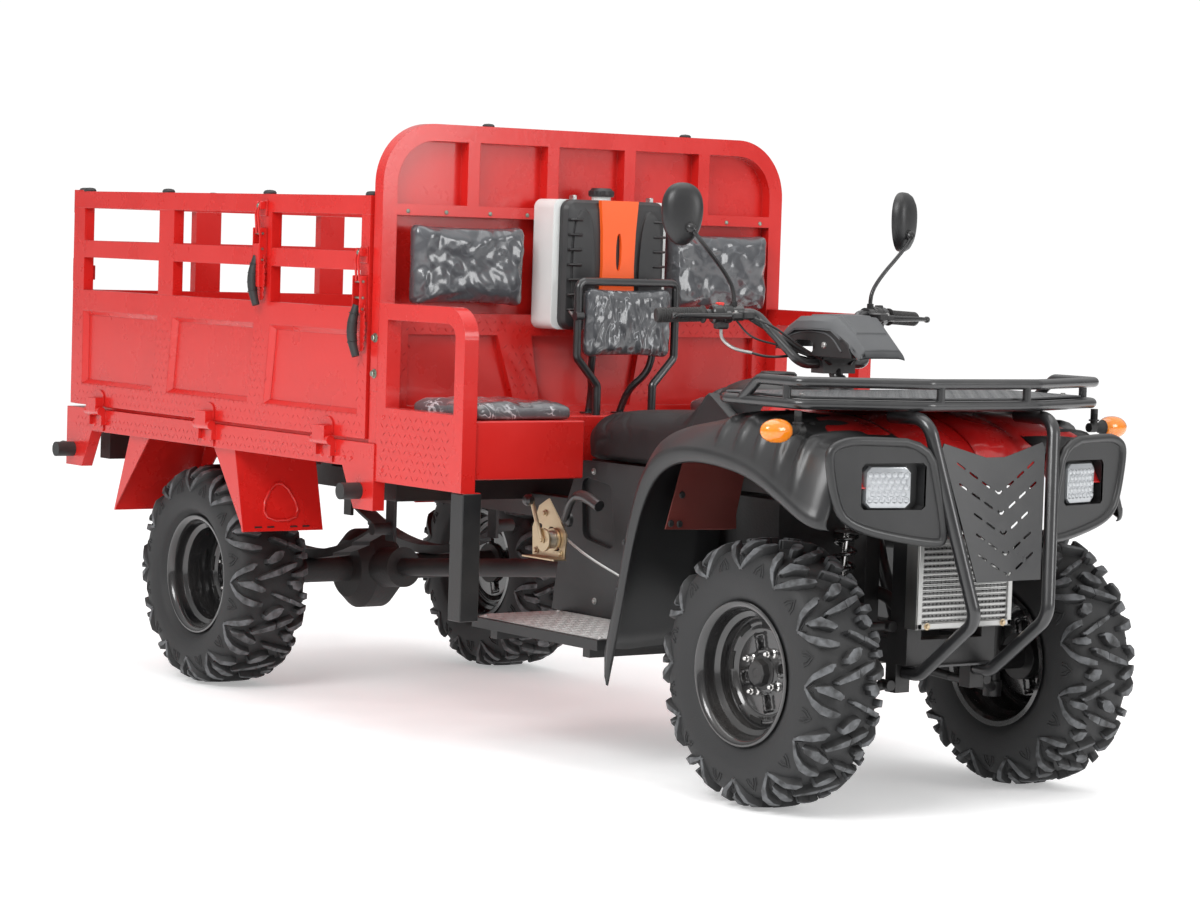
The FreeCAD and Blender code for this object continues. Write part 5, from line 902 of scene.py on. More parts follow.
blank = Blank()
rings = []
for x, half, top in ((-0.594, 0.1, 0.93), (-0.59, 0.132, 0.956), (-0.574, 0.145, 0.972),
                     (-0.53, 0.151, 0.985), (-0.47, 0.151, 0.991), (-0.41, 0.143, 0.989),
                     (-0.36, 0.124, 0.978), (-0.318, 0.1, 0.957), (-0.3, 0.08, 0.938)):
    rings.append([at(x, y, z) for y, z in dome(half, 0.885, top, 0.8, 16, 0.62, 0.55)])
blank.skin(station_smooth(rings, 1), 1)
for side in (1, -1):
    rows = []
    for inset, sink in ((0.0, 0.03), (0.0, 0.004), (0.004, 0.0), (0.012, 0.0)):
        line = [(-0.648, 0.765), (-0.622, 0.84), (-0.597, 0.9), (-0.58, 0.934), (-0.568, 0.943),
                (-0.552, 0.937), (-0.5, 0.911), (-0.44, 0.881), (-0.38, 0.866), (-0.33, 0.852),
                (-0.33, 0.765)]
        centre = Vector((-0.48, 0.83))
        row = []
        for x, z in line:
            pull = (centre - Vector((x, z))).normalized() * inset
            row.append(at(x + pull.x, (0.1895 - sink - 0.03 * max(0.0, z - 0.88) / 0.12) * side, z + pull.y))
        rows.append(row)
    blank.skin(rows, 0)


def knurls(blank, middle, radius, tall, thick, count, finish=0):
    """Upright grip ribs round a screw cap."""
    for k in range(count):
        angle = 2 * pi * k / count
        foot = middle + Vector((radius * cos(angle), radius * sin(angle), 0))
        blank.pipe([foot, foot + Vector((0, 0, tall))], thick, finish, 6)


blank.turned([(0.0, 0.046), (0.012, 0.046), (0.016, 0.042), (0.016, 0.034), (0.01, 0.03), (0.01, 0)],
             at(-0.505, 0, 0.984), (0, 0, 1), 36, 1)
knurls(blank, at(-0.505, 0, 0.985), 0.0462, 0.01, 0.0022, 18, 1)
COLUMN_WAY = (-0.40674, 0, 0.91355)
blank.turned([(-0.07, 0.04), (-0.03, 0.034), (0.0, 0.024), (0.012, 0.02), (0.012, 0.0)],
             at(-0.268, 0, 0.985), COLUMN_WAY, 28, 1)
blank.made("cowl_shell", [cowl_grain, cowl_smooth], "chassis", "body_black", ("cowl",), sharp=42)

# Saddle. A foam pad under stretched black vinyl, wide at the back and climbing to a narrow nose. The
# vinyl is pulled over the base and stapled beneath.


def stuffed(piece, voxel, pressure, limit, keep):
    """Blows up a sewn cover with its filling, takes the shape, and makes the surface smooth."""
    scene, frames = bpy.context.scene, 20
    even = piece.modifiers.new("even", "REMESH")
    even.mode, even.voxel_size = "VOXEL", voxel
    depsgraph = bpy.context.evaluated_depsgraph_get()
    sewn = bpy.data.meshes.new_from_object(piece.evaluated_get(depsgraph))
    piece.modifiers.clear()
    piece.data = sewn
    cloth = piece.modifiers.new("cover", "CLOTH")
    cloth.settings.use_pressure = True
    cloth.settings.uniform_pressure_force = pressure
    cloth.settings.effector_weights.gravity = 0.0
    cloth.settings.quality = 4
    cloth.settings.tension_stiffness = cloth.settings.compression_stiffness = 12.0
    cloth.settings.bending_stiffness = 0.35
    cloth.point_cache.frame_start, cloth.point_cache.frame_end = 1, frames
    for number in range(1, frames + 1):
        scene.frame_set(number)
    blown = piece.evaluated_get(bpy.context.evaluated_depsgraph_get()).data
    ends = [p.co.copy() for p in blown.vertices]
    piece.modifiers.clear()
    for point, end in zip(piece.data.vertices, ends):
        move = end - point.co
        if move.length > limit:
            move *= limit / move.length
        point.co += move
    scene.frame_set(1)
    for point in piece.data.vertices:
        point.co = keep(point.co)
    piece.data.shade_smooth()
    smooth = piece.modifiers.new("smooth", "SUBSURF")
    smooth.levels = smooth.render_levels = 1


saddle_vinyl = finish("saddle_vinyl", (0.014, 0.014, 0.0145), 0.44, dust=0.08, soft_edge=0.0,
                      dust_colour=(0.12, 0.11, 0.11), grain_size=900.0, grain_depth=0.00035)
SADDLE = [(-1.122, 0.12, 0.802), (-1.112, 0.148, 0.838), (-1.07, 0.163, 0.862), (-0.98, 0.166, 0.874),
          (-0.86, 0.165, 0.88), (-0.76, 0.163, 0.884), (-0.705, 0.16, 0.896), (-0.668, 0.157, 0.924),
          (-0.64, 0.154, 0.954), (-0.617, 0.15, 0.97), (-0.6, 0.145, 0.966), (-0.594, 0.138, 0.955)]
blank = Blank()
rings = []
for x, half, top in SADDLE:
    lean = 0.45 * smooth_step(x, -0.74, -0.62)
    section = dome(half, 0.76, top - 0.006, 0.744, 20, 0.5, 0.42)
    rings.append([at(x - lean * (top - z), y, z) for y, z in section])
blank.skin(rings)
saddle = blank.made("saddle_pad", [saddle_vinyl], "chassis", "seat", ("saddle",))
seat_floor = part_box("saddle")[0].z


def on_base(place):
    """Keeps the pad above its base, inside the side covers and no further back than its rear end."""
    return Vector((max(place.x, AXLE - 1.128), max(-0.172, min(0.172, place.y)),
                   max(place.z, seat_floor + 0.001)))


stuffed(saddle, 0.007, 3.0, 0.008, on_base)

# Side covers. Black moulded panels close the middle below the saddle, each with a hand hole in a
# raised surround and bright screws down its front edge.

cover_plastic = finish("cover_plastic", (0.02, 0.0205, 0.022), 0.4, mottle=0.14, dust=0.22, soft_edge=0.003,
                       dust_colour=(0.16, 0.145, 0.13), grain_size=500.0, grain_depth=0.00025)
dress(cover_plastic, "side_covers")
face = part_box("side_covers")[1].y
blank = Blank()
for side in (1, -1):
    for x, z in ((-0.548, 0.735), (-0.56, 0.662), (-0.575, 0.585), (-0.592, 0.5), (-0.612, 0.415),
                 (-0.8, 0.716), (-1.02, 0.712), (-0.76, 0.38), (-1.0, 0.372)):
        blank.bolt(at(x, face * side, z), (0, side, 0), 0.0125, 0, 6, 0.45)
blank.made("cover_screws", [screw_steel], "chassis", "moulded_black", sharp=40)

# Rack. Two levels of bent steel tube are welded with short uprights, and a grey chequer sheet closes
# the floor between them. The tubes are powder-coated black.


def in_outline(a, u, outline):
    """Whether a place lies inside an outline."""
    inside = False
    for (ax, ay), (bx, by) in zip(outline, outline[1:] + outline[:1]):
        if (ay > u) != (by > u) and a < (bx - ax) * (u - ay) / (by - ay) + ax:
            inside = not inside
    return inside


def chequer(blank, outline, place, pitch=0.022, long=0.02, tall=0.0009, finish=0, holes=()):
    """Raised strokes in a zigzag over a region. place turns (across, up, out) into a place in space."""
    edge = long * 0.42
    low_a, high_a = min(a for a, u in outline), max(a for a, u in outline)
    low_u, high_u = min(u for a, u in outline), max(u for a, u in outline)
    row, u = 0, low_u + edge
    while u < high_u - edge * 0.8:
        a, column = low_a + edge + (pitch / 2 if row % 2 else 0), 0
        while a < high_a - edge * 0.8:
            lean = 1 if (row + column) % 2 else -1
            way = Vector((0.707 * lean, 0.707))
            over = Vector((-way.y, way.x))
            spot = Vector((a, u))
            ends = (spot + way * edge, spot - way * edge)
            clear = all(in_outline(p.x, p.y, outline) for p in ends)
            if clear and not any(in_outline(a, u, hole) for hole in holes):
                first = len(blank.points)
                rim = (spot + way * long / 2, spot + over * long * 0.13,
                       spot - way * long / 2, spot - over * long * 0.13)
                blank.points += [place(p.x, p.y, -0.0003) for p in rim]
                blank.points += [place(p.x, p.y, tall)
                                 for p in (spot + way * long * 0.26, spot - way * long * 0.26)]
                for corners in ((0, 1, 5, 4), (1, 2, 5), (2, 3, 4, 5), (3, 0, 4), (3, 2, 1, 0)):
                    blank.face([first + c for c in corners], finish)
            a += pitch
            column += 1
        u += pitch * 0.86
        row += 1


deck_grey = finish("deck_grey", (0.115, 0.118, 0.122), 0.36, 0.15, mottle=0.16, dust=0.12, soft_edge=0.001,
                   dust_colour=(0.24, 0.23, 0.22), grain_size=300.0)
dress(satin_black, "front_rack")
dress(deck_grey, "rack_deck")
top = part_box("rack_deck")[1].z
blank = Blank()
deck = [(-0.115, -0.43), (0.11, -0.43), (0.225, -0.16), (0.225, 0.16), (0.11, 0.43), (-0.115, 0.43)]
chequer(blank, deck, lambda a, u, t: at(a, u, top + t), 0.024, 0.021, 0.001)
blank.made("deck_chequer", [deck_grey], "chassis", "frame_black", sharp=20)
blank = Blank()
for side in (1, -1):
    for x in (-0.105, 0.095):
        blank.bolt(at(x, 0.415 * side, top), (0, 0, 1), 0.012, 0, 6, 0.4)
    blank.turned([(0, 0.013), (0.004, 0.013), (0.004, 0.009), (0.018, 0.009), (0.018, 0)],
                 at(0.15, 0.47 * side, 0.912), (0, 0, 1), 14, 1)
blank.made("rack_bolts", [screw_steel, clip_black], "chassis", "frame_black", sharp=40)

# Footboards. Chequered aluminium sheet, scuffed bright by boots, lies in a folded black tray on each
# side and is screwed down at its corners.

board_tray = finish("board_tray", (0.014, 0.014, 0.015), 0.45, mottle=0.15, dust=0.25,
                    dust_colour=(0.15, 0.14, 0.13))
dress(board_tray, "footboards")
board_metal = finish("board_metal", (0.62, 0.62, 0.61), 0.4, 0.55, mottle=0.25, dust=0.25, soft_edge=0.001,
                     dust_colour=(0.1, 0.095, 0.09), grain_size=90.0, grain_depth=0.0006)
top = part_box("footboards")[1].z
for side, label in SIDES:
    blank = Blank()
    outline = [(-1.138, 0.204), (-0.572, 0.204), (-0.572, 0.486), (-1.102, 0.486), (-1.138, 0.428)]
    blank.plate(outline, [], 0.0015, lambda a, u, t: at(a, u * side, top + 0.0002 + t))
    chequer(blank, [(-1.132, 0.212), (-0.58, 0.212), (-0.58, 0.48), (-1.098, 0.48), (-1.132, 0.424)],
            lambda a, u, t: at(a, u * side, top + 0.0017 + t), 0.021, 0.019, 0.0011)
    for x, y in ((-0.59, 0.22), (-0.59, 0.47), (-1.12, 0.22), (-1.095, 0.468)):
        blank.bolt(at(x, y * side, top + 0.0017), (0, 0, 1), 0.01, 0, 6, 0.35)
    blank.made("footboard_sheet_" + label, [board_metal], "chassis", "frame_black", sharp=24)

# Hand brake. A zinc-plated ratchet plate is bolted outside the right side cover; its black lever and
# the crank of its cable drum are bent steel with moulded knobs.

zinc = finish("yellow_zinc", (0.62, 0.5, 0.34), 0.28, 1.0, mottle=0.3, dust=0.2, soft_edge=0.001,
              dust_colour=(0.25, 0.2, 0.15), grain_size=60.0, grain_depth=0.0002)
knob_black = finish("knob_black", (0.012, 0.012, 0.013), 0.28, dust=0.06, coat=(0.4, 0.1))
plate_y = -0.3
blank = Blank()
holes = [rounded(box_line(a - 0.012, a + 0.012, u - 0.007, u + 0.007), 1)
         for a, u in ((-1.09, 0.515), (-1.02, 0.512), (-1.045, 0.56), (-1.1, 0.565))]
blank.plate([(-1.128, 0.487), (-0.984, 0.487), (-0.978, 0.552), (-1.012, 0.59), (-1.062, 0.64),
             (-1.104, 0.618), (-1.132, 0.56)], holes, 0.004, lambda a, u, t: at(a, plate_y - t, u))
blank.plate(box_line(-1.128, -0.984, 0.487, 0.483), [], 0.04, lambda a, u, t: at(a, plate_y - t + 0.002, u))
blank.turned([(0, 0.03), (0.006, 0.03), (0.006, 0.022), (0.03, 0.022), (0.03, 0.03), (0.036, 0.03),
              (0.036, 0)], at(-1.03, plate_y - 0.006, 0.535), (0, -1, 0), 30, 0)
for k in range(6):
    blank.turned([(0, 0.0235), (0.0035, 0.0235), (0.0035, 0)], at(-1.03, plate_y - 0.013 - 0.0038 * k, 0.535),
                 (0, -1, 0), 24, 2)
for x, z in ((-1.03, 0.535), (-1.075, 0.6), (-1.11, 0.5), (-1.0, 0.5)):
    deep = 0.044 if z == 0.535 else 0.005
    blank.bolt(at(x, plate_y - deep, z), (0, -1, 0), 0.013, 0, 6, 0.6)
crank = [at(-1.03, plate_y - 0.046, 0.535), at(-1.052, plate_y - 0.05, 0.59),
         at(-1.07, plate_y - 0.052, 0.636)]
blank.pipe(softened(crank, 2), 0.006, 0, 10)
blank.turned([(-0.004, 0), (-0.004, 0.008), (0.004, 0.014), (0.016, 0.015), (0.024, 0.01), (0.026, 0)],
             crank[-1], (0, -1, 0), 18, 1)
lever = softened([at(-0.985, -0.305, 0.59), at(-0.935, -0.322, 0.652), at(-0.88, -0.322, 0.664),
                  at(-0.812, -0.322, 0.64)], 3)
blank.pipe(lever, [0.01 + 0.005 * smooth_step(i / len(lever), 0.3, 0.6) for i in range(len(lever))], 1, 14)
blank.turned([(0, 0.02), (0.01, 0.018), (0.016, 0.008), (0.016, 0)], at(-0.985, -0.292, 0.59), (0, -1, 0),
             20, 1)
blank.pipe(softened([at(-1.0, -0.296, 0.545), at(-0.9, -0.29, 0.5), at(-0.8, -0.22, 0.44)], 3), 0.0035, 2, 8)
blank.made("brake_winch", [zinc, knob_black, screw_steel], "chassis", "aluminium", ("hand_brake",), sharp=36)

# Radiator. A brazed aluminium core with folded fins sits between two tanks ahead of the frame, held
# by a bracket each side. Black hoses carry the water back to the engine.

radiator_aluminium = finish("radiator_aluminium", (0.5, 0.5, 0.49), 0.34, 1.0, mottle=0.15,
                            soft_edge=0.001, grain_size=120.0, grain_depth=0.0002)
fin_aluminium = finish("fin_aluminium", (0.2, 0.2, 0.2), 0.5, 0.8, mottle=0.3, dust=0.2, soft_edge=0.0)
dress(radiator_aluminium, "radiator")
cool_low, cool_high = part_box("radiator")
core_face, inset, rows, columns = cool_high.x, 0.018, 26, 22
foot, top, right, left = cool_low.z + inset, cool_high.z - inset, cool_low.y + inset, cool_high.y - inset
blank = Blank()
for i in range(rows):
    z = foot + (top - foot) * (i + 0.5) / rows
    blank.block((core_face - 0.004, right, z - 0.001), (core_face + 0.0004, left, z + 0.001), finish=1)
for k in range(columns + 1):
    y = right + (left - right) * k / columns
    blank.block((core_face - 0.004, y - 0.0008, foot), (core_face - 0.0004, y + 0.0008, top), finish=1)
corners = box_line(cool_low.y + 0.008, cool_high.y - 0.008, cool_low.z + 0.008, cool_high.z - 0.008)
for (ay, az), (by, bz) in zip(corners, corners[1:] + corners[:1]):
    blank.block((core_face - 0.002, min(ay, by) - 0.007, min(az, bz) - 0.007),
                (core_face + 0.005, max(ay, by) + 0.007, max(az, bz) + 0.007), 0.0015)
for y in (cool_low.y + 0.03, cool_high.y - 0.03):
    blank.bolt((core_face + 0.005, y, cool_low.z + 0.008), (1, 0, 0), 0.012, 2, 6, 0.6)
blank.made("radiator_core", [radiator_aluminium, fin_aluminium, zinc], "chassis", "aluminium", sharp=30)
hose_rubber = finish("hose_rubber", (0.012, 0.012, 0.0125), 0.5, dust=0.15, soft_edge=0.0,
                     grain_size=500.0, grain_depth=0.0002)
blank = Blank()
for y, z, far in ((0.11, cool_high.z - 0.02, 0.6), (-0.11, cool_low.z + 0.03, 0.5)):
    x = cool_low.x - AXLE
    blank.pipe(softened([at(x, y, z), at(x - 0.06, y, z), at(x - 0.16, y * 0.7, far),
                         at(-0.325, y * 0.6, far)], 3), 0.016, 0, 14)
blank.made("water_hoses", [hose_rubber], "chassis", "rubber", sharp=60)

# Bed. The floor, the sills and the folding sides are pressed and welded from chequered sheet steel and
# square tube, and sprayed together in a thick gloss red that runs over every edge.

bed_red = finish("bed_enamel", (0.58, 0.014, 0.011), 0.24, dust=0.05, soft_edge=0.0025,
                 dust_colour=(0.42, 0.1, 0.08), grain_size=55.0, grain_depth=0.0003,
                 coat=(0.34, 0.11))
dress(bed_red, "bed_floor", "bed_sills", "gate_left", "gate_right", "tail_gate", "headboard", "bench_guards",
      "mudguards")
bed_bolt = finish("bed_bolt", (0.3, 0.36, 0.3), 0.3, 1.0, mottle=0.25, soft_edge=0.0008)
cap_rubber = finish("cap_rubber", (0.015, 0.016, 0.017), 0.5, dust=0.12, soft_edge=0.001)
BED_SIDE, BED_REAR, BED_FRONT = 0.675, -3.026, -1.382
HINGES, LEAF_BACK = (-2.866, -2.207, -1.569), BED_SIDE + 0.0005
GATE_TOP = 1.416


def beside(side, out):
    """Lays (across, up, through) against an upright face that looks sideways."""
    return lambda a, u, t: at(a, (out + t) * side, u)


blank = Blank()
for side in (1, -1):
    chequer(blank, box_line(-3.02, -1.42, 0.708, 0.764), beside(side, BED_SIDE), 0.024, 0.022,
            0.0007, 0, [box_line(x - 0.05, x + 0.05, 0.69, 0.79) for x in HINGES])
floor_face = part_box("bed_floor")[0].z + 0.012
chequer(blank, box_line(-2.98, -1.39, -0.6, 0.6), lambda a, u, t: at(a, u, floor_face + t), 0.04, 0.03, 0.001)
blank.made("floor_chequer", [bed_red], "chassis", "bed_red", sharp=20)

# Folding sides. Each hangs on three leaf hinges along the sill. Its pressed lower half has leaning
# ribs, and over-centre latches with rubber-sleeved handles hold it to the posts.

PRESS = 0.016 * 0.999
POST_CAP = [(0, 0.018), (0.004, 0.0185), (0.009, 0.015), (0.011, 0.008), (0.0115, 0)]
frame_wide, post_wide = 0.042, 0.087
bay = (BED_FRONT - BED_REAR - 2 * frame_wide - 2 * post_wide) / 3
for side, label in SIDES:
    blank = Blank()
    recesses = []
    for i in range(3):
        left = BED_REAR + frame_wide + (bay + post_wide) * i
        lean = 0.025
        recesses.append([(left - (0 if i == 0 else lean), 0.84), (left + bay - (0 if i == 2 else lean), 0.84),
                         (left + bay, 1.06), (left, 1.06)])
    gaps = [box_line(x - 0.045, x + 0.045, 0.77, 0.83) for x in HINGES]
    chequer(blank, box_line(-3.018, -1.388, 0.784, 1.064),
            beside(side, BED_SIDE), 0.026, 0.022, 0.0005, 0, recesses + gaps)
    for recess in recesses:
        # A fillet of weld and paint slopes from the face down into each recess.
        middle = Vector((sum(a for a, u in recess) / 4, sum(u for a, u in recess) / 4))
        blank.skin([[at(a + copysign(pull, middle.x - a), (BED_SIDE - sink) * side,
                        u + copysign(pull, middle.y - u)) for a, u in recess]
                    for sink, pull in ((0.0, 0.0), (PRESS, 0.014), (PRESS, 0.0))], loop=True)
    for x in (-2.985, -2.5, -1.927, -1.4):
        blank.turned(POST_CAP, at(x, 0.659 * side, GATE_TOP), (0, 0, 1), 18, 1)
    for x in HINGES:
        leaf = [(x - 0.032, 0.784), (x + 0.032, 0.784)] + [
            (x + 0.032 * cos(radians(t)), 0.806 + 0.022 * sin(radians(t))) for t in range(0, 181, 20)]
        blank.plate(leaf, [], 0.004, beside(side, LEAF_BACK))
    near, far = ((BED_SIDE - 0.002, BED_SIDE + 0.026) if side > 0 else (-BED_SIDE - 0.026, -BED_SIDE))
    blank.block(at(-1.943, near, 1.16), at(-1.909, far, 1.28), 0.003)
    blank.made("side_trim_" + label, [bed_red, cap_rubber], "gate_" + label, "bed_red", sharp=24)


def latch(name, body, spot):
    """An over-centre latch: an eye above, a wire link, a channel with its lever, a scalloped strip, a sleeve.
    spot turns (across, up, outward), measured from its eye, into a place in space."""
    blank = Blank()

    def box(low, high, finish=0):
        blank.block(spot(*low), spot(*high), 0.0015, finish)
    way = spot(0, 0, 1) - spot(0, 0, 0)
    box((-0.018, -0.03, 0.0004), (0.018, 0.014, 0.004))
    box((-0.014, -0.012, 0.004), (-0.01, 0.01, 0.022))
    box((0.01, -0.012, 0.004), (0.014, 0.01, 0.022))
    blank.bolt(spot(0.0, -0.002, 0.016), way, 0.013, 2, 6, 0.6)
    for a in (-0.0075, 0.0075):
        blank.pipe(softened([spot(a, 0.006, 0.018), spot(a * 0.7, -0.02, 0.026), spot(a, -0.05, 0.022),
                             spot(a, -0.078, 0.02)], 2), 0.0034, 0, 8)
    box((-0.019, -0.185, 0.0004), (0.019, -0.062, 0.0035))
    for a in (-0.019, 0.016):
        box((a, -0.16, 0.003), (a + 0.003, -0.062, 0.026))
    for u in (-0.078, -0.12, -0.15):
        blank.bolt(spot(-0.019, u, 0.016), spot(-1, u, 0.016) - spot(0, u, 0.016), 0.01, 2, 6, 0.5)
        blank.pipe([spot(-0.021, u, 0.016), spot(0.022, u, 0.016)], 0.0035, 2, 10)
    edge = [(0.024 + (0.006 if k % 2 else 0.001) - 0.0009 * abs(k - 7), -0.135 - 0.0088 * k)
            for k in range(15)]
    strip = [(0.004, -0.135)] + edge + [(0.006, -0.262)]
    blank.plate(strip, [], 0.003, lambda a, u, t: spot(a, u, 0.01 + t))
    route = softened([spot(-0.006, -0.14, 0.018), spot(-0.01, -0.18, 0.028), spot(-0.008, -0.23, 0.03),
                      spot(0.006, -0.274, 0.024)], 2)
    blank.pipe(route, [0.0105 + 0.0035 * sin(pi * i / (len(route) - 1)) for i in range(len(route))], 1, 14)
    for i in range(1, len(route) - 1, 2):
        blank.turned([(-0.0014, 0.0125), (-0.0008, 0.0148), (0.0008, 0.0148), (0.0014, 0.0125)], route[i],
                     route[i + 1] - route[i], 14, 1, closed=True)
    blank.made(name, [bed_red, cap_rubber, bed_bolt], body, "bed_red", sharp=36)


for side, label in SIDES:
    for name, x, z in (("rail_latch_", -1.926, 1.385), ("front_latch_", -1.404, 1.268)):
        latch(name + label, "gate_" + label, lambda a, u, t: at(x + a, (BED_SIDE + t) * side, z + u))
    # The post that the front latch pulls on has two zinc bolts through it.
    blank = Blank()
    for z in (1.045, 0.951):
        blank.bolt(at(-1.352, 0.669 * side, z), (0, side, 0), 0.017, 0, 6, 0.6)
    blank.plate([(-1.372, 0.905), (-1.338, 0.905), (-1.338, 1.3), (-1.345, 1.312), (-1.372, 1.312)], [],
                0.003, beside(side, 0.666), 1)
    for x in HINGES:
        blank.plate(box_line(x - 0.034, x + 0.034, 0.706, 0.75), [], 0.004, beside(side, LEAF_BACK), 1)
        blank.rivets([at(x + a, (LEAF_BACK + 0.004) * side, 0.724) for a in (-0.018, 0.018)], (0, side, 0),
                     0.014, 1)
    blank.rivets([at(-1.53, BED_SIDE * side, 0.736)], (0, side, 0), 0.011, 2)
    blank.rivets([at(x, BED_SIDE * side, 0.724) for x in (-1.48, -1.445)], (0, side, 0), 0.011, 1)
    blank.made("bed_fittings_" + label, [bed_bolt, bed_red, cap_rubber], "chassis", "bed_red", sharp=36)
    # Two clasps bent round the rear corner swing with the side.
    blank = Blank()
    for z in (1.386, 1.18):
        blank.plate([(-3.062, z - 0.034), (-3.03, z - 0.034), (-3.03, z - 0.026), (-3.05, z - 0.026),
                     (-3.05, z + 0.026), (-3.03, z + 0.026), (-3.03, z + 0.034), (-3.062, z + 0.034)], [],
                    0.018, lambda a, u, t: at(a - 0.006, (0.65 + t) * side, u))
    blank.made("corner_clasps_" + label, [bed_red], "gate_" + label, "bed_red", sharp=36)

# Tail gate. It folds down at the back on hinges of its own, with the same pressed panel, and a latch
# with a black sleeve at each rear corner.

tail_low, tail_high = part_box("tail_gate")
blank = Blank()
chequer(blank, box_line(-0.66, 0.66, 0.784, 0.836),
        lambda a, u, t: Vector((tail_low.x + 0.03 - t, a, u)), 0.026, 0.022, 0.0005)
for y in (-0.64, -0.2, 0.2, 0.64):
    blank.turned(POST_CAP, Vector(((tail_low.x + tail_high.x) / 2 + 0.0146, y, GATE_TOP)), (0, 0, 1), 18, 1)
back_face = at(BED_REAR - 0.038, 0, 0).x
for y in (-0.56, 0.56):
    blank.bolt((back_face, y, 1.24), (-1, 0, 0), 0.014, 2, 6, 0.5)
blank.made("tail_trim", [bed_red, cap_rubber, bed_bolt], "tail_gate", "bed_red", sharp=24)
for side, label in SIDES:
    latch("tail_latch_" + label, "tail_gate",
          lambda a, u, t: Vector((back_face - t, 0.61 * side + a * 0.9, 1.18 + u)))

# Buffers. Black rubber stops, each moulded in one piece, are screwed to the bed's corners below the
# hinges, where the folded sides come to rest.

dress(cap_rubber, "buffers")

# Headboard. A bent tube frame carries posts and flat sheet bays; two chequered ribs lean out to its
# foot. Zinc bolts join the bays along the middle bar, and rubber caps close the top tube.

BOARD_FACE = -1.334


def on_board(a, u, t):
    return at(BOARD_FACE + t, a, u)


blank = Blank()
for sign in (1, -1):
    rib = [(0.156 * sign, 0.872), (0.227 * sign, 0.872), (0.29 * sign, 1.05), (0.188 * sign, 1.05)]
    chequer(blank, rib[::sign], on_board, 0.024, 0.021, 0.0007)
chequer(blank, box_line(-0.615, 0.615, 1.06, 1.108), on_board, 0.024, 0.021, 0.0007)
for sign in (1, -1):
    outer = [(0.6 * sign, 0.872), (0.622 * sign, 0.872), (0.622 * sign, 1.05), (0.56 * sign, 1.05)]
    chequer(blank, outer[::sign], on_board, 0.024, 0.021, 0.0007)
for y in (-0.59, -0.47, -0.33, -0.21, 0.21, 0.33, 0.47, 0.59):
    blank.rivets([at(BOARD_FACE, y, 1.378)], (1, 0, 0), 0.012, 2)
for y in (-0.33, 0.33):
    blank.turned([(0, 0.016), (0.004, 0.0165), (0.008, 0.012), (0.0095, 0)], at(BOARD_FACE - 0.02, y, 1.6085),
                 (0, 0, 1), 18, 1)
blank.made("headboard_trim", [bed_red, cap_rubber, bed_bolt], "chassis", "bed_red", sharp=24)

# Side guards. A bent flat tube stands outside each bench seat over a chequered panel, with a black
# leg that carries the footboard.

blank = Blank()
for side in (1, -1):
    chequer(blank, box_line(-1.316, -0.978, 0.68, 0.858), beside(side, 0.671), 0.025, 0.023, 0.0008)
    for z in (0.7, 0.84):
        blank.rivets([at(-1.3, 0.671 * side, z)], (0, side, 0), 0.012, 0)
blank.made("guard_chequer", [bed_red], "chassis", "bed_red", sharp=20)
LEG_INNER = 0.6258 - 0.052 / 3
blank = Blank()
for side in (1, -1):
    blank.block(at(-0.9822, LEG_INNER * side, 0.343), at(-0.9258, (LEG_INNER + 0.0564) * side, 0.668), 0.002)
blank.made("guard_legs", [frame_paint], "chassis", "frame_black", sharp=40)

# Bench. A pressed red box stands under each seat, and a deck joins the two behind the saddle. They are
# welded to the headboard and the guards.

bench_low, bench_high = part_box("bench")
BENCH_INNER, BENCH_MIDDLE = 0.287, 1.14
blank = Blank()
for side in (1, -1):
    blank.block((bench_low.x, BENCH_INNER * side, bench_low.z),
                (bench_high.x, bench_high.y * side, bench_high.z), 0.003)
blank.block((bench_low.x, -BENCH_INNER, bench_low.z), (AXLE - BENCH_MIDDLE, BENCH_INNER, bench_high.z), 0.003)
blank.made("bench_box", [bed_red], "chassis", "bed_red", ("bench",), sharp=30)

# Bench and back cushions. Thin foam pads in dark grey vinyl lie on the bench and hang on the
# headboard, still wrapped in the clear film they were delivered in, which is crinkled all over.


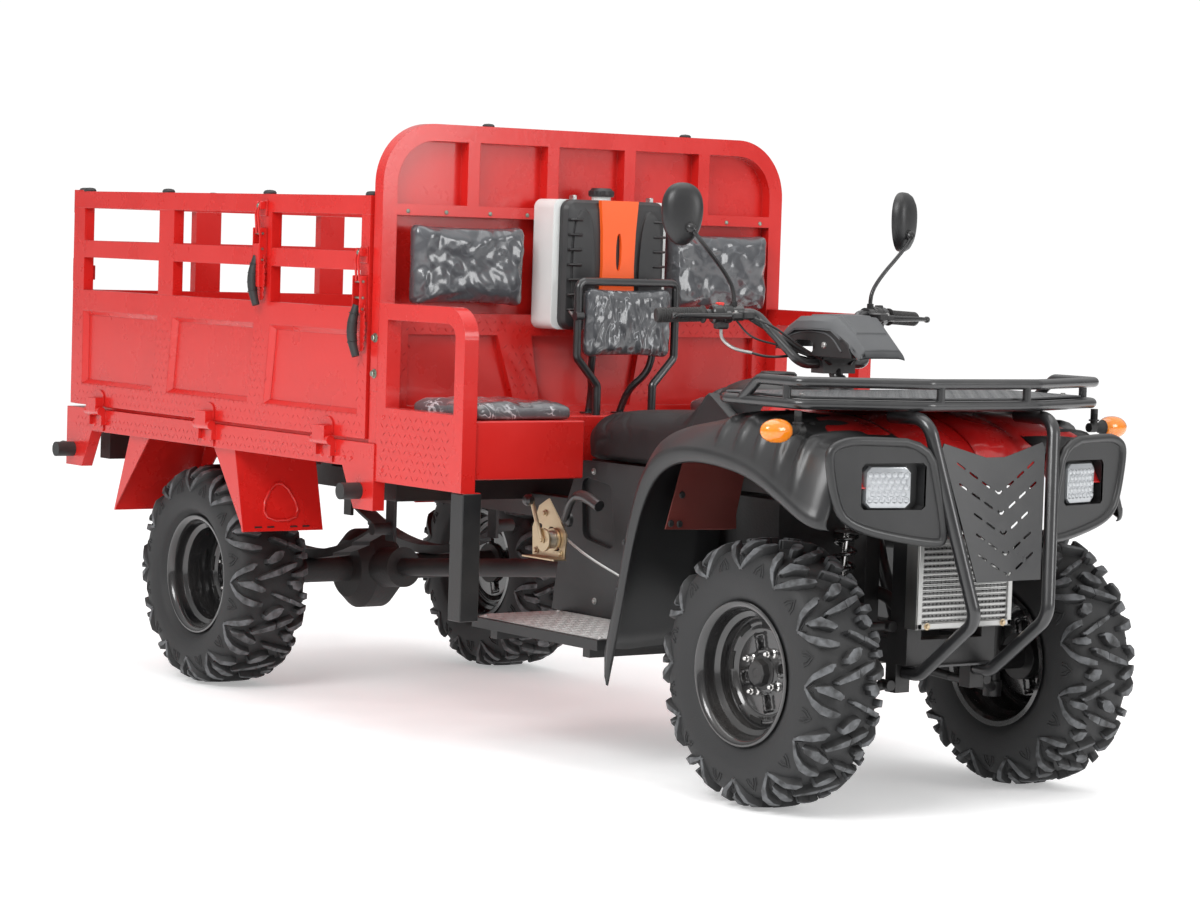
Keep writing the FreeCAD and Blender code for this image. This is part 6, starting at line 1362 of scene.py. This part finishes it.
def film_effect():
    """Clear film over a cover: fine drawn wrinkles with pale painted highlights on their crests, and uneven
    gloss.
    """
    tree, given, out = effect("crinkled_film", {
        "Colour": (0.05, 0.05, 0.055, 1.0), "Film Colour": (0.6, 0.6, 0.62, 1.0), "Fold Size": 12.0,
        "Streaks": 0.5, "Fold Depth": 0.004, "Drawn": 1.0, "Thin": 0.02},
        ("Base Color", "Roughness", "Normal"))
    place = wired(tree, "TexCoord").outputs["Object"]
    stretch = wired(tree, "CombineXYZ", {"X": 1.0, "Y": 1.0, "Z": given["Drawn"]}).outputs["Vector"]
    bent = wired(tree, "TexNoise", {"Vector": place, "Scale": 7.0, "Detail": 2.0}).outputs["Color"]
    bent = wired(tree, "VectorMath", {0: bent, "Scale": 0.09}, operation="SCALE").outputs["Vector"]
    where = wired(tree, "VectorMath", {0: place, 1: bent}, operation="ADD").outputs["Vector"]
    drawn = wired(tree, "VectorMath", {0: where, 1: stretch}, operation="MULTIPLY").outputs["Vector"]
    ridges = clouds(tree, drawn, given["Fold Size"], 2.5, Roughness=0.5, Distortion=0.5)
    fold = maths(tree, "SUBTRACT", ridges, 0.5)
    fold = maths(tree, "ABSOLUTE", fold)
    crest = mapped(tree, fold, given["Thin"], 0.0, smooth=True)
    cloud = clouds(tree, where, 14.0, 2.0)
    patch = mapped(tree, cloud, 0.42, 0.64, smooth=True)
    # The pale colour laid on the wrinkle crests, in patches, is painted highlight.
    pale = maths(tree, "MULTIPLY", crest, patch)
    pale = maths(tree, "MULTIPLY", pale, given["Streaks"], clamp=True)
    colour = mixed(tree, pale, given["Colour"], given["Film Colour"])
    rough = maths(tree, "MULTIPLY_ADD", cloud, 0.3, 0.16)
    tall = maths(tree, "MULTIPLY_ADD", crest, 0.1, ridges)
    bump = wired(tree, "Bump", {"Height": tall, "Distance": given["Fold Depth"]}).outputs["Normal"]
    for label, socket in (("Base Color", colour), ("Roughness", rough), ("Normal", bump)):
        tree.links.new(socket, out[label])
    return tree


FILM = film_effect()


def wrapped(name, **values):
    """Vinyl under crinkled film, with its own folds."""
    return covered(name, FILM, values, {"Coat Weight": 1.0, "Coat Roughness": 0.12})


def cushion_blank(low, high, corner):
    """A flat-backed box pad with rounded corners, drawn in at its seams. Its broad face looks along +Z."""
    low, high = Vector(low), Vector(high)
    middle, tall, outline = (low + high) / 2, high.z - low.z, []
    for cx, cy, start in ((high.x, high.y, 0), (low.x, high.y, 90), (low.x, low.y, 180),
                          (high.x, low.y, 270)):
        mx, my = cx - copysign(corner, cx - middle.x), cy - copysign(corner, cy - middle.y)
        for k in range(6):
            angle = radians(start + 18 * k)
            outline.append((mx + corner * cos(angle), my + corner * sin(angle)))
    rings = []
    for share, inset in ((0.0, 0.01), (0.06, 0.002), (0.5, 0.0), (0.9, 0.003), (1.0, 0.014)):
        pull = 1 - (inset + 0.006) / max((high - low).x / 2, 0.05)
        rings.append([Vector((middle.x + (x - middle.x) * pull, middle.y + (y - middle.y) * pull,
                              low.z + tall * share)) for x, y in outline])
    return rings


def crease(place, size, deep, seed):
    """Large folds of the film, as a small move out of the surface."""
    spot = place * size + Vector((seed, seed * 1.7, seed * 0.6))
    return deep * (abs(noise.noise(spot)) * 2 - 0.6) + deep * 0.5 * (abs(noise.noise(spot * 2.3)) * 2 - 0.5)


# Each film's pale colour is painted highlight on its wrinkle crests.
seat_film = wrapped("bench_film", colour=(0.1, 0.101, 0.108), film_colour=(0.74, 0.75, 0.78),
                    fold_size=30.0, streaks=0.85, fold_depth=0.0022, thin=0.034)
back_film = wrapped("back_film", colour=(0.06, 0.064, 0.071), film_colour=(0.32, 0.34, 0.37),
                    fold_size=8.0, streaks=0.22, fold_depth=0.0022, thin=0.016)
pad_film = wrapped("pad_film", colour=(0.058, 0.061, 0.067), film_colour=(0.6, 0.62, 0.64),
                   fold_size=60.0, streaks=0.75, fold_depth=0.001, drawn=0.2, thin=0.03)
cloth_low, cloth_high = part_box("bench_cushions")
deck_top = cloth_low.z
for side, label in SIDES:
    blank = Blank()
    low = Vector((cloth_low.x + 0.004, 0.29, deck_top + 0.0005))
    high = Vector((cloth_high.x - 0.002, 0.618, deck_top + 0.036))
    blank.skin([[(p.x, p.y * side, p.z) for p in ring] for ring in cushion_blank(low, high, 0.02)])
    pad = blank.made("bench_cushion_" + label, [seat_film], "chassis", "seat", once(side, "bench_cushions"))

    def rest(p):
        lift = crease(p, 16.0, 0.0035, side * 3.0) * smooth_step(p.z, deck_top + 0.008, deck_top + 0.03)
        return Vector((p.x, p.y, max(p.z + lift, deck_top + 0.0006)))
    stuffed(pad, 0.008, 4.0, 0.01, rest)
for side, label in SIDES:
    blank = Blank()
    flat = cushion_blank((1.123, 0.22, 0.0), (1.357, 0.611, 0.046), 0.018)
    face = at(BOARD_FACE, 0, 0).x + 0.0006
    blank.skin([[(face + p.z, p.y * side, p.x) for p in ring] for ring in flat])
    pad = blank.made("back_cushion_" + label, [back_film], "chassis", "seat", once(side, "back_cushions"))

    def hang(p):
        out = smooth_step(p.x, face + 0.01, face + 0.04)
        return Vector((max(p.x + crease(p, 13.0, 0.006, side * 5.0) * out, face), p.y, p.z))
    stuffed(pad, 0.008, 4.0, 0.012, hang)

# Backrest. A bent steel loop stands on the bench behind the saddle, with two stays that run back from
# it. Its foam pad is clipped in front, wrapped in drawn film.

dress(satin_black, "backrest_frame")
blank = Blank()
for sign in (1, -1):
    blank.pipe(softened([at(-1.166, 0.1 * sign, 1.02), at(-1.18, 0.096 * sign, 0.965),
                         at(-1.222, 0.06 * sign, 0.915), at(-1.245, 0.052 * sign, 0.853)], 3), 0.01, 0, 14)
    blank.turned([(0, 0.024), (0.003, 0.024), (0.004, 0.011), (0.004, 0)], at(-1.245, 0.052 * sign, 0.8515),
                 (0, 0, 1), 20, 0)
    blank.pipe([at(-1.15, 0.15 * sign, 1.115), at(-1.15, 0.175 * sign, 1.115)], 0.012, 0, 12)
blank.made("backrest_stays", [satin_black], "chassis", "frame_black", sharp=40)
pad_low, pad_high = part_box("backrest_pad")
blank = Blank()
pad_back = pad_low.x + 0.004
flat = cushion_blank((pad_low.z - 0.004, pad_low.y - 0.008, 0.0),
                     (pad_high.z + 0.004, pad_high.y + 0.008, 0.034), 0.026)
blank.skin([[(pad_back + p.z, p.y, p.x) for p in ring] for ring in flat])
pad = blank.made("backrest_cushion", [pad_film], "chassis", "seat", ("backrest_pad",))


def clipped(p):
    out = smooth_step(p.x, pad_back + 0.006, pad_back + 0.03)
    folds = crease(Vector((p.x, p.y, p.z * 0.35)), 42.0, 0.0032, 9.0)
    return Vector((max(p.x + folds * out, pad_low.x), p.y, p.z))


stuffed(pad, 0.006, 4.0, 0.008, clipped)

# Water tank. A white moulded can hangs on the headboard behind a ribbed black cover, which has an
# orange strip with a sight slot. A white screw neck and a black cap close it.

tank_white = finish("tank_white", (0.7, 0.72, 0.71), 0.35, soft_edge=0.006, dust_colour=(0.4, 0.38, 0.34))
strip_orange = finish("strip_orange", (0.95, 0.115, 0.012), 0.34, mottle=0.08, dust=0.03,
                      grain_size=600.0, grain_depth=0.00012)
tank_black = finish("tank_black", (0.017, 0.0175, 0.019), 0.38, mottle=0.12, soft_edge=0.003,
                    grain_size=700.0, grain_depth=0.0002)
dress(tank_white, "tank")
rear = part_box("tank_cover")[0].x
face = rear + 0.03
blank = Blank()
rings = []
for x, inset in ((rear, 0.0), (face - 0.016, 0.0), (face - 0.004, 0.008), (face, 0.024)):
    ring = []
    for (y, z), start in zip(box_line(-0.138, 0.138, 1.106, 1.394), (180, 270, 0, 90)):
        angles = [radians(start + 18 * k) for k in range(6)]
        ring += [(x, y + (0.03 - inset) * cos(a), z + (0.03 - inset) * sin(a)) for a in angles]
    rings.append(ring)
blank.skin(rings)
for sign in (1, -1):
    panel = [(0.078, 1.1), (0.14, 1.112), (0.148, 1.25), (0.14, 1.392), (0.088, 1.404), (0.07, 1.25)]
    blank.skin([[(face - 0.001 + t, a * sign, 1.25 + (u - 1.25) * s) for a, u in rounded(panel)]
                for t, s in ((0.0, 1.0), (0.006, 0.985), (0.008, 0.96))])
    for k in range(7):
        z = 1.13 + 0.04 * k
        blank.block((face - 0.002, 0.118 * sign, z - 0.0035), (face + 0.0125, 0.16 * sign, z + 0.0035), 0.003)
edge = [(-0.05, 1.08), (0.05, 1.08), (0.055, 1.16), (0.052, 1.25), (0.055, 1.34), (0.062, 1.424),
        (-0.062, 1.424), (-0.055, 1.34), (-0.052, 1.25), (-0.055, 1.16)]
slot = rounded(box_line(-0.009, 0.009, 1.236, 1.336))
blank.plate(edge, [slot], 0.014, lambda a, u, t: Vector((face + 0.012 - t, a, u)), 1)
blank.block((face - 0.002, -0.013, 1.23), (face + 0.002, 0.013, 1.342), 0.001)
for sign in (1, -1):
    blank.block((rear - 0.01, 0.128 * sign - 0.006, 1.416), (rear + 0.012, 0.128 * sign + 0.006, 1.436),
                0.002, 3)
    blank.pipe([(face + 0.002, 0.15 * sign, 1.13), (face + 0.01, 0.128 * sign, 1.1)], 0.006, 3, 12)
blank.made("ribbed_cover", [tank_black, strip_orange, tank_black, screw_steel], "chassis", "body_black",
           ("tank_cover",), sharp=32)
cap_low, cap_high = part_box("tank_cap")
neck = Vector(((cap_low.x + cap_high.x) / 2, (cap_low.y + cap_high.y) / 2, cap_low.z))
blank = Blank()
blank.turned([(0, 0.0), (0, 0.026), (0.01, 0.026), (0.01, 0.024), (0.012, 0.024)], neck, (0, 0, 1), 32, 1)
blank.turned([(0.01, 0.0), (0.01, 0.033), (0.014, 0.0345), (0.026, 0.0335), (0.0335, 0.026), (0.0335, 0)],
             neck, (0, 0, 1), 32, 0)
knurls(blank, neck + Vector((0, 0, 0.013)), 0.0335, 0.013, 0.0016, 20)
blank.made("neck_cap", [tank_black, tank_white], "chassis", "moulded_black", ("tank_cap",), sharp=40)

# Mudguards. Red sheet flaps hang before and behind each rear wheel, folded along their free edge and
# pressed with a triangle; the slots near the foot that let mud out are short dark bars of painted shade.

FLAP_FOOT, FLAP_TALL = 0.475, 0.225
blank = Blank()
for side in (1, -1):
    for foot, top, sign in ((-2.027, -2.083, 1), (-2.788, -2.699, -1)):
        slant = atan2(foot - top, FLAP_TALL)
        outward = Vector((cos(slant) * sign, 0, sin(slant) * sign))

        def on_flap(a, u, t):
            return at(foot + (top - foot) * u / FLAP_TALL, a * side, FLAP_FOOT + u) + outward * t
        pressing = [on_flap(a, u, 0.0015) for a, u in ((0.452, 0.03), (0.612, 0.03), (0.53, 0.165))]
        blank.pipe(softened(pressing, 2, True), 0.004, 0, 8, loop=True)
        # The mud slots are short bars in the near-black painted shade finish.
        for a in (0.455, 0.495, 0.57, 0.61):
            blank.pipe([on_flap(a - 0.011, 0.012, 0.0008), on_flap(a + 0.011, 0.012, 0.0008)], 0.0022, 1, 8)
blank.made("mudguard_pressing", [bed_red, shadow], "chassis", "bed_red", sharp=60)

# Handlebar. A bent black tube is clamped over the steering column and braced below. Ribbed rubber
# grips, switch blocks and brake perches sit on it, with two bent-wire mirror stems.

dress(satin_black, "handlebar")
BAR_IN, BAR_OUT = (-0.4, 0.165, 1.15), (-0.47, 0.42, 1.139)
mirror_glass = finish("mirror_glass", (0.86, 0.88, 0.9), 0.02, 1.0, mottle=0.01, dust=0.01, soft_edge=0.0)
button_red = finish("button_red", (0.75, 0.03, 0.02), 0.35, mottle=0.05, dust=0.02, soft_edge=0.001)
stem_black = finish("stem_black", (0.013, 0.013, 0.014), 0.24, dust=0.05, soft_edge=0.001)
mirror_shell = finish("mirror_shell", (0.013, 0.0135, 0.0145), 0.34, mottle=0.08, dust=0.05, soft_edge=0.001,
                      grain_size=900.0, grain_depth=0.00012)


def on_bar(share, side):
    """A place along the straight outer part of the bar, and the way along it."""
    start, end = at(*BAR_IN), at(*BAR_OUT)
    spot = start.lerp(end, share)
    way = (end - start).normalized()
    return Vector((spot.x, spot.y * side, spot.z)), Vector((way.x, way.y * side, way.z))


for side, label in SIDES:
    spot, way = on_bar(0.52, side)
    long = 0.126
    profile = [(0.0, 0.0125), (0.0, 0.0215), (0.004, 0.0225), (0.008, 0.018)]
    for k in range(17):
        along = 0.012 + 0.0062 * k
        profile += [(along, 0.0172), (along + 0.0008, 0.0184), (along + 0.0036, 0.0184),
                    (along + 0.0044, 0.0172)]
    profile += [(long - 0.004, 0.0185), (long, 0.0165), (long + 0.0015, 0.01), (long + 0.0015, 0.0)]
    blank = Blank()
    blank.turned(profile, spot, way, 28, 0)
    blank.made("grip_" + label, [soft_rubber], "steering", "rubber", once(side, "grips"), sharp=50)

    forward, down = Vector((1, 0, 0)), Vector((0, 0, -1))
    blank = Blank()
    place, way = on_bar(0.34, side)
    blank.turned([(-0.026, 0.0125), (-0.026, 0.0205), (-0.022, 0.0235), (-0.004, 0.0245), (-0.002, 0.0225),
                  (0.002, 0.0225), (0.004, 0.025), (0.024, 0.024), (0.028, 0.0205), (0.028, 0.0125)], place,
                 way, 24, 0)
    blank.block(place - Vector((0.012, 0.018, 0.038)), place + Vector((0.012, 0.018, -0.012)), 0.004)
    top = place + Vector((0, 0.006 * side, 0.022))
    blank.block(top - Vector((0.008, 0.009, 0.004)), top + Vector((0.008, 0.009, 0.006)), 0.002,
                1 if side < 0 else 0)
    near, way = on_bar(0.2, side)
    blank.turned([(-0.018, 0.0125), (-0.018, 0.019), (0.012, 0.019), (0.012, 0.0125)], near, way, 20, 0)
    pivot = near + forward * 0.046 + way * 0.03 + down * 0.004
    blank.block(near - Vector((0.004, 0.016, 0.014)), near + Vector((0.06, 0.016, 0.008)), 0.004)
    blank.block(pivot - Vector((0.014, 0.016, 0.008)), pivot + Vector((0.014, 0.016, 0.008)), 0.003)
    blank.bolt(pivot + Vector((0, 0, 0.008)), (0, 0, 1), 0.01, 2, 6, 0.5)
    tip, way = on_bar(0.93, side)
    lever = softened([pivot, pivot + way * 0.04 + forward * 0.01, tip + forward * 0.062 - way * 0.04,
                      tip + forward * 0.058], 3)
    blank.pipe(lever, [0.0085 - 0.003 * i / len(lever) for i in range(len(lever))], 3, 12)
    blank.turned([(-0.008, 0.0), (-0.007, 0.005), (-0.003, 0.0082), (0.003, 0.0082), (0.007, 0.005),
                  (0.008, 0.0)], tip + forward * 0.058 + way * 0.006, way, 14, 3)
    # A bent metal guide leads the brake cable down from the perch, and the cable goes in behind the pod.
    start = place + down * 0.036
    guide = softened([start + Vector((x, y * side, z)) for x, y, z in (
        (0, 0, 0), (0, 0, -0.026), (0.03, -0.018, -0.05), (0.06, -0.052, -0.058))], 3)
    blank.pipe(guide, 0.0042, 2, 10)
    blank.bolt(start + Vector((0, 0, 0.004)), (0, 0, -1), 0.011, 2, 6, 0.6)
    for start, bend, (x, y, z), (into_x, into_y, into_z), thick, sides in (
            (guide[-1], (0.03, -0.03, -0.01), (-0.33, 0.075, 1.05), (-0.3, 0.02, 1.025), 0.0034, 10),
            (near + Vector((0.05, -0.012 * side, -0.008)), (0.04, -0.04, -0.02), (-0.29, 0.09, 1.062),
             (-0.262, 0.03, 1.03), 0.003, 10),
            (near + Vector((0, 0, -0.013)), (0.035, -0.02, -0.047), (-0.33, 0.12, 1.07),
             (-0.285, 0.04, 1.035), 0.0026, 8)):
        cable = [start, start + Vector((bend[0], bend[1] * side, bend[2])), at(x, y * side, z),
                 at(into_x, into_y * side, into_z)]
        blank.pipe(softened(cable, 3), thick, 0, sides)
    brace_top, way = on_bar(0.02, side)
    blank.pipe([brace_top + way * 0.03, at(-0.296, 0.05 * side, 1.04)], 0.0065, 3, 12)
    blank.made("bar_fittings_" + label, [knob_black, button_red, screw_steel, stem_black], "steering",
               "moulded_black", once(side, "bar_controls"), sharp=38)

    # Mirror: an egg-shaped shell on a bent stem, toed in so that the rider sees behind.
    base, way = on_bar(0.22, side)
    centre = at(-0.452, 0.36 * side, 1.388)
    turn = Matrix.Rotation(radians(24) * side, 4, "Z")
    blank = Blank()

    def egg(k, scale):
        angle = 2 * pi * k / 40
        c, s = cos(angle), sin(angle)
        wide = 0.0515 * (1.0 + 0.12 * s)
        return (wide * copysign(abs(c) ** 0.86, c) * scale, 0.077 * copysign(abs(s) ** 0.92, s) * scale)
    rings = []
    for out, scale in ((-0.012, 0.9), (-0.016, 0.94), (-0.015, 0.985), (-0.01, 1.0), (0.0, 0.985),
                       (0.009, 0.91), (0.016, 0.76), (0.02, 0.52), (0.022, 0.25), (0.0225, 0.08)):
        rings.append([centre + turn @ Vector((out, *egg(k, scale))) for k in range(40)])
    blank.skin(rings, 0)
    blank.skin([[centre + turn @ Vector((-0.0125 - 0.0004 * i, *egg(k, scale))) for k in range(40)]
                for i, scale in enumerate((0.905, 0.6, 0.2))], 1)
    joint = centre + turn @ Vector((0.022, -0.016 * side, -0.034))
    blank.turned([(-0.014, 0.0), (-0.012, 0.009), (-0.004, 0.0135), (0.006, 0.012), (0.012, 0.007),
                  (0.012, 0.0)], joint, (0.7, -0.3 * side, -0.6), 18, 2)
    foot = base + Vector((0, 0, 0.012))
    blank.turned([(-0.02, 0.0), (-0.02, 0.012), (0.004, 0.012), (0.004, 0.0085), (0.018, 0.0085),
                  (0.018, 0.0)], foot, (0, 0, 1), 6, 2)
    stem = softened([foot, foot + Vector((0, 0, 0.058)), joint + Vector((0.014, -0.012 * side, -0.02)),
                     joint], 3)
    blank.pipe(stem, 0.0052, 2, 12)
    blank.made("mirror_" + label, [mirror_shell, mirror_glass, stem_black], "steering", "mirror_black",
               once(side, "mirrors"), sharp=44)

# Instrument pod. A grey top shell with a raised panel is screwed over two black side cheeks; the
# display faces the rider, and a black block and the clamp carry it on the column.

pod_grey = finish("pod_grey", (0.075, 0.078, 0.082), 0.36, dust=0.12, soft_edge=0.003,
                  dust_colour=(0.26, 0.26, 0.26), grain_size=500.0)
pod_black = finish("pod_black", (0.013, 0.0135, 0.0145), 0.36, mottle=0.08, dust=0.08, soft_edge=0.003)
display_glass = finish("display_glass", (0.01, 0.012, 0.014), 0.05, mottle=0.02, dust=0.02, soft_edge=0.0,
                       coat=(1.0, 0.02))
TOP_LINE = [(-0.428, 1.092), (-0.392, 1.122), (-0.34, 1.146), (-0.27, 1.1495), (-0.207, 1.148),
            (-0.15, 1.108), (-0.108, 1.072)]
blank = Blank()
rings = []
for x, z in TOP_LINE:
    share = (x + 0.428) / 0.32
    half = 0.074 + 0.016 * sin(pi * min(1.0, share * 1.15))
    foot = 1.05 + 0.012 * max(0.0, 0.5 - share)
    right = [(-half, max(foot, z - 0.03)), (-half + 0.006, z - 0.012), (-half + 0.02, z)]
    left = [(-y, up) for y, up in reversed(right)]
    rings.append([at(x, y, up) for y, up in right + [(0.0, z + 0.0015)] + left])
front = [at(-0.1052, p.y * 0.96, 1.05 + (p.z - 1.05) * 0.2) for p in rings[-1]]
lower = [[(p.x, p.y, p.z - 0.004) for p in ring] for ring in reversed(rings + [front])]
blank.skin(rings + [front] + lower, 0, closed=False, loop=True)
blank.skin([[at(x, y, z + lift) for y, lift in ((-half, -0.001), (-half + 0.004, 0.0045),
                                                (half - 0.004, 0.0045), (half, -0.001))]
            for (x, z), half in zip(TOP_LINE[2:6], (0.036, 0.042, 0.046, 0.05))], 0)
for sign in (1, -1):
    cheek = [(-0.424, 1.064), (-0.3, 1.05), (-0.13, 1.05), (-0.15, 1.084), (-0.207, 1.122), (-0.3, 1.126),
             (-0.38, 1.108), (-0.42, 1.084)]
    arch = [(-0.35, 1.06), (-0.285, 1.058), (-0.268, 1.072), (-0.288, 1.088), (-0.34, 1.088), (-0.362, 1.074)]
    blank.plate(cheek, [arch[::-1]], 0.006, lambda a, u, t: at(a, (0.0775 - t) * sign, u), 1)
    rim = [(-0.4, 1.072), (-0.378, 1.098), (-0.3, 1.112), (-0.215, 1.108), (-0.17, 1.064)]
    blank.pipe(softened([at(a, 0.0785 * sign, u) for a, u in rim], 2), 0.0022, 0, 8)
    for x in (-0.385, -0.235):
        blank.turned([(0, 0.0085), (0.003, 0.008), (0.005, 0.005), (0.005, 0)], at(x, 0.0775 * sign, 1.078),
                     (0, sign, 0), 16, 2)
blank.plate([(-0.066, 1.068), (0.066, 1.068), (0.062, 1.098), (-0.062, 1.098)], [], 0.003,
            lambda a, u, t: at(-0.424 + (u - 1.068) * 1.1 + t, a, u), 3)
blank.block(at(-0.33, -0.04, 1.0485), at(-0.215, 0.04, 1.11), 0.006, 1)
blank.made("pod_shell", [pod_grey, pod_black, screw_steel, display_glass], "steering", "moulded_black",
           ("instrument_pod",), sharp=30)

# Floor, lights and camera. A pale studio floor lies under three soft lights. The camera stands where
# the photograph was taken from, with its long lens and its slight roll.

floor_paint = finish("studio_floor", (0.9, 0.9, 0.9), 0.6, mottle=0.03, dust=0.0, soft_edge=0.0, sockets={
    "Emission Color": (1.0, 1.0, 1.0, 1.0), "Emission Strength": 0.34})
blank = Blank()
blank.skin([[(-30, -30, -0.001), (30, -30, -0.001)], [(-30, 30, -0.001), (30, 30, -0.001)]], closed=False)
blank.shaped("studio_floor", [floor_paint])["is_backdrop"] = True

world = bpy.data.worlds.new("studio")
bpy.context.scene.world = world
world.use_nodes = True
tree = world.node_tree
seen = tree.nodes["Background"]
seen.inputs["Strength"].default_value = 1.05
way = wired(tree, "TexCoord").outputs["Generated"]
height = wired(tree, "SeparateXYZ", {"Vector": way}).outputs["Z"]
glow = mapped(tree, height, -0.15, 0.85, 0.2, 0.95, smooth=True)
lit = wired(tree, "Background", {"Strength": glow})
camera_ray = wired(tree, "LightPath").outputs["Is Camera Ray"]
choice = wired(tree, "MixShader", {0: camera_ray, 1: lit.outputs[0], 2: seen.outputs[0]})
seen.inputs["Color"].default_value = lit.inputs["Color"].default_value = (1.0, 1.0, 1.0, 1.0)
tree.links.new(choice.outputs[0], tree.nodes["World Output"].inputs["Surface"])
bpy.context.scene.view_settings.view_transform = "Standard"


def soft_light(name, place, aim, size, power):
    """A broad white lamp that hangs at a place and looks at its aim."""
    light = bpy.data.lights.new(name, "AREA")
    light.shape, light.size, light.size_y, light.energy = "RECTANGLE", size[0], size[1], power
    lamp = bpy.data.objects.new(name, light)
    lamp.location = place
    lamp.rotation_euler = (Vector(aim) - Vector(place)).to_track_quat("-Z", "Y").to_euler()
    bpy.context.scene.collection.objects.link(lamp)


soft_light("key", (2.6, -5.2, 4.6), (0, 0, 0.7), (3.2, 2.4), 260)
soft_light("top", (0.0, 0.0, 5.5), (0, 0, 0), (6, 4), 110)
soft_light("side", (6.5, 2.5, 2.6), (0.5, 0, 0.7), (2.4, 2.4), 120)

camera = bpy.data.cameras.new("camera")
camera.lens, camera.sensor_width, camera.sensor_fit = 101.13, 36.0, "HORIZONTAL"
camera.clip_end = 100.0
yaw, pitch, roll = radians(53.82), radians(3.55), radians(1.79)
look = Vector((-sin(yaw) * cos(pitch), cos(yaw) * cos(pitch), -sin(pitch)))
across = Vector((cos(yaw), sin(yaw), 0))
up = across.cross(look)
right_way = across * cos(roll) + up * sin(roll)
up_way = up * cos(roll) - across * sin(roll)
eye = bpy.data.objects.new("camera", camera)
turn = Matrix((right_way, up_way, -look)).transposed().to_4x4()
eye.matrix_world = Matrix.Translation(at(6.11, -5.388, 1.316)) @ turn
bpy.context.scene.collection.objects.link(eye)
bpy.context.scene.camera = eye

low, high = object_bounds()
